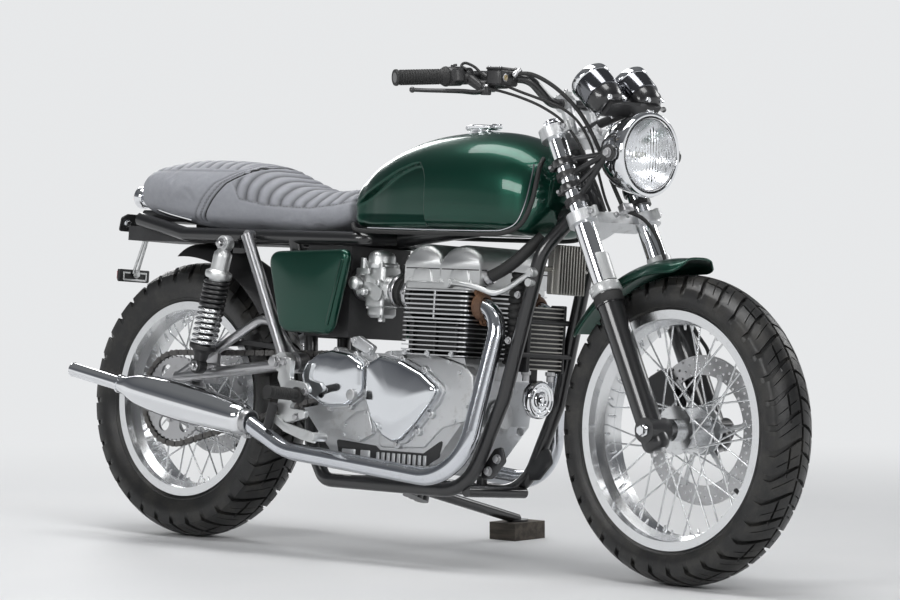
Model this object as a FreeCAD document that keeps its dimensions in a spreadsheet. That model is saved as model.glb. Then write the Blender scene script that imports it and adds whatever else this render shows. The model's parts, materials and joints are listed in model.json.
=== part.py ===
"""Cafe racer motorcycle with an air-cooled parallel twin, parked on its side stand.

The machine is drawn upright, in millimetres: +X forward from the point on the ground
under the rear axle, +Y to the rider's left, +Z up. Every piece is then leaned onto the
stand, the steered pieces after a turn about the steering axis, and the finished machine
is moved so that its origin is the centre of its floor area.
"""
import FreeCAD
import Part
import Sketcher

import math
import os

from types import SimpleNamespace

Vector = FreeCAD.Vector
Rotation = FreeCAD.Rotation
Placement = FreeCAD.Placement

# Every driving dimension in millimetres and degrees, by sub-assembly.
# A triple is a place: it becomes three sizes with the endings _x, _y and _z.
SIZES = {
    # stance
    "tyre_to_frame": 112,
    "rake": 27,
    "trail": 100,
    "lean": 4.8,
    "steer": -3.8,
    "seating_gap": 0.3,
    "cut_overrun": 4,
    # tyres
    "tyre_facets": 72,
    "front_tyre_height": 75,
    "front_tyre_half_width": 60,
    "front_tyre_widest_rise": 35,
    "front_tread_half_width": 55,
    "front_crown_radius": 76,
    "rear_tyre_height": 94,
    "rear_tyre_half_width": 68,
    "rear_tyre_widest_rise": 46,
    "rear_tread_half_width": 61,
    "rear_crown_radius": 86,
    # rims
    "front_flange_radius": 255,
    "front_rim_half_width": 51,
    "rear_flange_radius": 230,
    "rear_rim_half_width": 52,
    "rim_flange_height": 14,
    "rim_lip": 4,
    "rim_wall": 5,
    "rim_seat_width": 16,
    "rim_well_depth": 12,
    "rim_well_half_width": 14,
    # hubs and spokes
    "spoke_radius": 2,
    "spoke_count": 36,
    "spoke_cross": 58,
    "spoke_end_gap": 0.9,
    "front_hub_half_width": 48,
    "running_gap": 5,
    "front_hub_radius": 24,
    "front_flange_outer": 52,
    "hub_flange_thickness": 6,
    "hub_flange_place": 30,
    "rear_hub_radius": 40,
    "rear_flange_outer": 66,
    "axle_radius": 10,
    "axle_clearance": 0.3,
    # brake discs and sprocket
    "front_disc_radius": 160,
    "front_disc_inner": 118,
    "front_disc_place": 56,
    "disc_thickness": 5,
    "disc_hole_radius": 5,
    "disc_hole_count": 12,
    "carrier_window_radius": 18,
    "carrier_window_count": 5,
    "rear_disc_radius": 127,
    "rear_disc_inner": 92,
    "rear_disc_place": 58,
    "sprocket_pitch_radius": 108,
    "sprocket_thickness": 7,
    "sprocket_teeth": 43,
    "tooth_gap_radius": 3.4,
    "chain_pitch": 15.875,
    "chain_waist_inset": 2.6,
    "chain_place": 80,
    "chain_width": 14,
    "chain_height": 16,
    "drive_sprocket": (560, 0, 412),
    "drive_sprocket_radius": 40,
    # fork, in the fork's own frame: ahead of the steering axis, to the left, up the legs
    "fork_spread": 97,
    "fork_ahead": 55,
    "stanchion_radius": 20.5,
    "stanchion_top": 722,
    "sleeve_radius": 23,
    "sleeve_top": 486,
    "slider_radius": 28,
    "slider_top": 320,
    "slider_foot": -34,
    "slider_lug_radius": 26,
    "collar_radius": 31,
    "collar_height": 26,
    "yoke_thickness": 26,
    "upper_yoke": 690,
    "lower_yoke": 486,
    "yoke_boss_radius": 33,
    "yoke_web_width": 46,
    "steering_stem_radius": 16,
    "head_tube_radius": 30,
    "head_bearing_gap": 5.5,
    "front_axle_overhang": 10,
    # handlebar
    "bar_radius": 11,
    "bar_bend_radius": 45,
    "bar_clamp": (60, 38, 776),
    "bar_clamp_width": 28,
    "bar_corner": (60, 84, 776),
    "bar_rise": (72, 138, 826),
    "bar_knee": (10, 212, 861),
    "bar_end": (-60, 405, 880),
    "grip_radius": 17,
    "grip_length": 122,
    "grip_flange_radius": 22,
    "grip_flange_thickness": 5,
    "riser_radius": 19,
    "master_size": (34, 62, 40),
    "perch_width": 22,
    "perch_reach": 34,
    "master_rise": 36,
    "perch_stem_radius": 7.8,
    "lever_bend_radius": 18,
    "lever_radius": 6,
    "lever_knee": (46, 300, 846),
    "lever_tip": (-8, 398, 856),
    "switch_radius": 21,
    "switch_length": 34,
    # headlamp and gauges
    "lamp_centre": (209, 0, 580),
    "lamp_radius": 92,
    "lamp_depth": 118,
    "lamp_rim": 12,
    "lens_radius": 82,
    "lens_bulge": 14,
    "lamp_ear_radius": 12,
    "lamp_bracket_low": 540,
    "lamp_bracket_high": 602,
    "gauge_top": (166, 60, 779),
    "gauge_radius": 45,
    "gauge_depth": 88,
    "gauge_base_radius": 34,
    "gauge_tilt": 21.6,
    "gauge_bezel": 8,
    "gauge_bracket_thickness": 5,
    # front mudguard
    "guard_clearance": 36,
    "guard_edge_clearance": 4,
    "guard_half_width": 64,
    "guard_tab_drop": 12,
    "guard_tab_height": 38,
    "guard_tab_length": 26,
    "guard_thickness": 3,
    "guard_front_angle": 5,
    "guard_rear_angle": -58,
    # front caliper and brake hose
    "caliper_size": (58, 40, 96),
    "caliper_place": (-60, 58, 118),
    # frame
    "frame_tube_radius": 16,
    "backbone_radius": 21,
    "downtube_root": 562,
    "downtube_shoulder": (1124, 80, 699),
    "downtube_knee": (1048, 92, 371),
    "cradle_front": (956, 96, 164),
    "cradle_rear": (520, 96, 164),
    "pivot_low": (430, 54, 236),
    "pivot_high": (408, 54, 496),
    "seat_post_x": 384,
    "rail_front_x": 600,
    "rail_rear_x": 20,
    "rail_spread": 100,
    "rail_tail_x": -140,
    "rail_tail_z": 744,
    "backbone_root": 548,
    "backbone_rear": (620, 0, 718),
    "tank_mount_x": 1040,
    "cross_tube_radius": 12,
    "engine_post_x": 850,
    "engine_post_y": 70,
    "pivot_boss_radius": 20,
    "pivot_boss_inner": 44,
    "pivot_boss_outer": 71,
    "cradle_bend_radius": 110,
    "rail_bend_radius": 60,
    "stay_radius": 14,
    "stay_top_x": 262,
    "stay_bend_x": 316,
    "stay_bend_z": 610,
    "stay_foot_x": 408,
    "stay_foot_z": 432,
    "stay_boss_radius": 18,
    "stay_boss_half": 15,
    "plate_thickness": 10,
    # swingarm
    "arm_pivot": (424, 0, 424),
    "spindle_radius": 10,
    "arm_lug_radius": 24,
    "arm_lug_half": 15,
    "arm_brace_x": 372,
    "arm_brace_z": 418,
    "arm_upper_radius": 11,
    "arm_tube_radius": 14,
    "arm_spread": 105,
    "arm_rear_offset": (24, 0, 50),
    "arm_crown": (318, 0, 532),
    "arm_axle_plate": 40,
    # shocks
    "shock_top": (208, 150, 690),
    "shock_foot": (142, 150, 404),
    "shock_eye_radius": 17,
    "shock_eye_width": 24,
    "shock_body_radius": 20.7,
    "shock_spring_radius": 31,
    "shock_wire_radius": 5,
    "shock_coils": 9,
    "shock_rod_radius": 8,
    "stud_radius": 8,
    # engine
    "case_half_width": 112,
    "case_bottom": 218,
    "case_top": 456,
    "case_front": 958,
    "case_rear": 456,
    "case_bay_front": 618,
    "case_bay_floor": 352,
    "case_bay_depth": 48,
    "cover_depth": 46,
    "cover_round": 14,
    "case_corner": 92,
    "clutch_corner": (674, 0, 256),
    "clutch_length": 231,
    "clutch_height": 201,
    "clutch_round": 15,
    "oval_corner": (460, 0, 325),
    "oval_length": 206,
    "oval_height": 136,
    "oval_depth": 36,
    "oval_round": 12,
    "alternator_centre": (792, 0, 348),
    "alternator_radius": 92,
    "barrel_front": 960,
    "barrel_rear": 764,
    "barrel_half_width": 140,
    "barrel_core_inset": 16,
    "fin_thickness": 3,
    "fin_pitch": 10.4,
    "fin_corner": 24,
    "head_bottom": 536,
    "head_fin_top": 601,
    "head_top": 648,
    "head_half_width": 118,
    "cam_radius": 57,
    "cam_spacing": 106,
    "cam_half_width": 112,
    "cam_deck_margin": 45.6,
    "cam_round": 13,
    "port_rise": 36,
    "port_length": 38.4,
    "inlet_length": 41.6,
    "port_spread": 92,
    "port_radius": 26,
    # carburettors and air box
    "carb_body_radius": 34,
    "carb_spread": 60,
    "carb_rear": 600,
    "carb_rise": 70,
    "carb_bowl": (66, 56, 54),
    "carb_cap_radius": 30,
    "carb_cap_height": 46,
    "rubber_radius": 30,
    "air_box_front": 566,
    "air_box_rear": 426,
    "air_box_half_width": 96,
    "air_box_bottom": 488,
    # exhaust
    "header_radius": 20,
    "header_bore_wall": 2,
    "header_shoulder_x": 1030,
    "header_heel": (988, 158, 183),
    "header_rise": (459, 168, 226),
    "header_end": (346, 186, 286),
    "header_bend_radius": 62,
    "header_heel_radius": 120,
    "header_rise_radius": 150,
    "header_end_radius": 80,
    "header_tuck": 45,
    "silencer_start": 14,
    "silencer_collar": 24,
    "silencer_rear": (-66, 200, 350),
    "silencer_radius": 40,
    "silencer_rear_radius": 24,
    "tail_pipe_radius": 16,
    "tail_pipe_end": (-232, 202, 377),
    # tank
    "tank_front": 1118,
    "tank_rear": 540,
    "tank_half_width": 138,
    "tank_bottom": 731,
    "tank_top": 962,
    "tunnel_half_width": 52,
    "tunnel_height": 96,
    "cap_place": (862, 0, 958),
    "cap_radius": 37,
    "cap_height": 22,
    # seat and tail
    "seat_rear": -206,
    "seat_half_width": 126,
    "seat_bottom": 728,
    "seat_top": 889,
    "tray_thickness": 34,
    "tray_rear": -196,
    "tray_front": 330,
    "rear_guard_half_width": 82,
    "rear_guard_front_angle": 52,
    "rear_guard_rear_angle": -4,
    "tail_lamp_place": (-226, 0, 800),
    "tail_lamp_radius": 26,
    "tail_lamp_depth": 34,
    "tail_lamp_neck": (-206, 0, 814),
    "tail_lamp_neck_radius": 11,
    "plate_place": (-286, 0, 728),
    "plate_width": 176,
    "plate_height": 100,
    "plate_tilt": 62,
    "plate_sheet": 3,
    "reflector_place": (-262, 0, 612),
    "reflector_size": (12, 92, 30),
    "link_radius": 4,
    "plate_arm_radius": 6,
    # side covers
    "side_cover_corner": (346, 0, 492),
    "side_cover_length": 258,
    "side_cover_height": 196,
    "side_cover_place": 122,
    "side_cover_depth": 26,
    "side_cover_round": 10,
    "side_cover_peg": (452, 0, 560),
    "side_cover_peg_rise": 80,
    "side_cover_peg_step": 80,
    # footrests
    "hanger_corner": (431, 0, 288),
    "hanger_length": 105,
    "hanger_height": 149,
    "hanger_place": 164,
    "hanger_thickness": 14,
    "peg_radius": 13,
    "peg_length": 96,
    "peg_rise": 3,
    "peg_flange": 6,
    "peg_flange_radius": 18,
    "peg_place": (500, 178, 356),
    "pedal_corner": (431, 0, 246),
    "pedal_length": 142,
    "pedal_height": 60,
    "pedal_thickness": 8,
    "pedal_root": (462, 0, 284),
    "pedal_end": (604, 196, 262),
    # small fittings
    "cooler_size": (42, 120, 150),
    "cooler_place": (1062, 0, 508),
    "cooler_fins": 11,
    "cooler_fin_depth": 5,
    "cooler_tank_width": 10,
    "bracket_radius": 6,
    "horn_place": (1046, 0, 374),
    "horn_radius": 42,
    "horn_depth": 40,
    "regulator_size": (34, 96, 112),
    "regulator_place": (1128, 0, 660),
    "regulator_fins": 9,
    "regulator_fin": 14,
    "rear_caliper_size": (70, 40, 54),
    "rear_caliper_offset": (-100, 62, 16),
    "rear_caliper_mount_back": 32,
    # side stand and its block
    "stand_pivot": (612, 134, 150),
    "stand_axis_back": 6,
    "stand_axis_out": 16,
    "stand_bolt_radius": 6,
    "stand_radius": 12,
    "stand_foot_reach": 330,
    "stand_foot_back": 6,
    "stand_foot_radius": 26,
    "stand_foot_thickness": 5,
    "stand_pivot_radius": 17,
    "block_length": 80,
    "block_width": 106,
    "block_height": 41,
}


class Size(float):
    """A number that remembers the sheet expression it is worked out from."""

    def __new__(cls, value, text):
        size = super().__new__(cls, value)
        size.text = text
        return size

    def _joined(self, other, mark, value, swapped=False):
        first, second = text_of(self), text_of(other)
        if swapped:
            first, second = second, first
        return Size(value, f"({first} {mark} {second})")

    def __add__(self, other):
        return self._joined(other, "+", float(self) + float(other))

    def __radd__(self, other):
        return self._joined(other, "+", float(other) + float(self), True)

    def __sub__(self, other):
        return self._joined(other, "-", float(self) - float(other))

    def __rsub__(self, other):
        return self._joined(other, "-", float(other) - float(self), True)

    def __mul__(self, other):
        return self._joined(other, "*", float(self) * float(other))

    def __rmul__(self, other):
        return self._joined(other, "*", float(other) * float(self), True)

    def __truediv__(self, other):
        return self._joined(other, "/", float(self) / float(other))

    def __neg__(self):
        return Size(-float(self), f"(-{self.text})")


def text_of(value):
    """The sheet expression of a size, or a plain number as text."""
    return value.text if isinstance(value, Size) else f"{float(value):.9g}"


def root(value):
    """Square root that keeps the expression."""
    return Size(math.sqrt(value), f"sqrt({text_of(value)})")


def sine(value):
    """Sine of an angle in degrees that keeps the expression."""
    return Size(math.sin(math.radians(value)), f"sin({text_of(value)})")


def make_sheet(document):
    """Write every driving dimension into a sheet and return them by name."""
    sheet = document.addObject("Spreadsheet::Sheet", "Sizes")
    flat = {}
    for name, value in SIZES.items():
        if isinstance(value, tuple):
            flat.update({f"{name}_{axis}": part for axis, part in zip("xyz", value)})
        else:
            flat[name] = value
    for row, (name, value) in enumerate(flat.items(), start=1):
        sheet.set(f"A{row}", name)
        sheet.set(f"B{row}", str(value))
        sheet.setAlias(f"B{row}", name)
    return SimpleNamespace(**{name: Size(value, f"Sizes.{name}") for name, value in flat.items()})


def add_derived(size):
    """Sizes worked out from others, so that neighbours move together."""
    for wheel in ("front", "rear"):
        sizes = vars(size)
        flange = sizes[f"{wheel}_flange_radius"]
        sizes[f"{wheel}_bead_radius"] = flange - size.rim_flange_height
        sizes[f"{wheel}_tyre_radius"] = flange + sizes[f"{wheel}_tyre_height"]
        sizes[f"{wheel}_tyre_widest_radius"] = flange + sizes[f"{wheel}_tyre_widest_rise"]
    size.wheelbase = size.downtube_knee_x + size.front_tyre_radius + size.tyre_to_frame
    size.guard_radius = size.front_tyre_radius + size.guard_clearance
    size.guard_edge_radius = size.front_tyre_radius + size.guard_edge_clearance
    size.port_height = size.head_bottom + size.port_rise
    size.carb_height = size.head_bottom + size.carb_rise
    return size


doc = FreeCAD.newDocument("motorcycle")
size = add_derived(make_sheet(doc))
doc.recompute()
PIECES = {}
FORK, FRONT, REAR, WORLD = "fork", "front wheel", "rear wheel", "world"


def place(name):
    """The place that three sizes of one name give."""
    sizes = vars(size)
    return Vector(sizes[f"{name}_x"], sizes[f"{name}_y"], sizes[f"{name}_z"])


def right(vector):
    """The same place on the rider's right."""
    return Vector(vector.x, -vector.y, vector.z)


def middle(vector):
    """The same place on the centre plane."""
    return Vector(vector.x, 0, vector.z)


# Steering geometry: the axle stands ahead of the steering axis by what rake and trail leave.
rake = math.radians(size.rake)
axle_ahead = size.front_tyre_radius * math.sin(rake) - size.trail * math.cos(rake)
fork_up = Vector(-math.sin(rake), 0, math.cos(rake))
fork_forward = Vector(math.cos(rake), 0, math.sin(rake))
front_axle_place = Vector(size.wheelbase, 0, size.front_tyre_radius)
rear_axle_place = Vector(0, 0, size.rear_tyre_radius)
steering_base = front_axle_place - fork_forward * axle_ahead


def on_steering_axis(along):
    """A place on the steering axis, given its distance above the axle's level."""
    return steering_base + fork_up * along


def turned(axis, angle, centre):
    """Turn about an axis through a centre."""
    return Placement(Vector(0, 0, 0), Rotation(axis, angle), centre)


def lowest_of_wheel(placement, centre, tyre_radius, crown):
    """Height of the lowest point of a tyre whose crown is a circular arc."""
    axle = placement.Rotation.multVec(Vector(0, 1, 0))
    ring = tyre_radius - crown
    return placement.multVec(centre).z - ring * math.sqrt(1 - axle.z ** 2) - crown


def stand_as_parked():
    """Lean onto the stand, with the small pitch that sets both tyres on the floor."""
    lean = turned(Vector(1, 0, 0), -size.lean, Vector(0, 0, size.rear_crown_radius))
    steer = turned(fork_up, size.steer, steering_base)
    drop = lowest_of_wheel(lean.multiply(steer), front_axle_place, size.front_tyre_radius,
                           size.front_crown_radius)
    pitch = math.degrees(math.atan2(drop, size.wheelbase))
    parked = turned(Vector(0, 1, 0), pitch, Vector(0, 0, 0)).multiply(lean)
    rise = -lowest_of_wheel(parked, rear_axle_place, size.rear_tyre_radius, size.rear_crown_radius)
    parked = Placement(Vector(0, 0, rise), Rotation()).multiply(parked)
    return parked, parked.multiply(steer)


chassis_stance, steered_stance = stand_as_parked()
fork_frame = Placement(steering_base, Rotation(Vector(0, 1, 0), -size.rake))
STANCES = {
    None: chassis_stance,
    FORK: steered_stance.multiply(fork_frame),
    FRONT: steered_stance.multiply(Placement(front_axle_place, Rotation())),
    REAR: chassis_stance.multiply(Placement(rear_axle_place, Rotation())),
    WORLD: Placement(),
}


def keep(item, label, frame=None):
    """Give a finished sub-part its name and its place in the parked machine."""
    item.Label = label
    item.Placement = STANCES[frame].multiply(item.Placement)
    PIECES[label] = item
    return item


def feature(label, shape, frame=None):
    """Sub-part whose shape is worked out here from the sheet's sizes."""
    item = doc.addObject("Part::Feature", label)
    item.Shape = shape
    return keep(item, label, frame)


def bind(item, **sizes):
    """Tie properties of an object to the sheet."""
    for name, value in sizes.items():
        item.setExpression(name, text_of(value))


# Outlines and solids


def unit(vector):
    """The vector at length one."""
    return Vector(vector).normalize()


def rounded_run(points, radii, closed=False):
    """Wire of straight runs joined by tangent arcs at the inner points."""
    count = len(points)
    corners = range(count) if closed else range(1, count - 1)
    if not isinstance(radii, (list, tuple)):
        radii = [radii] * len(corners)
    leave, enter, arcs = {}, {}, {}
    for corner, radius in zip(corners, radii):
        before = unit(points[corner - 1] - points[corner])
        after = unit(points[(corner + 1) % count] - points[corner])
        half = before.getAngle(after) / 2
        reach = radius / math.tan(half)
        inward = unit(before + after)
        enter[corner] = points[corner] + before * reach
        leave[corner] = points[corner] + after * reach
        apex = points[corner] + inward * (radius / math.sin(half) - radius)
        arcs[corner] = Part.Arc(enter[corner], apex, leave[corner]).toShape()
    edges = []
    for corner in range(count if closed else count - 1):
        following = (corner + 1) % count
        start = leave.get(corner, points[corner])
        end = enter.get(following, points[following])
        if start.distanceToPoint(end) > size.seating_gap / size.front_tyre_radius:
            edges.append(Part.makeLine(start, end))
        if following in arcs:
            edges.append(arcs[following])
    return Part.Wire(edges)


def tube(points, radius, bend, bore=0):
    """Round tube or bar along straight runs with tangent arcs."""
    path = rounded_run(points, bend) if len(points) > 2 else Part.Wire(Part.makeLine(*points))
    along = points[1] - points[0]
    solid = path.makePipe(Part.Face(Part.Wire(Part.makeCircle(radius, points[0], along))))
    if bore:
        inner = path.makePipe(Part.Face(Part.Wire(Part.makeCircle(bore, points[0], along))))
        solid = solid.cut(inner)
    return solid


def rod(start, end, radius, end_radius=None):
    """Straight round bar between two places, tapered where a second radius is given."""
    along = end - start
    if end_radius is None:
        return Part.makeCylinder(radius, along.Length, start, along)
    return Part.makeCone(radius, end_radius, along.Length, start, along)


def block(centre, extent):
    """Box about a centre."""
    corner = centre - extent / 2
    return Part.makeBox(extent.x, extent.y, extent.z, corner)


def prism(points, near, far, radius=0):
    """Plate in the XZ plane between two lateral places, its corners rounded."""
    corners = [Vector(x, near, z) for x, z in points]
    wire = rounded_run(corners, radius, closed=True) if radius else Part.makePolygon(corners + corners[:1])
    return Part.Face(wire).extrude(Vector(0, far - near, 0))


def mirrored(shape):
    """The shape on the other side of the centre plane."""
    return shape.mirror(Vector(0, 0, 0), Vector(0, 1, 0))


def both_sides(shape):
    """A right-hand shape with its left-hand twin, as separate solids."""
    return Part.makeCompound([shape, mirrored(shape)])


def fused(shapes):
    """One solid of shapes that run into each other."""
    return shapes[0].multiFuse(shapes[1:]).removeSplitter()


def ring_section(centre, half_width, low, high, fullness, points=20):
    """Closed smooth section across the machine, flat or full by its fullness."""
    places = []
    half_height = (high - low) / 2
    for index in range(points):
        angle = 2 * math.pi * index / points
        side, rise = math.cos(angle), math.sin(angle)
        power = 2 / (fullness[0] if rise >= 0 else fullness[1])
        across = math.copysign(abs(side) ** power, side) * half_width
        upward = math.copysign(abs(rise) ** power, rise) * half_height
        places.append(Vector(centre, across, low + half_height + upward))
    curve = Part.BSplineCurve()
    curve.interpolate(places, PeriodicFlag=True)
    return Part.Wire(curve.toShape())


def skinned(stations, fullness):
    """Smooth solid through sections given as place, half width, low and high."""
    wires = [ring_section(*station, fullness) for station in stations]
    return Part.makeLoft(wires, True, False)


def turned_profile(points, centre, axis_direction):
    """Solid of revolution from radius and distance pairs along an axis."""
    corners = [Vector(radius, 0, along) for radius, along in points]
    wire = Part.makePolygon(corners + corners[:1])
    solid = Part.Face(wire).revolve(Vector(0, 0, 0), Vector(0, 0, 1), 360)
    solid.Placement = Placement(centre, Rotation(Vector(0, 0, 1), axis_direction))
    return solid


def outline_of(name, shares):
    """Outline from shares of a length and a height, from the low rear corner of that name."""
    sizes = vars(size)
    corner = place(f"{name}_corner")
    return [(corner.x + sizes[f"{name}_length"] * along, corner.z + sizes[f"{name}_height"] * rise)
            for along, rise in shares]


def rounded_plate(centre, extent, radius):
    """Level plate about a centre, with rounded upright corners."""
    half = extent / 2
    corners = [Vector(centre.x + half.x * ahead, centre.y + half.y * aside, centre.z - half.z)
               for ahead, aside in ((-1, -1), (1, -1), (1, 1), (-1, 1))]
    return Part.Face(rounded_run(corners, radius, closed=True)).extrude(Vector(0, 0, extent.z))


# Bodies with sketches


def origin_feature(body, role):
    """A plane or axis of the body's own origin."""
    return next(item for item in body.Origin.OriginFeatures if item.Role == role)


def new_body(label):
    """Empty body with its own origin."""
    return doc.addObject("PartDesign::Body", label)


def new_sketch(body, plane, name):
    """Sketch on one of the body's origin planes."""
    sketch = body.newObject("Sketcher::SketchObject", f"{body.Name}_{name}")
    sketch.AttachmentSupport = [(origin_feature(body, plane), "")]
    sketch.MapMode = "FlatFace"
    return sketch


def hold_point(sketch, geometry, end, corner):
    """Hold one sketch point by two dimensions from the origin."""
    for kind, axis, value in (("DistanceX", -2, corner[0]), ("DistanceY", -1, corner[1])):
        if float(value) == 0:
            sketch.addConstraint(Sketcher.Constraint("PointOnObject", geometry, end, axis))
            continue
        index = sketch.addConstraint(
            Sketcher.Constraint(kind, -1, 1, geometry, end, float(value)))
        sketch.setExpression(f"Constraints[{index}]", text_of(value))


def draw_outline(sketch, corners):
    """Closed outline of corners; a corner marked "via" is the middle of an arc."""
    steps = []
    stops = [index for index, corner in enumerate(corners) if corner[0] != "via"]
    for stop, following in zip(stops, stops[1:] + stops[:1]):
        between = corners[(stop + 1) % len(corners)]
        via = between[1:] if between[0] == "via" else None
        steps.append((corners[stop], via, corners[following]))
    ends = []
    for start, via, end in steps:
        first, last = Vector(*start, 0), Vector(*end, 0)
        if via is None:
            index = sketch.addGeometry(Part.LineSegment(first, last))
            ends.append((index, 1, 2))
            continue
        arc = Part.Arc(first, Vector(*via, 0), last)
        index = sketch.addGeometry(arc)
        drawn = sketch.Geometry[index]
        forward = drawn.StartPoint.distanceToPoint(first) < drawn.EndPoint.distanceToPoint(first)
        ends.append((index, 1, 2) if forward else (index, 2, 1))
    for (first, _, tail), (second, head, _) in zip(ends, ends[1:] + ends[:1]):
        sketch.addConstraint(Sketcher.Constraint("Coincident", first, tail, second, head))
    for (index, head, _), (start, via, _) in zip(ends, steps):
        hold_point(sketch, index, head, start)
        if via is not None:
            point = sketch.addGeometry(Part.Point(Vector(*via, 0)), True)
            hold_point(sketch, point, 1, via)
            sketch.addConstraint(Sketcher.Constraint("PointOnObject", point, 1, index))


def draw_circle(sketch, centre, radius):
    """Circle held by its centre and radius."""
    index = sketch.addGeometry(Part.Circle(Vector(*centre, 0), Vector(0, 0, 1), radius))
    hold_point(sketch, index, 3, centre)
    held = sketch.addConstraint(Sketcher.Constraint("Radius", index, float(radius)))
    sketch.setExpression(f"Constraints[{held}]", text_of(radius))


def revolved_body(label, corners, plane="XY_Plane", axis="Y_Axis"):
    """Body of revolution from one outline."""
    body = new_body(label)
    sketch = new_sketch(body, plane, "outline")
    draw_outline(sketch, corners)
    revolution = body.newObject("PartDesign::Revolution", f"{label}_revolution")
    revolution.Profile = sketch
    revolution.ReferenceAxis = (origin_feature(body, axis), [""])
    revolution.Angle = 360
    return body


def pad_of(body, sketch, length, name):
    """Pad of a sketch to a length."""
    pad = body.newObject("PartDesign::Pad", f"{body.Name}_{name}")
    pad.Profile = sketch
    bind(pad, Length=length)
    return pad


def padded_body(label, corners, length, plane="XZ_Plane"):
    """Body padded from one outline; from the XZ plane it grows to the right."""
    body = new_body(label)
    sketch = new_sketch(body, plane, "outline")
    draw_outline(sketch, corners)
    pad_of(body, sketch, length, "pad")
    return body


def ringed(body, tool, count, axis):
    """Repeat a feature of a body round an axis of its origin."""
    pattern = body.newObject("PartDesign::PolarPattern", f"{tool.Name}_ring")
    pattern.Originals = [tool]
    pattern.Axis = (origin_feature(body, axis), [""])
    pattern.Angle = 360
    pattern.Occurrences = int(count)
    body.Tip = pattern
    return pattern


# Wheels


# Height and bulge of the tyre's wall, and places across its crown.
TYRE_WALL_SHARES = [(0.50, 0.80), (1.00, 1.00)]
TYRE_CROWN_SHARES = [1.00, 0.60]


def make_tyre(label, frame, radius, half_width, widest, tread, crown, flange, bead, rim_half):
    """Tyre ring of flat bands and facets; the middles of its facets lie on the round tyre."""
    bead_half = rim_half - size.rim_lip
    edge = radius - crown + root(crown * crown - tread * tread)
    half = [(bead, bead_half), (flange, bead_half)]
    for far, bulge in TYRE_WALL_SHARES:
        half.append((flange + (widest - flange) * far, bead_half + (half_width - bead_half) * bulge))
    for share in TYRE_CROWN_SHARES:
        half.append((radius - crown + root(crown * crown - tread * tread * share * share), tread * share))
    patch = crown * sine(size.lean + size.lean)
    half.append((radius - crown + root(crown * crown - patch * patch), patch))
    other = [(away, -lateral) for away, lateral in reversed(half)]
    return feature(label, faceted_ring(half + [(radius, 0)] + other), frame)


def faceted_ring(profile):
    """Closed ring of flat facets round Y, from pairs of radius and lateral place."""
    count = int(size.tyre_facets)
    reach = 1 / math.cos(math.pi / count)
    rings = []
    for index in range(count):
        angle = math.pi * (index + index + 1) / count
        aim = Vector(math.cos(angle), 0, math.sin(angle)) * reach
        rings.append([aim * float(away) + Vector(0, lateral, 0) for away, lateral in profile])
    faces = []
    for ring, following in zip(rings, rings[1:] + rings[:1]):
        for corner, point in enumerate(ring):
            after = (corner + 1) % len(ring)
            corners = [point, ring[after], following[after], following[corner], point]
            faces.append(Part.Face(Part.makePolygon(corners)))
    shell = Part.Shell(faces)
    shell.sewShape()
    return Part.Solid(shell)


def make_rim(label, frame, flange, bead, half_width):
    """Rim ring: lips, bead seats and a well of one wall thickness."""
    inner_half = half_width - size.rim_lip
    seat_half = inner_half - size.rim_seat_width
    well = bead - size.rim_well_depth
    half = [
        (flange, half_width),
        (flange, inner_half),
        (bead, inner_half),
        (bead, seat_half),
        (well, size.rim_well_half_width),
    ]
    inside = [
        (bead - size.rim_wall, half_width),
        (bead - size.rim_wall, seat_half),
        (well - size.rim_wall, size.rim_well_half_width),
    ]
    outer = half + [(radius, -lateral) for radius, lateral in reversed(half)]
    inner = [(radius, -lateral) for radius, lateral in inside] + list(reversed(inside))
    return keep(revolved_body(label, outer + inner), label, frame)


def make_spokes(rim_radius, flange_radius):
    """Crossed spokes from both hub flanges to the rim, heads on either face of a flange."""
    spokes = []
    per_side = int(size.spoke_count) // 2
    for side in (1, -1):
        for index in range(per_side):
            lean = 1 if index % 2 else -1
            face = lean * (size.hub_flange_thickness / 2 - size.spoke_radius / 2)
            angle = 360 / per_side * (index + (side > 0) / 2)
            root_angle = math.radians(angle + lean * size.spoke_cross)
            tip_angle = math.radians(angle)
            start = Vector(math.cos(root_angle) * flange_radius, side * size.hub_flange_place + face,
                           math.sin(root_angle) * flange_radius)
            tip = Vector(math.cos(tip_angle) * rim_radius, side * size.rim_well_half_width / 2,
                         math.sin(tip_angle) * rim_radius)
            spokes.append(rod(start, tip, size.spoke_radius))
    return spokes


def make_hub(label, frame, right_end, left_end, radius, flange, rim_bead):
    """Hub barrel with two spoke flanges, a bore for the axle and the laced spokes."""
    lateral = Vector(0, 1, 0)
    bore = size.axle_radius + size.axle_clearance
    barrel = rod(lateral * -right_end, lateral * left_end, radius)
    flanges = []
    for side in (1, -1):
        inner = lateral * (side * size.hub_flange_place - size.hub_flange_thickness / 2)
        flanges.append(rod(inner, inner + lateral * size.hub_flange_thickness, flange))
    well = rim_bead - size.rim_well_depth - size.rim_wall - size.spoke_end_gap
    spokes = make_spokes(well, flange - size.spoke_radius * 2)
    solid = barrel.multiFuse(flanges + spokes)
    solid = solid.cut(rod(lateral * -(right_end + size.cut_overrun),
                          lateral * (left_end + size.cut_overrun), bore))
    return feature(label, solid, frame)


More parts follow.
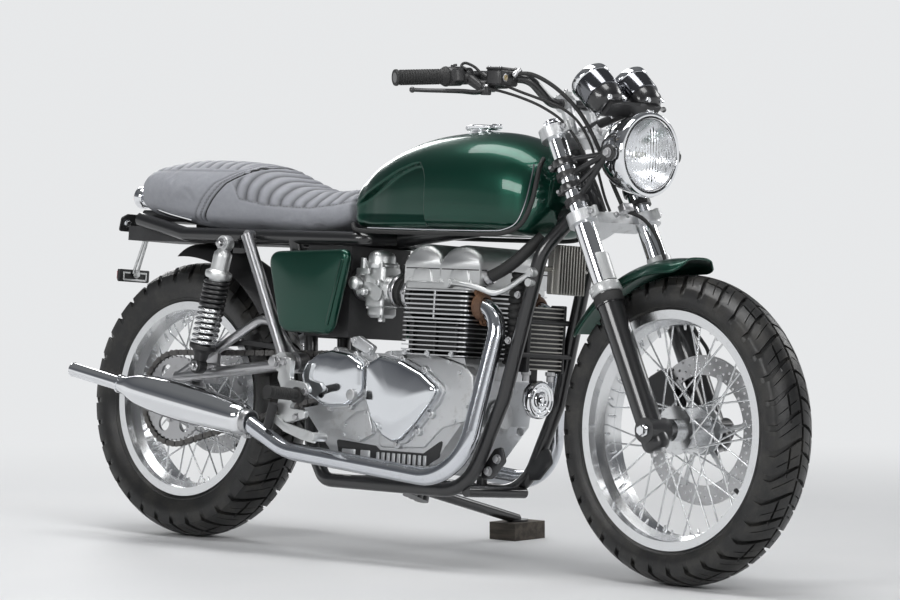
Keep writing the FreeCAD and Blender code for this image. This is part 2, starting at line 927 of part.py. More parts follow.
def make_disc(label, frame, radius, inner, lateral, hub_radius):
    """Drilled brake disc on a carrier with round windows, on the left of its hub."""
    body = new_body(label)
    sketch = new_sketch(body, "XZ_Plane", "rim")
    centre = (Size(0, "0"), Size(0, "0"))
    draw_circle(sketch, centre, radius)
    draw_circle(sketch, centre, hub_radius)
    pad_of(body, sketch, size.disc_thickness, "pad")
    for name, ring, hole, count in (
            ("holes", (radius + inner) / 2, size.disc_hole_radius, size.disc_hole_count),
            ("windows", (inner + hub_radius) / 2, size.carrier_window_radius, size.carrier_window_count)):
        cut = new_sketch(body, "XZ_Plane", name)
        draw_circle(cut, (ring, Size(0, "0")), hole)
        pocket = body.newObject("PartDesign::Pocket", f"{label}_{name}_pocket")
        pocket.Profile = cut
        pocket.Type = "ThroughAll"
        pocket.Reversed = True
        ringed(body, pocket, count, "Y_Axis")
    body.Placement = Placement(Vector(0, lateral, 0), Rotation())
    return keep(body, label, frame)


def make_sprocket():
    """Rear sprocket on the right: toothed ring with round windows."""
    body = new_body("rear_sprocket")
    sketch = new_sketch(body, "XZ_Plane", "blank")
    centre = (Size(0, "0"), Size(0, "0"))
    outer = size.sprocket_pitch_radius - size.chain_height / 2
    draw_circle(sketch, centre, outer)
    draw_circle(sketch, centre, size.rear_hub_radius + size.seating_gap)
    pad_of(body, sketch, size.sprocket_thickness, "pad")
    cut = new_sketch(body, "XZ_Plane", "windows")
    draw_circle(cut, ((outer + size.rear_hub_radius) / 2, Size(0, "0")), size.carrier_window_radius)
    pocket = body.newObject("PartDesign::Pocket", "rear_sprocket_window")
    pocket.Profile = cut
    pocket.Type = "ThroughAll"
    pocket.Reversed = True
    ringed(body, pocket, size.carrier_window_count + 1, "Y_Axis")
    gap = new_sketch(body, "XZ_Plane", "tooth_gap")
    draw_circle(gap, (outer, Size(0, "0")), size.tooth_gap_radius)
    notch = body.newObject("PartDesign::Pocket", "rear_sprocket_tooth_gap")
    notch.Profile = gap
    notch.Type = "ThroughAll"
    notch.Reversed = True
    ringed(body, notch, size.sprocket_teeth, "Y_Axis")
    body.Placement = Placement(Vector(0, -size.chain_place + size.sprocket_thickness / 2, 0), Rotation())
    return keep(body, "rear_sprocket", REAR)


def make_axle(label, frame, half_length):
    """Axle through a wheel, held at its ends."""
    item = doc.addObject("Part::Cylinder", label)
    bind(item, Radius=size.axle_radius, Height=half_length * 2)
    item.Placement = Placement(Vector(0, half_length, 0), Rotation(Vector(1, 0, 0), 90))
    return keep(item, label, frame)


def make_wheels():
    """Both wheels with what turns on them."""
    make_tyre("front_tyre", FRONT, size.front_tyre_radius, size.front_tyre_half_width,
              size.front_tyre_widest_radius, size.front_tread_half_width, size.front_crown_radius,
              size.front_flange_radius, size.front_bead_radius, size.front_rim_half_width)
    make_tyre("rear_tyre", REAR, size.rear_tyre_radius, size.rear_tyre_half_width,
              size.rear_tyre_widest_radius, size.rear_tread_half_width, size.rear_crown_radius,
              size.rear_flange_radius, size.rear_bead_radius, size.rear_rim_half_width)
    make_rim("front_rim", FRONT, size.front_flange_radius, size.front_bead_radius,
             size.front_rim_half_width)
    make_rim("rear_rim", REAR, size.rear_flange_radius, size.rear_bead_radius,
             size.rear_rim_half_width)
    make_hub("front_hub", FRONT, size.front_hub_half_width, size.front_disc_place, size.front_hub_radius,
             size.front_flange_outer, size.front_bead_radius)
    make_hub("rear_hub", REAR, size.chain_place + size.sprocket_thickness / 2, size.rear_disc_place,
             size.rear_hub_radius, size.rear_flange_outer, size.rear_bead_radius)
    make_disc("front_disc", FRONT, size.front_disc_radius, size.front_disc_inner,
              size.front_disc_place, size.front_hub_radius + size.seating_gap)
    make_disc("rear_disc", REAR, size.rear_disc_radius, size.rear_disc_inner,
              size.rear_disc_place, size.rear_hub_radius + size.seating_gap)
    make_sprocket()
    make_axle("front_axle", FRONT, size.fork_spread + size.slider_radius + size.front_axle_overhang)
    make_axle("rear_axle", REAR, size.arm_spread + size.arm_tube_radius + size.front_axle_overhang)


# Fork and steering, drawn in the fork's frame: X ahead, Y left, Z up the legs


def leg_axis(side, along):
    """A place on the axis of a fork leg."""
    return Vector(size.fork_ahead, side * size.fork_spread, along)


def make_fork():
    """Stanchions, sliders, yokes and stem."""
    sliders, tubes = [], []
    axle = Vector(axle_ahead, 0, 0)
    for side in (-1, 1):
        top = leg_axis(side, size.slider_top)
        leg = rod(leg_axis(side, size.slider_foot), top, size.slider_radius)
        collar = rod(leg_axis(side, size.slider_top - size.collar_height), top, size.collar_radius)
        hole = rod(axle + Vector(0, side * size.front_hub_half_width, 0),
                   axle + Vector(0, side * size.fork_spread * 2, 0), size.axle_radius + size.axle_clearance)
        bore = rod(leg_axis(side, size.slider_foot + size.slider_lug_radius * 2),
                   leg_axis(side, size.slider_top + size.cut_overrun), size.stanchion_radius + size.seating_gap)
        sliders.append(fused([leg, collar]).cut(hole).cut(bore))
        stanchion = rod(leg_axis(side, size.slider_foot + size.slider_lug_radius * 2 + size.seating_gap),
                        leg_axis(side, size.stanchion_top), size.stanchion_radius)
        sleeve = rod(leg_axis(side, size.slider_top + size.seating_gap),
                     leg_axis(side, size.sleeve_top - size.seating_gap), size.sleeve_radius)
        tubes.append(fused([stanchion, sleeve]))
    feature("fork_sliders", Part.makeCompound(sliders), FORK)
    feature("fork_tubes", Part.makeCompound(tubes), FORK)
    make_yokes()


def make_yokes():
    """Upper and lower yoke with bored bosses, joined by the steering stem."""
    parts, bores = [], []
    for level in (size.lower_yoke, size.upper_yoke):
        bottom = Vector(0, 0, level)
        rise = Vector(0, 0, size.yoke_thickness)
        for side in (-1, 1):
            boss = leg_axis(side, level)
            parts.append(rod(boss, boss + rise, size.yoke_boss_radius))
            bores.append(rod(boss - rise, boss + rise * 2, size.stanchion_radius + size.seating_gap))
        web = block(bottom + rise / 2 + Vector(size.fork_ahead - size.yoke_web_width / 4, 0, 0),
                    Vector(size.yoke_web_width, size.fork_spread * 2, size.yoke_thickness))
        parts.append(web)
        parts.append(rod(bottom, bottom + rise, size.head_tube_radius))
        parts.append(block(bottom + rise / 2 + Vector(size.fork_ahead / 2, 0, 0),
                           Vector(size.fork_ahead, size.head_tube_radius * 2, size.yoke_thickness)))
    stem = rod(Vector(0, 0, size.lower_yoke), Vector(0, 0, size.upper_yoke), size.steering_stem_radius)
    risers = []
    for side in (-1, 1):
        base = Vector(size.fork_ahead, side * size.bar_clamp_y, size.upper_yoke + size.yoke_thickness)
        clamp = Vector(size.bar_clamp_x, side * size.bar_clamp_y, size.bar_clamp_z)
        risers.append(rod(base - Vector(0, 0, size.yoke_thickness / 2), clamp, size.bar_clamp_width / 2))
        half_clamp = Vector(0, size.bar_clamp_width / 2, 0)
        risers.append(rod(clamp - half_clamp, clamp + half_clamp, size.riser_radius))
        bores.append(rod(clamp - Vector(0, size.fork_spread, 0), clamp + Vector(0, size.fork_spread, 0),
                         size.bar_radius + size.seating_gap))
    solid = fused(parts + [stem] + risers)
    for bore in bores:
        solid = solid.cut(bore)
    feature("fork_yokes", solid, FORK)


def bar_route():
    """The handlebar's corner points from right end to left end."""
    left = [place("bar_corner"), place("bar_rise"), place("bar_knee"), place("bar_end")]
    return [right(point) for point in reversed(left)] + left


def make_handlebar():
    """Bar, grips and the controls clamped to it."""
    feature("handlebar", tube(bar_route(), size.bar_radius, size.bar_bend_radius), FORK)
    end, knee = place("bar_end"), place("bar_knee")
    inward = unit(knee - end)
    bore = size.bar_radius + size.seating_gap
    start = end + inward * size.seating_gap
    inner = start + inward * size.grip_length
    grip = fused([rod(start, inner, size.grip_radius),
                  rod(inner - inward * size.grip_flange_thickness, inner, size.grip_flange_radius)])
    grip = grip.cut(rod(end - inward * size.cut_overrun, inner + inward * size.cut_overrun, bore))
    feature("grips", both_sides(grip), FORK)
    feature("bar_controls", Part.makeCompound(bar_controls(inner, inward, bore)), FORK)


def bar_controls(grip_end, inward, bore):
    """Switch housing, lever perch and lever of each side, and the right side's fluid box."""
    switch_end = grip_end + inward * (size.seating_gap + size.switch_length)
    switch = rod(grip_end + inward * size.seating_gap, switch_end, size.switch_radius)
    perch_start = switch_end + inward * size.seating_gap
    perch_end = perch_start + inward * size.perch_width
    lever_root = (perch_start + perch_end) / 2 + Vector(size.perch_reach, 0, 0)
    ring = rod(perch_start, perch_end, size.switch_radius - size.lever_radius / 2)
    arm = rod((perch_start + perch_end) / 2, lever_root, size.perch_stem_radius)
    lever = tube([lever_root, place("lever_knee"), place("lever_tip")], size.lever_radius,
                 size.lever_bend_radius)
    hole = rod(grip_end, perch_end + inward * size.cut_overrun, bore)
    perch = fused([ring, arm, lever]).cut(hole)
    master = block(lever_root + Vector(-size.perch_reach / 4, 0, size.master_rise), place("master_size"))
    column = rod(lever_root - Vector(size.perch_reach / 4, 0, 0),
                 lever_root + Vector(-size.perch_reach / 4, 0, size.master_rise), size.perch_stem_radius)
    right_side = fused([perch, master, column]).cut(hole)
    return [mirrored(right_side), mirrored(switch.cut(hole)), perch, switch.cut(hole)]


# Shares of radius and depth: the lamp bowl from its back, the lens's bulge and the gauge cup's waist.
BOWL_SHARES = [(0.00, 1.00), (0.55, 0.86), (0.88, 0.48)]
LENS_SHARE = (0.70, 0.55)
CUP_SHARE = 0.62


def make_headlamp():
    """Round lamp on ears from the fork tubes; it faces straight ahead."""
    centre = place("lamp_centre")
    forward = Vector(math.cos(rake), 0, -math.sin(rake))
    bowl = [(size.lamp_radius * wide, -size.lamp_depth * deep) for wide, deep in BOWL_SHARES]
    bowl += [(size.lamp_radius, -size.lamp_rim), (size.lamp_radius, 0), (size.lens_radius, 0),
             (size.lens_radius, -size.lamp_rim), (0, -size.lamp_rim)]
    shell = turned_profile(bowl, centre, forward)
    feature("headlamp_shell", shell, FORK)
    lens_radius = size.lens_radius - size.seating_gap
    lens = turned_profile([(0, -size.lamp_rim + size.seating_gap), (lens_radius, -size.lamp_rim + size.seating_gap),
                           (lens_radius, 0), (lens_radius * LENS_SHARE[0], size.lens_bulge * LENS_SHARE[1]),
                           (0, size.lens_bulge)], centre, forward)
    feature("headlamp_lens", lens, FORK)
    ears = []
    for side in (-1, 1):
        joint = centre - forward * (size.lamp_rim * 2) + Vector(0, side * (size.lamp_radius + size.seating_gap), 0)
        outer = joint + Vector(0, side * size.lamp_ear_radius, 0)
        parts = [rod(joint, outer, size.lamp_ear_radius)]
        for level in (size.lamp_bracket_low, size.lamp_bracket_high):
            tube_place = leg_axis(side, level)
            parts.append(rod(tube_place - Vector(0, 0, size.lamp_ear_radius / 2),
                             tube_place + Vector(0, 0, size.lamp_ear_radius / 2),
                             size.stanchion_radius + size.lamp_ear_radius / 2))
            parts.append(rod(tube_place, outer, size.lamp_ear_radius / 2))
        ear = fused(parts)
        ear = ear.cut(rod(leg_axis(side, size.lower_yoke), leg_axis(side, size.upper_yoke),
                          size.stanchion_radius + size.seating_gap))
        ears.append(ear)
    feature("lamp_brackets", Part.makeCompound(ears), FORK)


def make_gauges():
    """Two cup-shaped gauges tilted to the rider on one bracket."""
    tilt = math.radians(size.gauge_tilt)
    axis = Vector(-math.sin(tilt), 0, math.cos(tilt))
    top = place("gauge_top")
    cup = turned_profile([(0, -size.gauge_depth), (size.gauge_base_radius, -size.gauge_depth),
                          (size.gauge_radius, -size.gauge_depth * CUP_SHARE), (size.gauge_radius, 0),
                          (size.gauge_radius - size.gauge_bezel, size.gauge_bezel / 2),
                          (0, size.gauge_bezel / 2)], top, axis)
    feature("gauges", Part.makeCompound([cup, mirrored(cup)]), FORK)
    base = top - axis * (size.gauge_depth + size.seating_gap)
    bar = block(Vector(base.x, 0, base.z - size.gauge_bracket_thickness),
                Vector(size.gauge_base_radius, top.y * 2 + size.gauge_base_radius,
                       size.gauge_bracket_thickness * 2))
    tilted = turned(Vector(0, 1, 0), -size.gauge_tilt, Vector(base.x, 0, base.z))
    bar = bar.transformGeometry(tilted.toMatrix())
    foot_top = Vector(base.x, 0, base.z)
    yoke_top = size.upper_yoke + size.yoke_thickness
    foot = rod(Vector(size.fork_ahead, 0, yoke_top), foot_top - axis * size.gauge_bracket_thickness,
               size.gauge_bracket_thickness * 2)
    room = block(Vector(size.fork_ahead, 0, yoke_top + size.seating_gap - size.yoke_thickness / 2),
                 Vector(size.fork_spread, size.fork_spread, size.yoke_thickness))
    feature("gauge_bracket", fused([bar, foot]).cut(room), FORK)


def arc_guard(centre, crown, edge, half_width, thickness, front_angle, rear_angle):
    """Curved guard about a wheel: an arched section swept round the axle."""
    def section(shrink):
        return [Vector(0, -half_width + shrink, edge), Vector(0, 0, crown - shrink),
                Vector(0, half_width - shrink, edge)]
    outer, inner = section(0), section(thickness)
    wire = Part.Wire([Part.Arc(*outer).toShape(), Part.makeLine(outer[2], inner[2]),
                      Part.Arc(*reversed(inner)).toShape(), Part.makeLine(inner[0], outer[0])])
    face = Part.Face(wire)
    face = face.transformGeometry(turned(Vector(0, 1, 0), front_angle, Vector(0, 0, 0)).toMatrix())
    guard = face.revolve(Vector(0, 0, 0), Vector(0, 1, 0), rear_angle - front_angle)
    guard.Placement = Placement(centre, Rotation())
    return guard


def make_front_guard():
    """Short front mudguard on four stays from the sliders."""
    guard = arc_guard(front_axle_place, size.guard_radius, size.guard_edge_radius, size.guard_half_width,
                      size.guard_thickness, size.guard_front_angle, size.guard_rear_angle)
    to_fork = fork_frame.inverse()
    guard = guard.transformGeometry(to_fork.multiply(guard.Placement).toMatrix()
                                    .multiply(guard.Placement.inverse().toMatrix()))
    tabs = []
    outer = size.fork_spread - size.collar_radius - size.seating_gap
    inner = size.guard_half_width - size.guard_thickness - size.seating_gap
    low = size.slider_top - size.guard_tab_drop
    for side in (-1, 1):
        middle_place = Vector(size.fork_ahead, side * (outer + inner) / 2, low + size.guard_tab_height / 2)
        tabs.append(block(middle_place, Vector(size.guard_tab_length, outer - inner, size.guard_tab_height)))
    feature("front_mudguard", fused([guard] + tabs), FORK)


def disc_room(centre, radius):
    """Room that a turning brake disc needs, given the middle of its left face."""
    start = centre - Vector(0, size.disc_thickness + size.running_gap, 0)
    return Part.makeCylinder(radius + size.running_gap, size.disc_thickness + size.running_gap * 2, start,
                             Vector(0, 1, 0))


def make_front_caliper():
    """Caliper over the front disc, on the left slider."""
    body = block(place("caliper_place") + Vector(axle_ahead, 0, 0), place("caliper_size"))
    slot = disc_room(Vector(axle_ahead, size.front_disc_place, 0), size.front_disc_radius)
    lug = rod(place("caliper_place") + Vector(axle_ahead, 0, 0),
              leg_axis(1, size.caliper_place_z) - Vector(size.slider_radius / 2, 0, 0),
              size.slider_lug_radius / 2)
    leg = rod(leg_axis(1, size.slider_foot), leg_axis(1, size.slider_top),
              size.slider_radius + size.seating_gap)
    feature("front_caliper", fused([body, lug]).cut(slot).cut(leg), FORK)


# Chassis, drawn in the upright machine's frame


def rail_height():
    """Height of the seat rails' axis, just under the seat."""
    return size.seat_bottom - size.seating_gap - size.frame_tube_radius


def cradle_tube(side, radius):
    """One side's downtube, cradle and seat post as a single bent tube."""
    places = [place(name) for name in ("downtube_shoulder", "downtube_knee", "cradle_front", "cradle_rear",
                                       "pivot_low", "pivot_high")]
    head_side = on_steering_axis(size.downtube_root) + Vector(0, size.head_tube_radius / 2, 0)
    post_top = Vector(size.seat_post_x, size.rail_spread, rail_height())
    route = [Vector(point.x, side * point.y, point.z) for point in [head_side] + places + [post_top]]
    bends = [size.cradle_bend_radius] * 3 + [size.rail_bend_radius] * 3
    return tube(route, radius, bends)


def seat_rail(side):
    """One side's seat rail, from the backbone's end to the tail."""
    height = rail_height()
    spread = side * size.rail_spread
    route = [place("backbone_rear"), Vector(size.rail_front_x, spread, height),
             Vector(size.rail_rear_x, spread, height), Vector(size.rail_tail_x, spread, size.rail_tail_z)]
    return tube(route, size.frame_tube_radius, size.rail_bend_radius / 2)


def across(point, half_length, radius):
    """Round bar from side to side through a place on the centre plane."""
    reach = Vector(0, half_length, 0)
    return rod(middle(point) - reach, middle(point) + reach, radius)


def stand_axis():
    """Direction of the side stand's pivot in the upright machine, leaning back and outward."""
    back, out = math.radians(size.stand_axis_back), math.radians(size.stand_axis_out)
    return unit(Vector(-math.tan(back), math.tan(out), 1))


def make_frame():
    """Steering head, backbone, duplex cradle, pivot bosses, seat rails and mounting lugs."""
    head_low = on_steering_axis(size.lower_yoke + size.yoke_thickness + size.head_bearing_gap)
    head_high = on_steering_axis(size.upper_yoke - size.head_bearing_gap)
    overrun = fork_up * size.cut_overrun
    stem_bore = rod(head_low - overrun, head_high + overrun, size.steering_stem_radius + size.head_bearing_gap)
    parts = [rod(head_low, head_high, size.head_tube_radius)]
    backbone_start = on_steering_axis(size.backbone_root)
    backbone = place("backbone_rear") - backbone_start
    parts.append(rod(backbone_start, place("backbone_rear"), size.backbone_radius))
    along = (size.tank_mount_x - backbone_start.x) / backbone.x
    parts.append(across(backbone_start + backbone * along, size.tunnel_half_width - size.seating_gap,
                        size.cross_tube_radius))
    for side in (-1, 1):
        parts.append(cradle_tube(side, size.frame_tube_radius))
        parts.append(seat_rail(side))
        parts += frame_lugs(side)
    for name in ("cradle_rear", "cradle_front", "pivot_high", "pivot_low"):
        parts.append(across(place(name), vars(size)[name + "_y"], size.cross_tube_radius))
    parts.append(across(Vector(size.seat_post_x, 0, rail_height()), size.rail_spread, size.cross_tube_radius))
    post_base = Vector(size.engine_post_x, 0, size.cradle_front_z)
    parts.append(across(post_base, size.cradle_front_y, size.cross_tube_radius))
    parts.append(across(place("arm_pivot"), size.hanger_place + size.hanger_thickness / 2, size.spindle_radius))
    feature("frame", fused(parts).cut(stem_bore))


def frame_lugs(side):
    """One side's pivot boss, engine post, shock stud and, on the left, the stand's fork."""
    pivot = place("arm_pivot")
    lateral = Vector(0, side, 0)
    lugs = [rod(pivot + lateral * size.pivot_boss_inner, pivot + lateral * size.pivot_boss_outer,
                size.pivot_boss_radius)]
    post = Vector(size.engine_post_x, side * size.engine_post_y, size.cradle_front_z)
    lugs.append(rod(post, Vector(post.x, post.y, size.case_bottom - size.seating_gap), size.cross_tube_radius))
    stud = middle(place("shock_top")) + lateral * size.rail_spread
    gusset = Vector(size.arm_axle_plate, size.plate_thickness, size.arm_axle_plate)
    lugs.append(block(stud, gusset))
    lugs.append(rod(stud, middle(stud) + lateral * (size.shock_top_y + size.shock_eye_width), size.stud_radius))
    if side > 0:
        axis = stand_axis()
        hinge = place("stand_pivot")
        inward = Vector(hinge.x, size.cradle_rear_y, size.cradle_rear_z) - hinge
        inward = inward - axis * inward.dot(axis)
        reach = size.stand_pivot_radius + size.seating_gap
        for end in (-1, 1):
            for share in (0, 0.5, 1):
                start = hinge + inward * share + axis * (end * reach)
                lugs.append(rod(start, start + axis * (end * size.plate_thickness), size.stand_pivot_radius))
        bolt = axis * (reach + size.plate_thickness)
        lugs.append(rod(hinge - bolt, hinge + bolt, size.stand_bolt_radius))
    return lugs


def stay_place():
    """Lateral place of the rear stays, just outside the swingarm's lugs."""
    return size.arm_spread + size.arm_lug_half + size.seating_gap + size.stay_boss_half


def make_stays():
    """Bare grey tubes from the seat rails to the swingarm's spindle."""
    lateral = -stay_place()
    top = Vector(size.stay_top_x, lateral, rail_height())
    foot = Vector(size.stay_foot_x, lateral, size.stay_foot_z)
    stay = tube([top, Vector(size.stay_bend_x, lateral, size.stay_bend_z), foot], size.stay_radius,
                size.cradle_bend_radius)
    lug = rod(top, Vector(top.x, -(size.rail_spread + size.frame_tube_radius + size.seating_gap), top.z),
              size.cross_tube_radius)
    pivot = place("arm_pivot")
    reach = Vector(0, size.stay_boss_half, 0)
    centre = Vector(pivot.x, lateral, pivot.z)
    boss = rod(centre - reach, centre + reach, size.stay_boss_radius)
    spindle = across(pivot, size.hanger_place, size.spindle_radius + size.seating_gap)
    feature("rear_stays", both_sides(fused([stay, lug, boss]).cut(spindle)))


# Outline of the swingarm's axle plate in shares of its size, about the axle.
AXLE_PLATE_SHARES = [(-1.15, -0.55), (1.15, -0.55), (1.75, 0.9), (1.6, 2.0), (0.25, 2.0), (-1.15, 0.65)]


def make_swingarm():
    """Tubular arm on the spindle, with upper bars, axle plates and shock studs."""
    parts = []
    pivot, crown_place = place("arm_pivot"), place("arm_crown")
    rear_place = rear_axle_place + place("arm_rear_offset")
    outline = [(rear_axle_place.x + size.arm_axle_plate * ahead, rear_axle_place.z + size.arm_axle_plate * rise)
               for ahead, rise in AXLE_PLATE_SHARES]
    for side in (-1, 1):
        lateral = Vector(0, side * size.arm_spread, 0)
        front, rear, crown = pivot + lateral, rear_place + lateral, crown_place + lateral
        half_lug = Vector(0, size.arm_lug_half, 0)
        parts.append(rod(front - half_lug, front + half_lug, size.arm_lug_radius))
        parts.append(rod(front, rear, size.arm_tube_radius))
        parts.append(tube([front, crown, rear], size.arm_upper_radius, size.rail_bend_radius))
        near = side * size.arm_spread - size.plate_thickness / 2
        parts.append(prism(outline, near, near + size.plate_thickness, size.cover_round / 2))
        stud = middle(place("shock_foot")) + lateral
        parts.append(block(stud, Vector(size.arm_axle_plate, size.plate_thickness, size.arm_axle_plate * 2)))
        end = middle(stud) + Vector(0, side * (size.shock_foot_y + size.shock_eye_width), 0)
        parts.append(rod(stud, end, size.stud_radius))
    parts.append(across(Vector(size.arm_brace_x, 0, size.arm_brace_z), size.arm_spread, size.cross_tube_radius))
    solid = fused(parts)
    solid = solid.cut(across(rear_axle_place, size.arm_spread * 2, size.axle_radius + size.seating_gap))
    feature("swingarm", solid.cut(across(pivot, size.arm_spread * 2, size.spindle_radius + size.seating_gap)))


WIRE_CORNERS = 8


def make_shocks():
    """Rear spring struts on their studs: eyes, body, cups and coils."""
    top, foot = right(place("shock_top")), right(place("shock_foot"))
    down = unit(foot - top)
    half_eye = Vector(0, size.shock_eye_width / 2, 0)
    bore = size.stud_radius + size.seating_gap
    low_cup = foot - down * size.shock_eye_radius * 2
    high_cup = top + down * size.shock_eye_radius * 2
    parts = [rod(end - half_eye, end + half_eye, size.shock_eye_radius) for end in (top, foot)]
    parts.append(rod(top + down * bore, foot - down * bore, size.shock_rod_radius))
    parts.append(rod(high_cup, low_cup, size.shock_body_radius))
    for cup in (low_cup, high_cup):
        parts.append(rod(cup - down * size.shock_wire_radius, cup, size.shock_spring_radius))
    strut = fused(parts)
    for end in (top, foot):
        strut = strut.cut(rod(end - half_eye * 2, end + half_eye * 2, bore))
    count = int(size.shock_coils)
    step = (low_cup - high_cup) / count
    ring_radius = size.shock_spring_radius - size.shock_wire_radius
    wire = [(ring_radius + size.shock_wire_radius * math.cos(angle), size.shock_wire_radius * math.sin(angle))
            for angle in (math.tau * corner / WIRE_CORNERS for corner in range(WIRE_CORNERS))]
    coils = [turned_profile(wire, high_cup + step * index, down) for index in range(1, count)]
    feature("shocks", both_sides(Part.makeCompound([strut] + coils)))


def chain_pitch_line():
    """Pins of the drive chain in order round both sprockets, with the way outward at each half link."""
    big, small = size.sprocket_pitch_radius, size.drive_sprocket_radius
    rear = Vector(0, 0, size.rear_tyre_radius)
    front = middle(place("drive_sprocket"))
    base = math.atan2(front.z - rear.z, front.x - rear.x)
    spread = math.acos((big - small) / rear.distanceToPoint(front))
    turn = math.tau - spread - spread
    straight = math.sqrt(rear.distanceToPoint(front) ** 2 - (big - small) ** 2)
    runs = [big * turn, straight, small * (spread + spread), straight]
    total = sum(runs)
    count = round(total / size.chain_pitch)
    places = []
    for index in range(count + count):
        far = total * index / (count + count)
        if far < runs[0]:
            angle, centre, radius, past = base + spread + far / big, rear, big, 0
        elif far < runs[0] + runs[1]:
            angle, centre, radius, past = base - spread, rear, big, far - runs[0]
        elif far < total - runs[3]:
            angle = base - spread + (far - runs[0] - runs[1]) / small
            centre, radius, past = front, small, 0
        else:
            angle, centre, radius, past = base + spread, front, small, far - total + runs[3]
        outward = Vector(math.cos(angle), 0, math.sin(angle))
        onward = Vector(-math.sin(angle), 0, math.cos(angle))
        places.append((centre + outward * radius + onward * past, outward))
    return places


def make_chain():
    """Drive chain as one fixed loop round both sprockets, its plates waisted between the pins."""
    half = size.chain_height / 2
    edges = []
    for reach in (half, size.seating_gap - half):
        inset = math.copysign(size.chain_waist_inset, reach)
        corners = [point + outward * (reach if index % 2 == 0 else reach - inset)
                   for index, (point, outward) in enumerate(chain_pitch_line())]
        edges.append(Part.Face(Part.makePolygon(corners + corners[:1])))
    chain = edges[0].cut(edges[1]).extrude(Vector(0, size.chain_width, 0))
    chain.translate(Vector(0, -size.chain_place - size.chain_width / 2, 0))
    feature("drive_chain", chain)


def make_engine():
    """Crankcase, covers, finned barrels, head and cam covers."""
    case = padded_body("crankcase", [
        (size.case_rear, size.case_top - size.cover_depth),
        (size.case_rear, (size.case_top + size.case_bottom) / 2 - size.cover_round),
        (size.case_rear + size.case_corner, size.case_bottom + size.cover_round),
        (size.case_front - size.case_corner, size.case_bottom),
        (size.case_front - size.cover_round, size.case_bottom + size.case_corner),
        (size.case_front, size.case_top - size.cover_depth),
        (size.case_front - size.cover_round, size.case_top),
        (size.case_rear + size.cover_depth, size.case_top),
    ], size.case_half_width * 2 - size.case_bay_depth)
    outline = new_sketch(case, "XZ_Plane", "bay_outline")
    draw_outline(outline, [
        (size.case_rear, (size.case_top + size.case_bottom) / 2 - size.cover_round),
        (size.case_rear + size.case_corner, size.case_bottom + size.cover_round),
        (size.case_front - size.case_corner, size.case_bottom),
        (size.case_front - size.cover_round, size.case_bottom + size.case_corner),
        (size.case_front, size.case_top - size.cover_depth),
        (size.case_front - size.cover_round, size.case_top),
        (size.case_bay_front, size.case_top),
        (size.case_bay_front, size.case_bay_floor),
    ])
    pad_of(case, outline, size.case_half_width * 2, "bay_pad")
    case.Placement = Placement(Vector(0, size.case_half_width, 0), Rotation())
    keep(case, "crankcase")
    make_engine_covers()
    make_cylinders()


# Outlines of the clutch cover and the oval cover in shares of length and height.
CLUTCH_SHARES = [
    (0.000, 0.896), (0.182, 1.000), (0.476, 0.950), (0.762, 0.831), (1.000, 0.657), (0.926, 0.498),
    (0.710, 0.219), (0.528, 0.030), (0.407, 0.000), (0.277, 0.060), (0.113, 0.239), (0.009, 0.468),
]
OVAL_SHARES = [
    (0.000, 0.537), (0.078, 0.743), (0.257, 0.926), (0.485, 1.000), (0.786, 0.941), (0.990, 0.787),
    (1.000, 0.301), (0.748, 0.044), (0.408, 0.000), (0.117, 0.199),
]


def domed_cover(corners, depth, corner_radius):
    """Cover on the right of the crankcase with a rounded rim."""
    near = -size.case_half_width - size.seating_gap
    cover = prism(corners, near, near - depth, corner_radius)
    rim = [edge for edge in cover.Edges
           if all(abs(corner.Point.y - near + depth) < size.seating_gap for corner in edge.Vertexes)]
    return cover.makeFillet(size.cover_round, rim)


def make_engine_covers():
    """Rounded triangular clutch cover, oval gearbox cover and round left cover."""
    outline = outline_of("clutch", CLUTCH_SHARES)
    feature("clutch_cover", domed_cover(outline, size.cover_depth, size.clutch_round))
    feature("sprocket_cover", domed_cover(outline_of("oval", OVAL_SHARES), size.oval_depth, size.oval_round))
    near = -size.case_half_width - size.seating_gap
    centre = place("alternator_centre")
    start = Vector(centre.x, -near, centre.z)
    cover = rod(start, start + Vector(0, size.cover_depth, 0), size.alternator_radius)
    feature("alternator_cover", cover.makeFillet(size.cover_round, [
        edge for edge in cover.Edges if edge.CenterOfMass.y > start.y + size.cover_depth / 2
        and len(edge.Vertexes) == 1]))


def finned(low, high, core_inset, extent_low, extent_high, half_width):
    """Stack of thin fins with rounded corners round a core."""
    width = extent_high - extent_low
    middle_x = (extent_low + extent_high) / 2
    core = block(Vector(middle_x, 0, (low + high) / 2),
                 Vector(width - core_inset * 2, half_width * 2 - core_inset * 2, high - low))
    count = int((high - low - size.fin_thickness) / size.fin_pitch) + 1
    fins = [rounded_plate(Vector(middle_x, 0, low + size.fin_thickness / 2 + index * size.fin_pitch),
                          Vector(width, half_width * 2, size.fin_thickness), size.fin_corner)
            for index in range(count)]
    return fused([core] + fins)


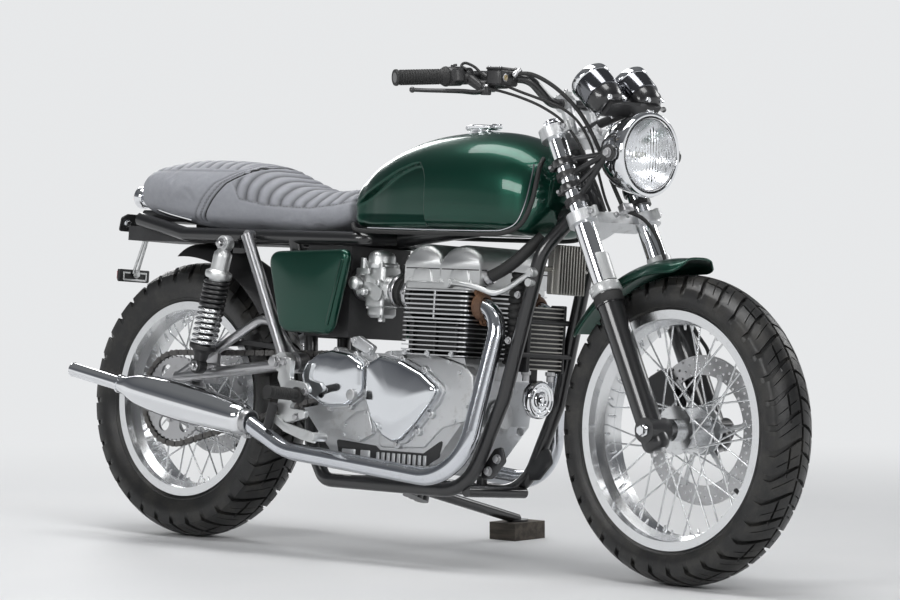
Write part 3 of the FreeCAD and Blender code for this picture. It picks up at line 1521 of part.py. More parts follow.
def make_cylinders():
    """Barrels, head with its ports and the cam covers."""
    feature("cylinder_block", finned(size.case_top + size.seating_gap, size.head_bottom - size.seating_gap,
                                     size.barrel_core_inset, size.barrel_rear, size.barrel_front,
                                     size.barrel_half_width))
    lower = finned(size.head_bottom, size.head_fin_top, size.barrel_core_inset, size.barrel_rear,
                   size.barrel_front, size.barrel_half_width)
    centre_x = (size.barrel_rear + size.barrel_front) / 2
    upper = block(Vector(centre_x, 0, (size.head_fin_top + size.head_top) / 2),
                  Vector(size.cam_spacing + size.cam_deck_margin * 2, size.head_half_width * 2,
                         size.head_top - size.head_fin_top))
    parts = [lower, upper]
    for side in (-1, 1):
        port = Vector(size.barrel_front - size.barrel_core_inset * 2, side * size.port_spread, size.port_height)
        parts.append(rod(port, port + Vector(size.port_length, 0, 0), size.port_radius))
        inlet = Vector(size.barrel_rear + size.barrel_core_inset * 2, side * size.carb_spread, size.carb_height)
        parts.append(rod(inlet, inlet - Vector(size.inlet_length, 0, 0), size.port_radius))
    feature("cylinder_head", fused(parts))
    domes = []
    for shift in (-1, 1):
        start = Vector(centre_x + shift * size.cam_spacing / 2, -size.cam_half_width,
                       size.head_top + size.seating_gap)
        dome = rod(start, start + Vector(0, size.cam_half_width * 2, 0), size.cam_radius)
        dome = dome.makeFillet(size.cam_round, [edge for edge in dome.Edges if len(edge.Vertexes) == 1])
        domes.append(dome)
    cover = domes[0].fuse(domes[1])
    cover = cover.cut(block(Vector(centre_x, 0, size.head_top + size.seating_gap - size.cam_radius),
                            Vector(size.cam_spacing * 4, size.cam_half_width * 4, size.cam_radius * 2)))
    feature("cam_cover", cover)


def make_carburettors():
    """Pair of carburettors with caps, bowls and rubbers, and the closed air box behind."""
    rubber_front = size.barrel_rear + size.barrel_core_inset * 2 - size.inlet_length - size.seating_gap
    carb = []
    start = Vector(size.carb_rear, -size.carb_spread, size.carb_height)
    body_front = start + Vector(size.carb_bowl_x + size.carb_cap_radius, 0, 0)
    carb.append(rod(start, body_front, size.carb_body_radius))
    carb.append(rod(body_front, Vector(rubber_front, start.y, start.z), size.rubber_radius))
    rubber_rear = Vector(size.air_box_front + size.seating_gap, start.y, start.z)
    carb.append(rod(rubber_rear, start, size.rubber_radius))
    centre = start + Vector(size.carb_bowl_x / 2 + size.carb_cap_radius / 2, 0, 0)
    cap_top = centre + Vector(0, 0, size.carb_body_radius + size.carb_cap_height)
    carb.append(rod(centre, cap_top, size.carb_cap_radius))
    bowl = centre - Vector(0, 0, size.carb_body_radius / 2 + size.carb_bowl_z / 2)
    carb.append(block(bowl, place("carb_bowl")))
    feature("carburettors", both_sides(fused(carb)))
    box = doc.addObject("Part::Box", "air_box")
    top = size.seat_bottom - size.seating_gap * 2 - size.frame_tube_radius * 2
    bind(box, Length=size.air_box_front - size.air_box_rear, Width=size.air_box_half_width * 2,
         Height=top - size.air_box_bottom)
    box.Placement = Placement(Vector(size.air_box_rear, -size.air_box_half_width, size.air_box_bottom),
                              Rotation())
    keep(box, "air_box")


def header_tube(radius, further=0):
    """One right-hand header pipe from its port to the end inside the silencer."""
    port = Vector(size.barrel_front - size.barrel_core_inset * 2 + size.port_length + size.seating_gap,
                  -size.port_spread, size.port_height)
    shoulder = Vector(size.header_shoulder_x, port.y, port.z)
    route = [port, shoulder] + [right(place(name)) for name in ("header_heel", "header_rise", "header_end")]
    along = unit(right(place("silencer_rear")) - route[-1])
    route.append(route[-1] + along * (size.header_tuck + further))
    return tube(route, radius, [size.header_bend_radius, size.header_heel_radius, size.header_rise_radius,
                                size.header_end_radius])


# Silencer's outline in shares of its length and of its greatest radius.
SILENCER_SHARES = [(0.10, 0.88), (0.26, 1.0), (0.55, 0.95)]


def make_exhaust():
    """Header pipes from the ports, and tapered silencers with tail pipes."""
    feature("exhaust_headers", both_sides(header_tube(size.header_radius)))
    front, rear, end = (right(place(name)) for name in ("header_end", "silencer_rear", "tail_pipe_end"))
    along = unit(rear - front)
    length = front.distanceToPoint(rear)
    profile = [(0, size.silencer_start), (size.silencer_collar, size.silencer_start),
               (size.silencer_collar, size.header_tuck)]
    profile += [(size.silencer_radius * wide, length * far) for far, wide in SILENCER_SHARES]
    profile += [(size.silencer_rear_radius, length), (0, length)]
    silencer = turned_profile(profile, front, along)
    pipe = rod(rear - along * size.tail_pipe_radius, end, size.tail_pipe_radius)
    tip = end - unit(end - rear) * size.silencer_radius
    bore = rod(tip, end + (end - rear), size.tail_pipe_radius - size.header_bore_wall)
    silencer = silencer.fuse(pipe).cut(bore)
    feature("silencers", both_sides(silencer.cut(header_tube(size.header_radius + size.seating_gap,
                                                             size.seating_gap))))


# Shares of the tank's length, half width, bottom rise and top, from rear to front.
TANK_SHARES = [
    (0.000, 0.30, 0.16, 0.30), (0.030, 0.58, 0.06, 0.46), (0.100, 0.76, 0.02, 0.64), (0.220, 0.90, 0.00, 0.81),
    (0.350, 0.96, 0.00, 0.92), (0.500, 1.00, 0.00, 0.98), (0.650, 1.00, 0.00, 1.00), (0.780, 0.95, 0.00, 0.97),
    (0.880, 0.86, 0.00, 0.89), (0.950, 0.72, 0.03, 0.78), (1.000, 0.42, 0.25, 0.66),
]
# Shares of the seat's length, half width, bottom rise and top, from rear to front.
SEAT_SHARES = [
    (0.000, 0.40, 0.48, 0.66), (0.020, 0.66, 0.40, 0.80), (0.060, 0.84, 0.34, 0.93), (0.140, 0.96, 0.22, 0.98),
    (0.240, 1.00, 0.08, 1.00), (0.360, 1.00, 0.02, 1.00), (0.480, 0.98, 0.00, 0.97), (0.600, 0.94, 0.00, 0.90),
    (0.720, 0.88, 0.00, 0.72), (0.810, 0.82, 0.01, 0.57), (0.900, 0.78, 0.05, 0.55), (0.965, 0.72, 0.10, 0.60),
    (1.000, 0.62, 0.16, 0.62),
]


# How full the sections of tank and seat are, above and below their middles.
TANK_FULLNESS = (2.3, 4.5)
SEAT_FULLNESS = (2.6, 4.0)


def shared_stations(shares, rear, front, half_width, low, high):
    """Sections from a table of shares of four sizes."""
    return [(rear + (front - rear) * along, half_width * wide, low + (high - low) * bottom,
             low + (high - low) * top) for along, wide, bottom, top in shares]


def make_tank():
    """Fuel tank with a tunnel over the backbone, and its cap."""
    tank = skinned(shared_stations(TANK_SHARES, size.tank_rear, size.tank_front, size.tank_half_width,
                                   size.tank_bottom, size.tank_top), TANK_FULLNESS)
    length = size.tank_front - size.tank_rear
    tunnel = block(Vector(size.tank_rear + length / 2, 0, size.tank_bottom),
                   Vector(length * 2, size.tunnel_half_width * 2, size.tunnel_height * 2))
    head = rod(on_steering_axis(size.lower_yoke), on_steering_axis(size.upper_yoke * 2),
               size.fork_spread - size.slider_radius)
    feature("fuel_tank", tank.cut(tunnel).cut(head))
    base = place("cap_place")
    cap = rod(base, base + Vector(0, 0, size.cap_height), size.cap_radius)
    feature("fuel_cap", cap.cut(tank))


def tail_tray(grow):
    """Closed tray between the seat rails, larger all round by a gap where it is a cutting tool."""
    centre = Vector((size.tray_rear + size.tray_front) / 2, 0,
                    size.seat_bottom - size.tray_thickness / 2 - size.seating_gap)
    half_width = size.rail_spread - size.frame_tube_radius - size.seating_gap
    return block(centre, Vector(size.tray_front - size.tray_rear + grow * 2, (half_width + grow) * 2,
                                size.tray_thickness + grow * 2))


def make_seat():
    """Plain closed form of the padded seat, and the black tail tray under it."""
    front = size.tank_rear - size.seating_gap
    feature("seat", skinned(shared_stations(SEAT_SHARES, size.seat_rear, front, size.seat_half_width,
                                            size.seat_bottom, size.seat_top), SEAT_FULLNESS))
    feature("under_tray", tail_tray(0))
    crown = size.seat_bottom - size.tray_thickness - size.seating_gap * 2 - size.rear_tyre_radius
    guard = arc_guard(rear_axle_place, crown, crown - size.tray_thickness,
                      size.rear_guard_half_width, size.guard_thickness, size.rear_guard_front_angle,
                      size.rear_guard_rear_angle)
    feature("rear_mudguard", guard)


def make_tail():
    """Tail lamp, blank plate and reflector on their links."""
    lamp_place = place("tail_lamp_place")
    lamp = rod(lamp_place, lamp_place + Vector(-size.tail_lamp_depth, 0, 0), size.tail_lamp_radius)
    neck_start = place("tail_lamp_neck")
    neck_start.x = size.seat_rear - size.seating_gap
    neck = rod(neck_start, Vector(lamp_place.x - size.tail_lamp_depth / 2, 0, neck_start.z),
               size.tail_lamp_neck_radius)
    feature("tail_lamp", fused([lamp, neck]))
    centre = place("plate_place")
    plate = block(centre, Vector(size.plate_sheet, size.plate_width, size.plate_height))
    tilt = turned(Vector(0, 1, 0), size.plate_tilt, centre)
    plate = plate.transformGeometry(tilt.toMatrix())
    reflector_centre = place("reflector_place")
    reflector = block(reflector_centre, place("reflector_size"))
    link = rod(centre, reflector_centre, size.link_radius)
    arm_end = Vector(size.tray_rear + size.cut_overrun, 0, size.seat_bottom - size.tray_thickness / 2)
    arm = rod(arm_end, centre, size.plate_arm_radius)
    feature("plate_bracket", fused([plate, reflector, link, arm]).cut(tail_tray(size.seating_gap)))


# Outline of a side cover in shares of its length and height.
SIDE_COVER_SHARES = [
    (0.000, 0.939), (1.000, 1.000), (0.814, 0.000), (0.202, 0.010),
]


def make_side_covers():
    """Trapezoid covers under the seat nose."""
    near = -size.side_cover_place
    cover = prism(outline_of("side_cover", SIDE_COVER_SHARES), near, near - size.side_cover_depth,
                  size.side_cover_round * 2)
    pegs = []
    for step in (0, 1):
        peg = place("side_cover_peg") + Vector(size.side_cover_peg_step, 0, size.side_cover_peg_rise) * step
        start = Vector(peg.x, -(size.air_box_half_width + size.seating_gap), peg.z)
        pegs.append(rod(start, Vector(peg.x, near - size.side_cover_depth / 2, peg.z), size.bracket_radius))
    feature("side_covers", both_sides(fused([cover] + pegs)))


def peg_end():
    """Outer end of the left peg, which rises a little outward."""
    rise = math.radians(size.peg_rise)
    return place("peg_place") + Vector(0, math.cos(rise), math.sin(rise)) * size.peg_length


# Outlines of the hanger and of the pedal's arm in shares of length and height.
HANGER_SHARES = [
    (0.067, 1.000), (0.390, 0.980), (0.371, 0.658), (0.867, 0.617), (1.000, 0.497), (0.619, 0.383),
    (0.371, 0.215), (0.886, 0.195), (0.905, 0.087), (0.333, 0.000), (0.105, 0.081), (0.048, 0.282),
    (0.124, 0.537), (0.000, 0.671),
]
PEDAL_SHARES = [
    (0.000, 1.000), (0.077, 0.967), (0.211, 0.733), (0.845, 0.433), (1.000, 0.167), (0.958, 0.000),
    (0.655, 0.117), (0.275, 0.367), (0.035, 0.667),
]


def make_footrests():
    """Alloy hangers with pegs and pedals."""
    near = -size.hanger_place
    hanger = prism(outline_of("hanger", HANGER_SHARES), near, near - size.hanger_thickness, size.cut_overrun)
    face = near - size.hanger_thickness
    arm = prism(outline_of("pedal", PEDAL_SHARES), face + size.cut_overrun, face - size.pedal_thickness)
    pin = rod(Vector(size.pedal_root_x, near - size.cut_overrun, size.pedal_root_z),
              Vector(size.pedal_root_x, face - size.pedal_thickness - size.cut_overrun, size.pedal_root_z),
              size.peg_radius)
    pivot = place("arm_pivot")
    boss_end = -(stay_place() + size.stay_boss_half + size.seating_gap)
    boss = rod(Vector(pivot.x, boss_end, pivot.z), Vector(pivot.x, near - size.hanger_thickness, pivot.z),
               size.stay_boss_radius)
    outward = unit(peg_end() - place("peg_place"))
    root_place = place("peg_place") - outward * size.hanger_thickness / 2
    peg = rod(right(root_place), right(peg_end()), size.peg_radius)
    flange = rod(right(root_place), right(place("peg_place") + outward * size.peg_flange), size.peg_flange_radius)
    pedal = tube([Vector(size.pedal_root_x, near - size.hanger_thickness / 2, size.pedal_root_z),
                  right(place("pedal_end")), right(place("pedal_end")) - Vector(0, size.peg_length / 2, 0)],
                 size.peg_radius / 2, size.peg_radius)
    spindle = across(pivot, size.hanger_place + size.hanger_thickness / 2 + size.seating_gap,
                     size.spindle_radius + size.seating_gap)
    feature("footrests", both_sides(fused([hanger, arm, pin, boss, peg, flange, pedal]).cut(spindle)))


def row_of_plates(start, step, extent, count):
    """Equal plates in a row, the middle of the first at a place."""
    return [block(start + step * index, extent) for index in range(int(count))]


def finned_cooler(centre, extent):
    """Oil cooler: core between two end tanks, with level ribs through it."""
    tank = Vector(extent.x, size.cooler_tank_width, extent.z)
    shift = Vector(0, (extent.y - size.cooler_tank_width) / 2, 0)
    core = block(centre, extent - Vector(size.cooler_fin_depth * 2, 0, size.cooler_fin_depth * 2))
    rib = Vector(extent.x, extent.y, size.fin_thickness)
    step = Vector(0, 0, (extent.z - size.cooler_fin_depth * 2) / (size.cooler_fins - 1))
    low = centre - step * ((size.cooler_fins - 1) / 2)
    return [core, block(centre - shift, tank), block(centre + shift, tank)] + row_of_plates(low, step, rib,
                                                                                          size.cooler_fins)


def finned_regulator(centre, extent):
    """Regulator: plate with upright ribs on its front."""
    plate = Vector(extent.x - size.regulator_fin, extent.y, extent.z)
    rib = Vector(extent.x, size.fin_thickness, extent.z)
    step = Vector(0, (extent.y - size.fin_thickness) / (size.regulator_fins - 1), 0)
    low = centre - step * ((size.regulator_fins - 1) / 2)
    parts = [block(centre - Vector(size.regulator_fin / 2, 0, 0), plate)]
    return parts + row_of_plates(low, step, rib, size.regulator_fins)


def make_fittings():
    """Oil cooler, horn, regulator and rear caliper."""
    tubes = Part.makeCompound([cradle_tube(side, size.frame_tube_radius + size.seating_gap) for side in (-1, 1)])
    centre, extent = place("cooler_place"), place("cooler_size")
    bars = []
    for side in (-1, 1):
        level = centre + Vector(size.bracket_radius, 0, side * extent.z / 4)
        bars.append(across(level, size.downtube_shoulder_y, size.bracket_radius))
    feature("oil_cooler", fused(finned_cooler(centre, extent) + bars).cut(tubes))
    horn_centre = place("horn_place")
    horn = rod(horn_centre, horn_centre + Vector(size.horn_depth, 0, 0), size.horn_radius)
    hook = Vector(horn_centre.x + size.horn_depth / 2, 0, horn_centre.z)
    strap = rod(hook, Vector(hook.x, 0, centre.z - extent.z / 2 - size.seating_gap), size.bracket_radius)
    feature("horn", fused([horn, strap]))
    centre = place("regulator_place")
    bar = across(centre - Vector(size.bracket_radius, 0, 0), size.downtube_shoulder_y, size.bracket_radius)
    feature("regulator", fused(finned_regulator(centre, place("regulator_size")) + [bar]).cut(tubes))
    centre = rear_axle_place + place("rear_caliper_offset")
    caliper = block(centre, place("rear_caliper_size"))
    mount = Vector(-size.rear_caliper_mount_back, size.arm_spread - size.plate_thickness / 2 - size.seating_gap,
                   size.rear_tyre_radius)
    lug = rod(mount - Vector(0, size.plate_thickness, 0), mount, size.arm_tube_radius)
    arm = rod(centre, mount - Vector(0, size.plate_thickness, 0), size.arm_tube_radius / 2)
    slot = disc_room(rear_axle_place + Vector(0, size.rear_disc_place, 0), size.rear_disc_radius)
    feature("rear_caliper", fused([caliper, lug, arm]).cut(slot))


# Side stand


def stand_points():
    """Pivot of the stand and the middle of its foot, in the parked frame before the last move."""
    pivot = chassis_stance.multVec(place("stand_pivot"))
    foot_top = Vector(pivot.x - size.stand_foot_back, pivot.y + size.stand_foot_reach,
                      size.block_height + size.stand_foot_thickness)
    return pivot, foot_top


def make_stand():
    """Side stand down on its block; both are drawn as they stand on the floor."""
    pivot, foot = stand_points()
    leg = rod(pivot, foot, size.stand_radius)
    pad = Part.makeCylinder(size.stand_foot_radius, size.stand_foot_thickness,
                            foot - Vector(0, 0, size.stand_foot_thickness))
    reach = chassis_stance.Rotation.multVec(stand_axis()) * size.stand_pivot_radius
    boss = rod(pivot - reach, pivot + reach, size.stand_pivot_radius)
    below = block(foot - Vector(0, 0, size.stand_foot_thickness + size.stand_radius * 2),
                  Vector(size.stand_foot_radius * 4, size.stand_foot_radius * 4, size.stand_radius * 4))
    hole = rod(pivot - reach * 2, pivot + reach * 2, size.stand_bolt_radius + size.seating_gap)
    feature("side_stand", fused([leg, pad, boss]).cut(below).cut(hole), WORLD)
    item = doc.addObject("Part::Box", "stand_block")
    bind(item, Length=size.block_length, Width=size.block_width, Height=size.block_height)
    item.Placement = Placement(Vector(foot.x - size.block_length / 2, foot.y - size.block_width / 2, 0), Rotation())
    keep(item, "stand_block", WORLD)


def check_pieces():
    """Stop if any object failed or any sub-part has no sound shape."""
    for item in doc.Objects:
        for state in item.State:
            if state in ("Invalid", "Error"):
                raise RuntimeError(f"{item.Name} is {state}")
    unsound = [label for label, item in PIECES.items()
               if item.Shape.isNull() or not item.Shape.isValid() or not item.Shape.Solids]
    if unsound:
        raise RuntimeError(f"no sound solid: {unsound}")


def centre_on_floor():
    """Move the parked machine so that its origin is the centre of its floor area."""
    boxes = [item.Shape.optimalBoundingBox(False, False) for item in PIECES.values()]
    shift = Vector(-(min(box.XMin for box in boxes) + max(box.XMax for box in boxes)) / 2,
                   -(min(box.YMin for box in boxes) + max(box.YMax for box in boxes)) / 2, 0)
    move = Placement(shift, Rotation())
    for item in PIECES.values():
        item.Placement = move.multiply(item.Placement)
    doc.recompute()
    return shift


def report_layout(shift):
    """Print the places and directions that describe the joints and mounts."""
    def row(name, point, direction, stance):
        world = stance.multVec(point) + shift
        heading = unit(stance.Rotation.multVec(direction))
        print(name, [round(value / 1000, 6) for value in world], [round(value, 6) for value in heading])

    lateral = Vector(0, 1, 0)
    row("front_wheel", front_axle_place, lateral, steered_stance)
    row("rear_wheel", rear_axle_place, lateral, chassis_stance)
    row("steering", on_steering_axis(size.upper_yoke), fork_up, chassis_stance)
    row("stand", place("stand_pivot"), stand_axis(), chassis_stance)
    row("stand_foot", stand_points()[1], lateral, Placement())
    outward = unit(peg_end() - place("peg_place"))
    row("left_peg", peg_end(), outward, chassis_stance)
    row("right_peg", right(peg_end()), right(outward), chassis_stance)
    end, start = place("tail_pipe_end"), place("silencer_rear")
    row("left_outlet", end, end - start, chassis_stance)
    row("right_outlet", right(end), right(end - start), chassis_stance)


def main():
    """Build every sub-part, check it and write it out."""
    make_wheels()
    make_fork()
    make_handlebar()
    make_headlamp()
    make_gauges()
    make_front_guard()
    make_front_caliper()
    make_frame()
    make_stays()
    make_swingarm()
    make_shocks()
    make_chain()
    make_engine()
    make_carburettors()
    make_exhaust()
    make_tank()
    make_seat()
    make_tail()
    make_side_covers()
    make_footrests()
    make_fittings()
    make_stand()
    doc.recompute()
    check_pieces()
    shift = centre_on_floor()
    os.makedirs("parts", exist_ok=True)
    for label, item in PIECES.items():
        item.Shape.exportStep(f"parts/{label}.step")
    report_layout(shift)


main()
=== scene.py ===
"""Looks of a cafe racer motorcycle with an air-cooled parallel twin, parked on its side stand.

Every piece is modelled in the space of the body that carries it: millimetres, X ahead,
Y to the rider's left and Z up, as the upright machine has them. The spaces are worked out
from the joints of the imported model, so each piece lands on its place in the parked machine.
"""

import json
import logging
import math

from dataclasses import dataclass, field
from enum import Enum
from typing import Callable, Iterable, Sequence

import bmesh
import bpy
import numpy as np

from mathutils import Matrix, Vector


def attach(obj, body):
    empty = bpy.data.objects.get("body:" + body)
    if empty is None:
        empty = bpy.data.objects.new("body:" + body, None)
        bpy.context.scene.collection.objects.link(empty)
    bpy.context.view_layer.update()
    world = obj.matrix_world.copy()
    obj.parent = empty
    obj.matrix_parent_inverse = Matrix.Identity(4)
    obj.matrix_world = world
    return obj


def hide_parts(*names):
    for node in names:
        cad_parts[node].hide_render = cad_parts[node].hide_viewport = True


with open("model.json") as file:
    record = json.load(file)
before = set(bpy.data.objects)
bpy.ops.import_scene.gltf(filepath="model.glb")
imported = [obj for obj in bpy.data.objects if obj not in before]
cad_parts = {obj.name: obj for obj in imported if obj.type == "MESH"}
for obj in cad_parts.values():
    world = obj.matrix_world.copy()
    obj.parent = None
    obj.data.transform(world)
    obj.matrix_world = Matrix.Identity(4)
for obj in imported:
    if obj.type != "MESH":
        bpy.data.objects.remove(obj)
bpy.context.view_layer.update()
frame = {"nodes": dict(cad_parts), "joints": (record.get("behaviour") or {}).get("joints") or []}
LOG = logging.getLogger("motorcycle")
MILLIMETRE = 0.001
Colour = tuple[float, float, float]
Point = tuple[float, float, float]
Pair = tuple[float, float]


class Body(Enum):
    """Rigid bodies that carry pieces."""

    CHASSIS = "chassis"
    STEERING = "steering"
    FRONT_WHEEL = "front_wheel"
    REAR_WHEEL = "rear_wheel"


@dataclass(frozen=True)
class Space:
    """A body's own frame: millimetres, X ahead, Y left, Z up.

    Args:
        origin: The frame's origin in metres.
        ahead: Unit vector of local X.
        left: Unit vector of local Y.
        body: The body that carries it.
    """

    origin: Vector
    ahead: Vector
    left: Vector
    body: Body = Body.CHASSIS

    @property
    def up(self) -> Vector:
        """Unit vector of local Z."""
        return self.ahead.cross(self.left).normalized()

    @property
    def pose(self) -> Matrix:
        """Place and turn of the frame in metres, without the change of unit."""
        turn = Matrix((self.ahead, self.left, self.up)).transposed().to_4x4()
        return Matrix.Translation(self.origin) @ turn

    @property
    def matrix(self) -> Matrix:
        """Matrix that takes local millimetres to the machine's metres."""
        return self.pose @ Matrix.Diagonal((MILLIMETRE, MILLIMETRE, MILLIMETRE, 1))

    def at(self, point: Sequence[float]) -> Vector:
        """Place in metres of a local point."""
        return self.matrix @ Vector(point)


class Layout:
    """Spaces of all bodies, worked out from the joints."""

    rake = math.radians(27)
    rear_radius = 324.0

    def __init__(self, joints: Iterable[dict]) -> None:
        """Read the joints' places and axes.

        Args:
            joints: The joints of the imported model.
        """
        by_name = {joint["name"]: joint for joint in joints}
        rear_axle, rear_left = self._read(by_name["rear_wheel_spin"])
        steer_place, steer_up = self._read(by_name["steering_turn"])
        front_axle, front_left = self._read(by_name["front_wheel_spin"])
        across = rear_left.cross(steer_up)
        ahead = across * math.cos(self.rake) - steer_up * math.sin(self.rake)
        up = ahead.cross(rear_left)
        self.chassis = Space(rear_axle - up * self.rear_radius * MILLIMETRE, ahead, rear_left)
        self.rear = Space(rear_axle, ahead, rear_left, Body.REAR_WHEEL)
        fork_ahead = front_left.cross(steer_up)
        along = (front_axle - steer_place).dot(steer_up)
        self.fork = Space(steer_place + steer_up * along, fork_ahead, front_left, Body.STEERING)
        wheel_ahead = fork_ahead * math.cos(self.rake) - steer_up * math.sin(self.rake)
        self.front = Space(front_axle, wheel_ahead, front_left, Body.FRONT_WHEEL)
        self.ground = Space(Vector((rear_axle.x, rear_axle.y, 0)), Vector((1, 0, 0)), Vector((0, 1, 0)))

    @staticmethod
    def _read(joint: dict) -> tuple[Vector, Vector]:
        """Place and unit axis of a joint."""
        return (Vector(joint["pos_m"]), Vector(joint["axis"]).normalized())


LAYOUT = Layout(frame["joints"])
CHASSIS = LAYOUT.chassis
FORK = LAYOUT.fork
FRONT = LAYOUT.front
REAR = LAYOUT.rear


class Value:
    """A number that varies over a surface; arithmetic on it adds Math nodes."""

    def __init__(self, graph: "Graph", socket: bpy.types.NodeSocket) -> None:
        """Wrap a socket of a graph."""
        self.graph = graph
        self.socket = socket

    def _math(self, operation: str, first: "Value | float", second: "Value | float" = 0.0) -> "Value":
        """Result of one Math node."""
        return self.graph.value("ShaderNodeMath", "Value", {"operation": operation}, {0: first, 1: second})

    def __add__(self, other: "Value | float") -> "Value":
        """Sum of the two."""
        return self._math("ADD", self, other)

    __radd__ = __add__

    def __sub__(self, other: "Value | float") -> "Value":
        """This less the other."""
        return self._math("SUBTRACT", self, other)

    def __rsub__(self, other: "Value | float") -> "Value":
        """The other less this."""
        return self._math("SUBTRACT", other, self)

    def __mul__(self, other: "Value | float") -> "Value":
        """Product of the two."""
        return self._math("MULTIPLY", self, other)

    __rmul__ = __mul__

    def __pow__(self, other: float) -> "Value":
        """This to a power."""
        return self._math("POWER", self, other)

    def smaller(self, other: "Value | float") -> "Value":
        """The smaller of two."""
        return self._math("MINIMUM", self, other)

    def larger(self, other: "Value | float") -> "Value":
        """The larger of two."""
        return self._math("MAXIMUM", self, other)

    def ramp(self, low: float, high: float, start: float = 0.0, end: float = 1.0) -> "Value":
        """Smooth step from start to end as the value goes from low to high."""
        return self.graph.value("ShaderNodeMapRange", "Result", {"interpolation_type": "SMOOTHSTEP"}, {
            "Value": self, "From Min": low, "From Max": high, "To Min": start, "To Max": end})


class Graph:
    """Node tree of a material or of the world."""

    def __init__(self, owner: bpy.types.Material | bpy.types.World, output: str) -> None:
        """Empty the owner's tree and give it its output node.

        Args:
            owner: The material or the world.
            output: Type of the output node.
        """
        owner.use_nodes = True
        self.tree = owner.node_tree
        self.tree.nodes.clear()
        self.output = self.add(output, {}, {})
        self.place = self.add("ShaderNodeTexCoord", {}, {}).outputs["Object"]

    def end(self, shader: bpy.types.Node) -> None:
        """Show a shader."""
        self.fill(self.output.inputs["Surface"], shader.outputs[0])

    def fill(self, socket: bpy.types.NodeSocket, value: object) -> None:
        """Link a socket to a value or another socket, or set it; a colour gets its alpha.

        Args:
            socket: The socket to fill.
            value: A value, a socket or a plain setting.
        """
        if isinstance(value, Value):
            value = value.socket
        if isinstance(value, bpy.types.NodeSocket):
            self.tree.links.new(value, socket)
        elif isinstance(value, tuple) and len(value) == 3 and socket.type == "RGBA":
            socket.default_value = (*value, 1.0)
        else:
            socket.default_value = value

    def add(self, kind: str, settings: dict, inputs: dict) -> bpy.types.Node:
        """Add any node.

        Args:
            kind: The node's type.
            settings: Properties, set before the sockets; a list under "stops" fills a colour ramp.
            inputs: Values or links of its sockets, by name or number.

        Returns:
            The new node.
        """
        node = self.tree.nodes.new(kind)
        for name, value in settings.items():
            if name == "stops":
                self.fill_ramp(node.color_ramp, value)
            else:
                setattr(node, name, value)
        for name, value in inputs.items():
            self.fill(node.inputs[name], value)
        return node

    @staticmethod
    def fill_ramp(ramp: bpy.types.ColorRamp, stops: Sequence[tuple[float, Colour]]) -> None:
        """Give a colour ramp its stops.

        Args:
            ramp: The ramp.
            stops: Pairs of position and colour.
        """
        while len(ramp.elements) < len(stops):
            ramp.elements.new(0.5)
        for element, (position, colour) in zip(ramp.elements, stops):
            element.position = position
            element.color = (*colour, 1.0)

    def value(self, kind: str, output: str, settings: dict, inputs: dict) -> Value:
        """Number output of a new node."""
        return Value(self, self.add(kind, settings, inputs).outputs[output])

    def stretched(self, scale: Point) -> bpy.types.NodeSocket:
        """Object coordinates scaled by axis."""
        return self.add("ShaderNodeMapping", {}, {"Vector": self.place, "Scale": scale}).outputs["Vector"]

    def axis(self, name: str) -> Value:
        """One object coordinate, in metres."""
        return self.value("ShaderNodeSeparateXYZ", name, {}, {"Vector": self.place})

    def noise(self, scale: float, detail: float = 3.0, rough: float = 0.55,
              along: bpy.types.NodeSocket | None = None) -> Value:
        """Cloudy noise from 0 to 1."""
        return self.value("ShaderNodeTexNoise", "Fac", {}, {
            "Vector": along or self.place, "Scale": scale, "Detail": detail, "Roughness": rough})

    def cells(self, scale: float, feature: str = "DISTANCE_TO_EDGE") -> Value:
        """Distance within cells of a random mosaic."""
        return self.value("ShaderNodeTexVoronoi", "Distance", {"feature": feature},
                          {"Vector": self.place, "Scale": scale})

    def mixed(self, share: Value, first: Colour | bpy.types.NodeSocket,
              second: Colour | bpy.types.NodeSocket) -> bpy.types.NodeSocket:
        """Colour between two by a share."""
        return self.add("ShaderNodeMix", {"data_type": "RGBA"}, {0: share, 6: first, 7: second}).outputs[2]

    def blend(self, share: Value | bpy.types.NodeSocket, first: bpy.types.Node,
              second: bpy.types.Node) -> bpy.types.Node:
        """Shader between two by a share."""
        return self.add("ShaderNodeMixShader", {}, {0: share, 1: first.outputs[0], 2: second.outputs[0]})


class Surface(Graph):
    """Node tree of one material around its surface shader."""

    def __init__(self, name: str) -> None:
        """Start a material.

        Args:
            name: The material's name.
        """
        self.material = bpy.data.materials.new(name)
        super().__init__(self.material, "ShaderNodeOutputMaterial")
        self.shader = self.add("ShaderNodeBsdfPrincipled", {}, {})
        self.end(self.shader)

    def dress(self, **sockets: object) -> None:
        """Set or link sockets of the shader; underscores stand for spaces."""
        for name, value in sockets.items():
            self.fill(self.shader.inputs[name.replace("_", " ")], value)

    def relief(self, height: Value, depth: float) -> None:
        """Bump the surface by a height of a depth in metres."""
        bump = self.add("ShaderNodeBump", {}, {"Height": height, "Distance": depth, "Strength": 1.0})
        self.dress(Normal=bump.outputs["Normal"])


def shade(colour: Colour, factor: float, lift: float = 0.0) -> Colour:
    """A colour made darker or lighter."""
    return tuple(min(1.0, part * factor + lift) for part in colour)


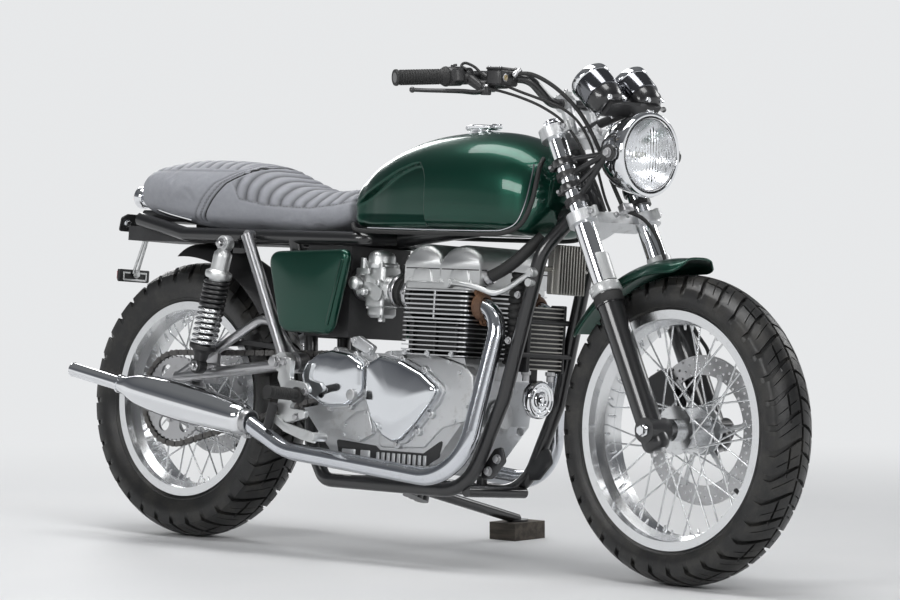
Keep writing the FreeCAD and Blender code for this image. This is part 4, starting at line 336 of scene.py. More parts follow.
@dataclass(frozen=True)
class Metal:
    """Bare metal: polished, brushed or cast.

    Attributes:
        colour: Reflected colour.
        rough: Mean roughness.
        spread: How far the roughness wanders.
        grain: Scale of the surface grain.
        depth: Depth of the grain in metres.
        soiled: Share of grime in random patches.
    """

    name: str
    colour: Colour
    rough: float
    spread: float = 0.06
    grain: float = 900.0
    depth: float = 0.0
    soiled: float = 0.0

    def build(self) -> bpy.types.Material:
        """Make the material."""
        graph = Surface(self.name)
        clouds = graph.noise(14.0, 4.0)
        fine = graph.noise(self.grain, 2.0)
        grime = graph.noise(38.0, 5.0, 0.7).ramp(0.52, 0.72) * self.soiled
        tone = graph.mixed(clouds, shade(self.colour, 0.93), self.colour)
        dirt = (0.12, 0.09, 0.06)
        graph.dress(Base_Color=graph.mixed(grime, tone, dirt), Metallic=1.0 - grime * 0.8,
                    Roughness=self.rough - self.spread / 2 + clouds * self.spread + grime * 0.4)
        if self.depth:
            graph.relief(fine, self.depth)
        return graph.material


@dataclass(frozen=True)
class Paint:
    """Sprayed paint under clear coat; flakes give it a metallic glint.

    Attributes:
        colour: Body colour.
        rough: Roughness of the base.
        coat: Weight of the clear coat.
        flake: Share of metal flakes.
        peel: Depth of the orange peel in metres.
    """

    name: str
    colour: Colour
    rough: float = 0.35
    coat: float = 0.6
    flake: float = 0.0
    peel: float = 0.0

    def build(self) -> bpy.types.Material:
        """Make the material."""
        graph = Surface(self.name)
        clouds = graph.noise(6.0, 3.0)
        deep = shade(self.colour, 0.82)
        base = graph.mixed(clouds, deep, self.colour)
        if self.flake:
            glint = graph.cells(2600.0, "F1").ramp(0.42, 0.08)
            bright = shade(self.colour, 2.1, 0.01)
            base = graph.mixed(glint * self.flake, base, bright)
        wear = graph.noise(260.0, 3.0)
        graph.dress(Base_Color=base, Metallic=self.flake, Roughness=self.rough - 0.05 + wear * 0.1,
                    Coat_Weight=self.coat, Coat_Roughness=0.04)
        if self.peel:
            graph.relief(graph.noise(420.0, 2.0), self.peel)
        return graph.material


@dataclass(frozen=True)
class Rubber:
    """Rubber or matte plastic, dusted where it is used.

    Attributes:
        colour: Body colour.
        rough: Roughness.
        dust: Colour of the dust.
        dusty: Share of dust.
        grain: Depth of the surface grain in metres.
    """

    name: str
    colour: Colour
    rough: float = 0.7
    dust: Colour = (0.16, 0.13, 0.1)
    dusty: float = 0.0
    grain: float = 0.0002

    def build(self) -> bpy.types.Material:
        """Make the material."""
        graph = Surface(self.name)
        patches = graph.noise(17.0, 6.0, 0.68).ramp(0.42, 0.66)
        specks = graph.noise(240.0, 4.0, 0.7)
        share = patches * specks * self.dusty * 2
        lighter = shade(self.colour, 1.5, 0.004)
        tone = graph.mixed(specks, self.colour, lighter)
        graph.dress(Base_Color=graph.mixed(share.smaller(1.0), tone, self.dust),
                    Roughness=self.rough - 0.08 + specks * 0.16)
        graph.relief(graph.noise(620.0, 3.0), self.grain)
        return graph.material


@dataclass(frozen=True)
class Leather:
    """Stitched leather with a fine pebble grain, and painted shade in its seams and rib grooves.

    Attributes:
        colour: Body colour.
        rough: Roughness.
        pebble: Scale of the grain cells.
    """

    name: str
    colour: Colour
    rough: float = 0.52
    pebble: float = 620.0

    def build(self) -> bpy.types.Material:
        """Make the material."""
        graph = Surface(self.name)
        grain = graph.cells(self.pebble)
        creases = graph.noise(60.0, 5.0, 0.6)
        tone = graph.mixed(creases, shade(self.colour, 0.78), shade(self.colour, 1.12))
        # painted shade: the leather darkens by the depth of the seams and rib grooves, read from the crease
        # attribute
        sewn = graph.value("ShaderNodeAttribute", "Fac", {"attribute_name": "crease"}, {})
        tone = graph.mixed(sewn * 0.8, tone, shade(self.colour, 0.22))
        graph.dress(Base_Color=tone, Roughness=self.rough - 0.08 + creases * 0.16)
        graph.relief(grain.ramp(0.0, 0.35) * 0.7 + creases * 0.3, 0.00035)
        return graph.material


@dataclass(frozen=True)
class Clear:
    """Clear or tinted glass or plastic."""

    name: str
    colour: Colour
    rough: float = 0.02

    def build(self) -> bpy.types.Material:
        """Make the material."""
        graph = Surface(self.name)
        haze = graph.noise(90.0, 3.0)
        graph.dress(Base_Color=self.colour, Roughness=self.rough + haze * 0.02, Transmission_Weight=1.0,
                    IOR=1.45)
        return graph.material


@dataclass(frozen=True)
class Timber:
    """Painted or bare block of wood with a grain along X."""

    name: str
    colour: Colour

    def build(self) -> bpy.types.Material:
        """Make the material."""
        graph = Surface(self.name)
        grain = graph.noise(60.0, 5.0, 0.6, graph.stretched((0.12, 1.0, 1.0)))
        dark = shade(self.colour, 0.5)
        graph.dress(Base_Color=graph.mixed(grain.ramp(0.35, 0.65), dark, self.colour),
                    Roughness=0.75 + grain * 0.15)
        graph.relief(grain, 0.0006)
        return graph.material


class Finish(Enum):
    """Every finish of the machine."""

    POLISHED = Metal("polished_alloy", (0.8, 0.82, 0.85), 0.07, 0.04)
    RIM = Metal("rim_alloy", (0.84, 0.85, 0.86), 0.22, 0.08, 700.0, 3e-05, 0.05)
    ALLOY = Metal("cast_alloy", (0.68, 0.69, 0.7), 0.4, 0.14, 1100.0, 0.00025, 0.22)
    CHROME = Metal("chrome", (0.9, 0.91, 0.93), 0.05, 0.03)
    STEEL = Metal("brushed_steel", (0.56, 0.56, 0.57), 0.32, 0.1, 800.0, 4e-05, 0.2)
    SPOKE = Metal("spoke_steel", (0.74, 0.75, 0.76), 0.22, 0.08, 900.0, 0.0, 0.12)
    GREEN = Paint("green_metallic", (0.002, 0.05, 0.031), 0.32, 0.6, 0.75)
    BLACK = Paint("black_gloss", (0.012, 0.012, 0.013), 0.3, 0.7, 0.0, 2e-05)
    SATIN = Paint("black_satin", (0.016, 0.016, 0.017), 0.48, 0.15, 0.0, 6e-05)
    GREY = Metal("grey_steel", (0.36, 0.36, 0.37), 0.34, 0.1, 700.0, 3e-05, 0.1)
    TYRE = Rubber("tyre_rubber", (0.008, 0.008, 0.008), 0.36, (0.14, 0.13, 0.11), 0.14, 0.0004)
    RUBBER = Rubber("black_rubber", (0.014, 0.014, 0.014), 0.66)
    PLASTIC = Rubber("black_plastic", (0.018, 0.018, 0.019), 0.5, (0.1, 0.1, 0.1), 0.1, 0.0001)
    LEATHER = Leather("seat_leather", (0.3, 0.308, 0.335))
    THREAD = Rubber("seat_thread", (0.1, 0.1, 0.105), 0.8)
    LENS = Clear("lamp_lens", (0.97, 0.98, 0.99), 0.05)
    RED = Clear("red_lens", (0.62, 0.02, 0.02), 0.08)
    FIN = Metal("bare_fin_edge", (0.7, 0.71, 0.72), 0.3, 0.1, 900.0, 4e-05, 0.1)
    CASTING = Metal("silver_casting", (0.72, 0.73, 0.73), 0.42, 0.1, 1200.0, 8e-05, 0.08)
    SILVER = Paint("silver_paint", (0.52, 0.53, 0.53), 0.36, 0.5, 0.35, 2e-05)
    RUSTY = Rubber("rusty_iron", (0.085, 0.045, 0.026), 0.75, (0.24, 0.12, 0.06), 0.7, 0.0005)
    RIB = Metal("cooler_ribs", (0.46, 0.45, 0.42), 0.46, 0.1, 700.0, 0.0001, 0.1)
    CHAIN = Metal("oiled_chain", (0.17, 0.165, 0.16), 0.36, 0.14, 900.0, 5e-05, 0.2)
    GUNMETAL = Metal("dark_chrome", (0.2, 0.205, 0.22), 0.12, 0.05)
    HEATED = Metal("header_chrome", (0.74, 0.76, 0.8), 0.13, 0.08, 500.0, 0.0, 0.06)
    MIRROR = Metal("lamp_reflector", (0.96, 0.96, 0.97), 0.2, 0.06)
    BULB = Paint("lamp_bulb", (0.8, 0.8, 0.74), 0.1, 1.0)
    DIAL = Paint("gauge_dial", (0.01, 0.01, 0.011), 0.55, 0.0)
    MARK = Paint("white_mark", (0.8, 0.8, 0.78), 0.45, 0.0)
    NEEDLE = Paint("red_needle", (0.65, 0.05, 0.03), 0.4, 0.1)
    SIGHT = Paint("sight_glass", (0.36, 0.27, 0.12), 0.08, 1.0)
    WOOD = Timber("stand_block_wood", (0.1, 0.085, 0.07))


class Wardrobe:
    """Materials made once from the finishes."""

    def __init__(self) -> None:
        """Start with no material made."""
        self.made: dict[Finish, bpy.types.Material] = {}

    def __getitem__(self, finish: Finish) -> bpy.types.Material:
        """The material of a finish.

        Args:
            finish: The finish.

        Returns:
            Its material, made at the first call.
        """
        if finish not in self.made:
            self.made[finish] = finish.value.build()
        return self.made[finish]


WARDROBE = Wardrobe()

KEPT_NODES: dict[Finish, str] = {
    Finish.RIM: "front_rim rear_rim", Finish.SPOKE: "front_hub rear_hub",
    Finish.STEEL: "rear_sprocket front_axle rear_axle swingarm",
    Finish.BLACK: "fork_sliders handlebar frame side_stand", Finish.CHROME: "fork_tubes",
    Finish.ALLOY: "fork_yokes crankcase", Finish.SATIN: "lamp_brackets gauge_bracket rear_caliper",
    Finish.GREY: "rear_stays", Finish.PLASTIC: "air_box under_tray rear_mudguard",
    Finish.HEATED: "exhaust_headers", Finish.WOOD: "stand_block"}


def polar(radius: float, angle: float, height: float = 0.0) -> Vector:
    """Point of a circle about Z."""
    return Vector((radius * math.cos(angle), radius * math.sin(angle), height))


def radial(angle: float) -> Vector:
    """Unit vector in the plane of a wheel."""
    return Vector((math.cos(angle), 0, math.sin(angle)))


def round_angles(count: int) -> list[float]:
    """Angles that divide a full turn."""
    return [math.tau * index / count for index in range(count)]


def smooth_step(value: float, low: float, high: float) -> float:
    """Smooth share from 0 at low to 1 at high."""
    share = min(max((value - low) / (high - low), 0.0), 1.0)
    return share * share * (3 - 2 * share)


def table(value: float, rows: Sequence[Pair]) -> float:
    """Read a table of pairs with straight lines between its rows."""
    return float(np.interp(value, [row[0] for row in rows], [row[1] for row in rows]))


def circle(radius: float, count: int = 24, centre: Pair = (0.0, 0.0)) -> list[Pair]:
    """Outline of a circle."""
    return [(centre[0] + radius * math.cos(a), centre[1] + radius * math.sin(a))
            for a in round_angles(count)]


def rounded(corners: Sequence[Pair], radius: float | Sequence[float], steps: int = 6) -> list[Pair]:
    """Round the corners of an outline.

    Args:
        corners: Corners in order.
        radius: One radius, or one for each corner.
        steps: Points in each corner.

    Returns:
        The outline's points.
    """
    radii = [radius] * len(corners) if isinstance(radius, (int, float)) else list(radius)
    outline = []
    for index, corner in enumerate(corners):
        here = Vector(corner)
        before = Vector(corners[index - 1]) - here
        after = Vector(corners[(index + 1) % len(corners)]) - here
        half = before.angle(after) / 2
        reach = min(radii[index] / math.tan(half), before.length * 0.48, after.length * 0.48)
        start, end = here + before.normalized() * reach, here + after.normalized() * reach
        for step in range(steps + 1):
            share = step / steps
            point = start * (1 - share) ** 2 + here * 2 * share * (1 - share) + end * share ** 2
            outline.append((point.x, point.y))
    return outline


def squared(angle: float, upper: float, lower: float) -> Pair:
    """Point of a rounded square, with one power for its upper half and one for its lower.

    Args:
        angle: Angle around its middle.
        upper: Power of the upper half.
        lower: Power of the lower half.

    Returns:
        Its place across and up, from -1 to 1.
    """
    power = 2 / (upper if math.sin(angle) > 0 else lower)
    across, up = math.cos(angle), math.sin(angle)
    return (math.copysign(abs(across) ** power, across), math.copysign(abs(up) ** power, up))


def evenly(outline: Sequence[Pair], count: int) -> list[Pair]:
    """A closed outline as a count of points at even distances.

    Args:
        outline: The outline.
        count: Number of points.

    Returns:
        The new outline.
    """
    ends = np.array([*outline, outline[0]], float)
    along = np.concatenate([[0.0], np.cumsum(np.linalg.norm(np.diff(ends, axis=0), axis=1))])
    places = np.linspace(0.0, along[-1], count, endpoint=False)
    return [(float(np.interp(at, along, ends[:, 0])), float(np.interp(at, along, ends[:, 1])))
            for at in places]


def curved(points: Sequence[Sequence[float]], per: int = 8) -> list[Vector]:
    """Smooth line through points.

    Args:
        points: Points that the line goes through.
        per: Steps between two of them.

    Returns:
        Points along the line.
    """
    knots = [Vector(point) for point in points]
    ends = [knots[0] * 2 - knots[1], *knots, knots[-1] * 2 - knots[-2]]
    line = []
    for index in range(len(knots) - 1):
        a, b, c, d = ends[index:index + 4]
        for step in range(per):
            t = step / per
            line.append(0.5 * (2 * b + (c - a) * t + (2 * a - 5 * b + 4 * c - d) * t ** 2
                               + (3 * b - a - 3 * c + d) * t ** 3))
    return line + [knots[-1]]


def aimed(place: Sequence[float], direction: Sequence[float] = (0, 0, 1), spin: float = 0.0) -> Matrix:
    """Matrix that puts the origin at a place and turns Z to a direction.

    Args:
        place: Where the origin goes.
        direction: Where local Z points.
        spin: Turn about local Z in degrees.

    Returns:
        The matrix.
    """
    turn = Vector((0, 0, 1)).rotation_difference(Vector(direction).normalized()).to_matrix().to_4x4()
    return Matrix.Translation(Vector(place)) @ turn @ Matrix.Rotation(math.radians(spin), 4, "Z")


class Solid:
    """Faces under construction, in millimetres of a body's space."""

    def __init__(self) -> None:
        """Start with no face."""
        self.points: list[Vector] = []
        self.faces: list[tuple[int, ...]] = []
        self.slots: list[int] = []

    def add(self, other: "Solid", place: Matrix | None = None, slot: int | None = None) -> "Solid":
        """Take in another solid.

        Args:
            other: The solid to copy.
            place: Matrix for its points.
            slot: Finish slot for all of its faces.

        Returns:
            This solid.
        """
        base = len(self.points)
        self.points += [place @ point for point in other.points] if place else list(other.points)
        self.faces += [tuple(base + index for index in face) for face in other.faces]
        self.slots += list(other.slots) if slot is None else [slot] * len(other.faces)
        return self

    def placed(self, place: Matrix, slot: int | None = None) -> "Solid":
        """A copy put elsewhere."""
        return Solid().add(self, place, slot)

    def both(self) -> "Solid":
        """This solid with its mirror image across the middle plane."""
        return Solid().add(self).add(self, Matrix.Scale(-1, 4, (0, 1, 0)))

    def put_turned(self, profile: Sequence[Pair], place: Sequence[float] = (0, 0, 0),
                   aim: Sequence[float] = (0, 0, 1), sides: int = 20, slot: int = 0,
                   closed: bool = False) -> "Solid":
        """Add a turned part at a place.

        Args:
            profile: Pairs of radius and height; ends away from the axis are closed flat.
            place: Where its origin goes.
            aim: Where its axis points.
            sides: Sides around the axis.
            slot: Finish slot.
            closed: The profile is a loop.

        Returns:
            This solid.
        """
        start = [(0, profile[0][1])] if profile[0][0] and not closed else []
        end = [(0, profile[-1][1])] if profile[-1][0] and not closed else []
        return self.add(Solid.lathe([*start, *profile, *end], sides, closed, slot), aimed(place, aim))

    def put_block(self, extent: Point, centre: Sequence[float], edge: float = 0.0, slot: int = 0) -> "Solid":
        """Add a rounded block."""
        return self.add(Solid.block(extent, centre, edge, slot))

    def put_tube(self, path: Sequence[Sequence[float]], radius: float | Callable[[float], float],
                 sides: int = 12, slot: int = 0) -> "Solid":
        """Add a bar or hose."""
        return self.add(Solid.tube(path, radius, sides, slot=slot))

    def put_screw(self, radius: float, height: float, place: Sequence[float],
                  aim: Sequence[float] = (0, 0, 1), slot: int = 0) -> "Solid":
        """Add a round cap screw."""
        return self.add(Solid.socket_bolt(radius, height, slot), aimed(place, aim))

    def put_bolt(self, radius: float, height: float, place: Sequence[float],
                 aim: Sequence[float] = (0, 0, 1), slot: int = 0) -> "Solid":
        """Add a hexagon head."""
        return self.add(Solid.hex_bolt(radius, height, slot), aimed(place, aim))

    @classmethod
    def loft(cls, rings: Sequence[Sequence[Vector]], closed: bool = False, caps: bool = True,
             slot: int = 0) -> "Solid":
        """Skin through rings of equally many points.

        Args:
            rings: The rings.
            closed: Join the last ring to the first.
            caps: Close both ends.
            slot: Finish slot.

        Returns:
            The skin.
        """
        solid = cls()
        count = len(rings[0])
        for ring in rings:
            solid.points += [Vector(point) for point in ring]
        for row in range(len(rings) if closed else len(rings) - 1):
            low, high = row * count, (row + 1) % len(rings) * count
            for index in range(count):
                after = (index + 1) % count
                solid.faces.append((low + index, low + after, high + after, high + index))
        if caps and not closed:
            solid.faces.append(tuple(reversed(range(count))))
            solid.faces.append(tuple(range((len(rings) - 1) * count, len(rings) * count)))
        solid.slots = [slot] * len(solid.faces)
        return solid

    @classmethod
    def lathe(cls, profile: Sequence[Pair], sides: int = 40, closed: bool = False, slot: int = 0) -> "Solid":
        """Turned solid about Z from pairs of radius and height.

        Args:
            profile: Pairs of radius and height.
            sides: Sides around the axis.
            closed: The profile is a loop.
            slot: Finish slot.

        Returns:
            The solid.
        """
        rings = [[polar(radius, angle, height) for angle in round_angles(sides)]
                 for radius, height in profile]
        return cls.loft(rings, closed, True, slot)

    @classmethod
    def tube(cls, path: Sequence[Sequence[float]], radius: float | Callable[[float], float], sides: int = 12,
             closed: bool = False, slot: int = 0) -> "Solid":
        """Round bar or hose along a line.

        Args:
            path: Points of the line.
            radius: Radius, or a function of the share of the way.
            sides: Sides of the section.
            closed: The line is a loop.
            slot: Finish slot.

        Returns:
            The tube.
        """
        line = [Vector(point) for point in path]
        count = len(line)
        across = None
        rings = []
        for index, point in enumerate(line):
            after = line[(index + 1) % count] if closed or index < count - 1 else point
            before = line[index - 1] if closed or index else point
            along = (after - before).normalized()
            if across is None:
                across = along.orthogonal().normalized()
            across = (across - along * across.dot(along)).normalized()
            other = along.cross(across)
            size = radius(index / max(1, count - 1)) if callable(radius) else radius
            rings.append([point + (across * math.cos(angle) + other * math.sin(angle)) * size
                          for angle in round_angles(sides)])
        return cls.loft(rings, closed, True, slot)

    @classmethod
    def prism(cls, outline: Sequence[Pair], low: float, high: float, edge: float = 0.0, slot: int = 0,
              crown: float = 0.0) -> "Solid":
        """Plate of an outline in XY with rounded rims.

        Args:
            outline: The outline.
            low: Lowest Z.
            high: Highest Z.
            edge: Radius of the rims.
            slot: Finish slot.
            crown: How far the top bulges in its middle.

        Returns:
            The plate.
        """
        count = len(outline)
        middle = Vector((sum(p[0] for p in outline) / count, sum(p[1] for p in outline) / count))
        if crown:
            outline = evenly(outline, 144)
        reach = max((Vector(p) - middle).length for p in outline)
        mean = sum((Vector(p) - middle).length for p in outline) / len(outline)

        def ring(inset: float, height: float, roundness: float = 0.0) -> list[Vector]:
            """The outline drawn in by an inset at a height, nearer to a circle with more roundness."""
            share = 1 - inset / reach
            offs = [Vector(p) - middle for p in outline]
            offs = [off.lerp(off.normalized() * mean, roundness) for off in offs]
            return [Vector((*middle + off * share, height)) for off in offs]

        rings = [ring(0, low), ring(0, high)]
        if edge:
            rings = [ring(edge, low), ring(0, low + edge), ring(0, high - edge)]
            rings += [ring(edge * (1 - math.cos(a)), high - edge * (1 - math.sin(a)))
                      for a in (math.pi / 8, math.pi / 4, math.pi * 3 / 8, math.pi / 2)]
        if crown:
            rings += [ring(edge + (reach - edge) * s, high + crown * (1 - (1 - s) ** 2), min(1.0, 1.6 * s))
                      for s in (0.05, 0.12, 0.21, 0.32, 0.44, 0.57, 0.7, 0.83, 0.94)]
        return cls.loft(rings, False, True, slot)

    @classmethod
    def block(cls, extent: Point, centre: Point = (0, 0, 0), edge: float = 0.0, slot: int = 0) -> "Solid":
        """Block with rounded upright edges and rims.

        Args:
            extent: Full sizes along X, Y and Z.
            centre: Its middle.
            edge: Radius of the upright edges.
            slot: Finish slot.

        Returns:
            The block.
        """
        x, y, z = (part / 2 for part in extent)
        corners = [(-x, -y), (x, -y), (x, y), (-x, y)]
        outline = rounded(corners, edge, 3) if edge else corners
        return cls.prism(outline, -z, z, edge * 0.7, slot).placed(Matrix.Translation(Vector(centre)))

    @classmethod
    def hex_bolt(cls, radius: float = 5.0, height: float = 5.0, slot: int = 0) -> "Solid":
        """Hexagon head on a washer.

        Args:
            radius: Radius of the head.
            height: Height with the washer.
            slot: Finish slot.

        Returns:
            The head, standing on Z 0.
        """
        solid = cls.lathe([(0, 0), (radius * 1.35, 0), (radius * 1.35, height * 0.22), (0, height * 0.22)],
                          20, slot=slot)
        return solid.add(cls.prism(circle(radius * 1.08, 6), height * 0.2, height, radius * 0.12, slot))

    @classmethod
    def socket_bolt(cls, radius: float = 4.5, height: float = 5.0, slot: int = 0) -> "Solid":
        """Round cap screw with a hexagon socket.

        Args:
            radius: Radius of the head.
            height: Its height.
            slot: Finish slot.

        Returns:
            The head, standing on Z 0.
        """
        solid = cls.lathe([(0, 0), (radius, 0), (radius, height * 0.85), (radius * 0.88, height),
                           (radius * 0.58, height)], 20, slot=slot)
        solid.faces.pop()
        solid.slots.pop()
        return solid.add(cls.lathe([(radius * 0.58, height), (radius * 0.52, height * 0.45)], 20, slot=slot))

    def piece(self, name: str, space: Space, finishes: Sequence[Finish], bevel: float = 0.0,
              sharp: float = 38.0, replaces: Sequence[str] = ()) -> bpy.types.Object:
        """Make the scene's object from the faces.

        Args:
            name: The piece's name.
            space: Space of its millimetres, of the body that carries it.
            finishes: Finishes by slot.
            bevel: Width of rounded edges in millimetres.
            sharp: Angle in degrees above which an edge stays sharp.
            replaces: Nodes that it stands for.

        Returns:
            The object.
        """
        mesh = bpy.data.meshes.new(name)
        mesh.from_pydata([point * MILLIMETRE for point in self.points], [], self.faces)
        mesh.polygons.foreach_set("material_index", self.slots)
        for finish in finishes:
            mesh.materials.append(WARDROBE[finish])
        shape = bmesh.new()
        shape.from_mesh(mesh)
        bmesh.ops.remove_doubles(shape, verts=shape.verts, dist=2e-06)
        bmesh.ops.dissolve_degenerate(shape, edges=shape.edges, dist=1e-06)
        bmesh.ops.recalc_face_normals(shape, faces=shape.faces)
        shape.to_mesh(mesh)
        shape.free()
        mesh.polygons.foreach_set("use_smooth", [True] * len(mesh.polygons))
        mesh.set_sharp_from_angle(angle=math.radians(sharp))
        made = bpy.data.objects.new(name, mesh)
        made.matrix_world = space.pose
        bpy.context.collection.objects.link(made)
        if bevel:
            rim = made.modifiers.new("edges", "BEVEL")
            rim.width = bevel * MILLIMETRE
            rim.segments = 2
            rim.limit_method = "ANGLE"
            rim.angle_limit = math.radians(sharp)
            rim.harden_normals = True
        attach(made, space.body.value)
        if replaces:
            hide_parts(*replaces)
        LOG.info("piece %s: %d faces", name, len(mesh.polygons))
        return made


@dataclass
class TreadedTyre:
    """Dual-sport tyre: curved blocks from a zigzag middle groove out over the shoulders.

    Attributes:
        node: The node that it stands for.
        space: The wheel's space.
        radius: Outer radius.
        tread: Half width of the tread.
        crown: Radius of the crown's curve.
        wall: Pairs of radius and lateral place from shoulder to bead.
        pitches: Blocks around each side.
        depth: Depth of the grooves.
        sweep: How far the blocks trail at the shoulder.
    """

    node: str
    space: Space
    radius: float
    tread: float
    crown: float
    wall: list[Pair]
    pitches: int
    depth: float = 8.5
    sweep: float = 36.0

    @property
    def pitch(self) -> float:
        """Length of a block and its groove."""
        return math.tau * self.radius / self.pitches

    def _rows(self) -> list[tuple[float, float, float, float]]:
        """Rows of one half from the middle to the bead: radius, lateral, share, groove depth."""
        rows = []
        shares = (0.0, 0.035, 0.055, 0.14, 0.24, 0.34, 0.44, 0.5, 0.52, 0.56, 0.58, 0.66, 0.76, 0.86, 0.94,
                  1.0)
        for share in shares:
            lateral = self.tread * share
            rows.append((self.radius - self.crown + math.sqrt(self.crown ** 2 - lateral ** 2), lateral,
                         share, self.depth))
        for index, (radius, lateral) in enumerate(self.wall):
            fade = max(0.0, 1.0 - index * 0.42)
            rows.append((radius, lateral, 1.0, self.depth * fade))
        return rows

    def _columns(self, share: float, odd: bool) -> list[Pair]:
        """Columns of one pitch: place along it in millimetres and share of the groove's depth.

        Args:
            share: Share of the way from the middle to the edge of the tread.
            odd: Whether the pitch has an odd number.

        Returns:
            The columns in order.
        """
        half = 2.2 + 4.2 * share
        sipe = 0.45 if 0.14 < share < 0.94 else 0.0
        cut = 0.62 if 0.51 < share < 0.57 and odd else 0.0
        room = self.pitch - 2 * half
        line = half + room * (0.42 if odd else 0.58)
        return [(-half - 0.9, cut), (-half, 1.0), (half, 1.0), (half + 0.9, cut), (half + room * 0.2, cut),
                (line - 1.3, cut), (line, max(sipe, cut)), (line + 1.3, cut),
                (self.pitch - half - room * 0.2, cut)]

    def build(self) -> None:
        """Build the tyre as one closed ring."""
        half = self._rows()
        rows = [(radius, -lateral, share, depth)
                for radius, lateral, share, depth in reversed(half[1:])] + half
        rings = []
        for radius, lateral, share, depth in rows:
            ring = []
            middle = abs(lateral) < self.tread * 0.05
            stagger = self.pitch / 2 * smooth_step(lateral, -self.tread * 0.05, self.tread * 0.05)
            shift = stagger - self.sweep * share ** 1.5
            rise = radius - (self.radius - self.crown)
            lean = math.atan2(abs(lateral), rise) if share < 1 else math.radians(60)
            for index in range(self.pitches):
                for along, deep in self._columns(share, bool(index % 2)):
                    angle = (index * self.pitch + along + shift) / self.radius
                    sink = depth * (0.7 if middle else deep)
                    reach = radius - sink * math.cos(lean)
                    side = lateral - math.copysign(sink * math.sin(lean), lateral) if lateral else 0.0
                    ring.append(Vector((reach * math.cos(angle), side, reach * math.sin(angle))))
            rings.append(ring)
        solid = Solid.loft(rings, closed=True)
        solid.piece(f"{self.node}_tread", self.space, [Finish.TYRE], sharp=30, replaces=[self.node])


@dataclass
class Wheels:
    """Treaded tyres, spoke nipples and valves."""

    nipple_count: int = 36

    def build(self) -> None:
        """Build what both wheels wear."""
        TreadedTyre("front_tyre", FRONT, 330.0, 55.0, 76.0, [
            (303.0, 57.6), (298.0, 58.8), (290.0, 60.0), (281.0, 60.0), (274.0, 58.2),
            (267.0, 55.4), (263.0, 53.6), (261.0, 54.0), (258.5, 52.0), (255.6, 48.5),
            (250.0, 46.8), (241.4, 46.6)], 36).build()
        TreadedTyre("rear_tyre", REAR, 324.0, 61.0, 86.0, [
            (297.5, 64.4), (291.0, 66.2), (282.0, 67.8), (272.0, 68.0), (262.0, 66.2),
            (251.0, 61.6), (244.0, 57.6), (240.0, 55.6), (237.5, 55.8), (234.0, 52.6),
            (230.6, 48.6), (216.4, 47.6)], 34, sweep=40.0).build()
        self._nipples("front_nipples", FRONT, 224.0)
        self._nipples("rear_nipples", REAR, 199.0)

    def _nipples(self, name: str, space: Space, radius: float) -> None:
        """Spoke nipples standing on the inside of the rim, and the valve.

        Args:
            name: The piece's name.
            space: The wheel's space.
            radius: Radius of the rim's inside.
        """
        nipple = Solid.lathe([(0, 0), (4.2, 0), (4.2, 1.5), (3.0, 2.5), (2.9, 9), (2.3, 12), (0, 12)], 10)
        solid = Solid()
        for index in range(self.nipple_count):
            angle = math.tau * (index + 0.5) / self.nipple_count
            side = 9 if index % 2 else -9
            outward = radial(angle)
            start = outward * (radius + 1.0) + Vector((0, side, 0))
            solid.add(nipple, aimed(start, -outward))
        valve = Solid.lathe([(0, 0), (7, 0), (7, 3), (4.4, 4), (4.0, 26), (4.6, 27), (4.6, 36), (0, 37)], 14,
                            slot=1)
        outward = radial(math.radians(-38))
        solid.add(valve, aimed(outward * (radius + 1), -outward))
        solid.piece(name, space, [Finish.SPOKE, Finish.RUBBER])


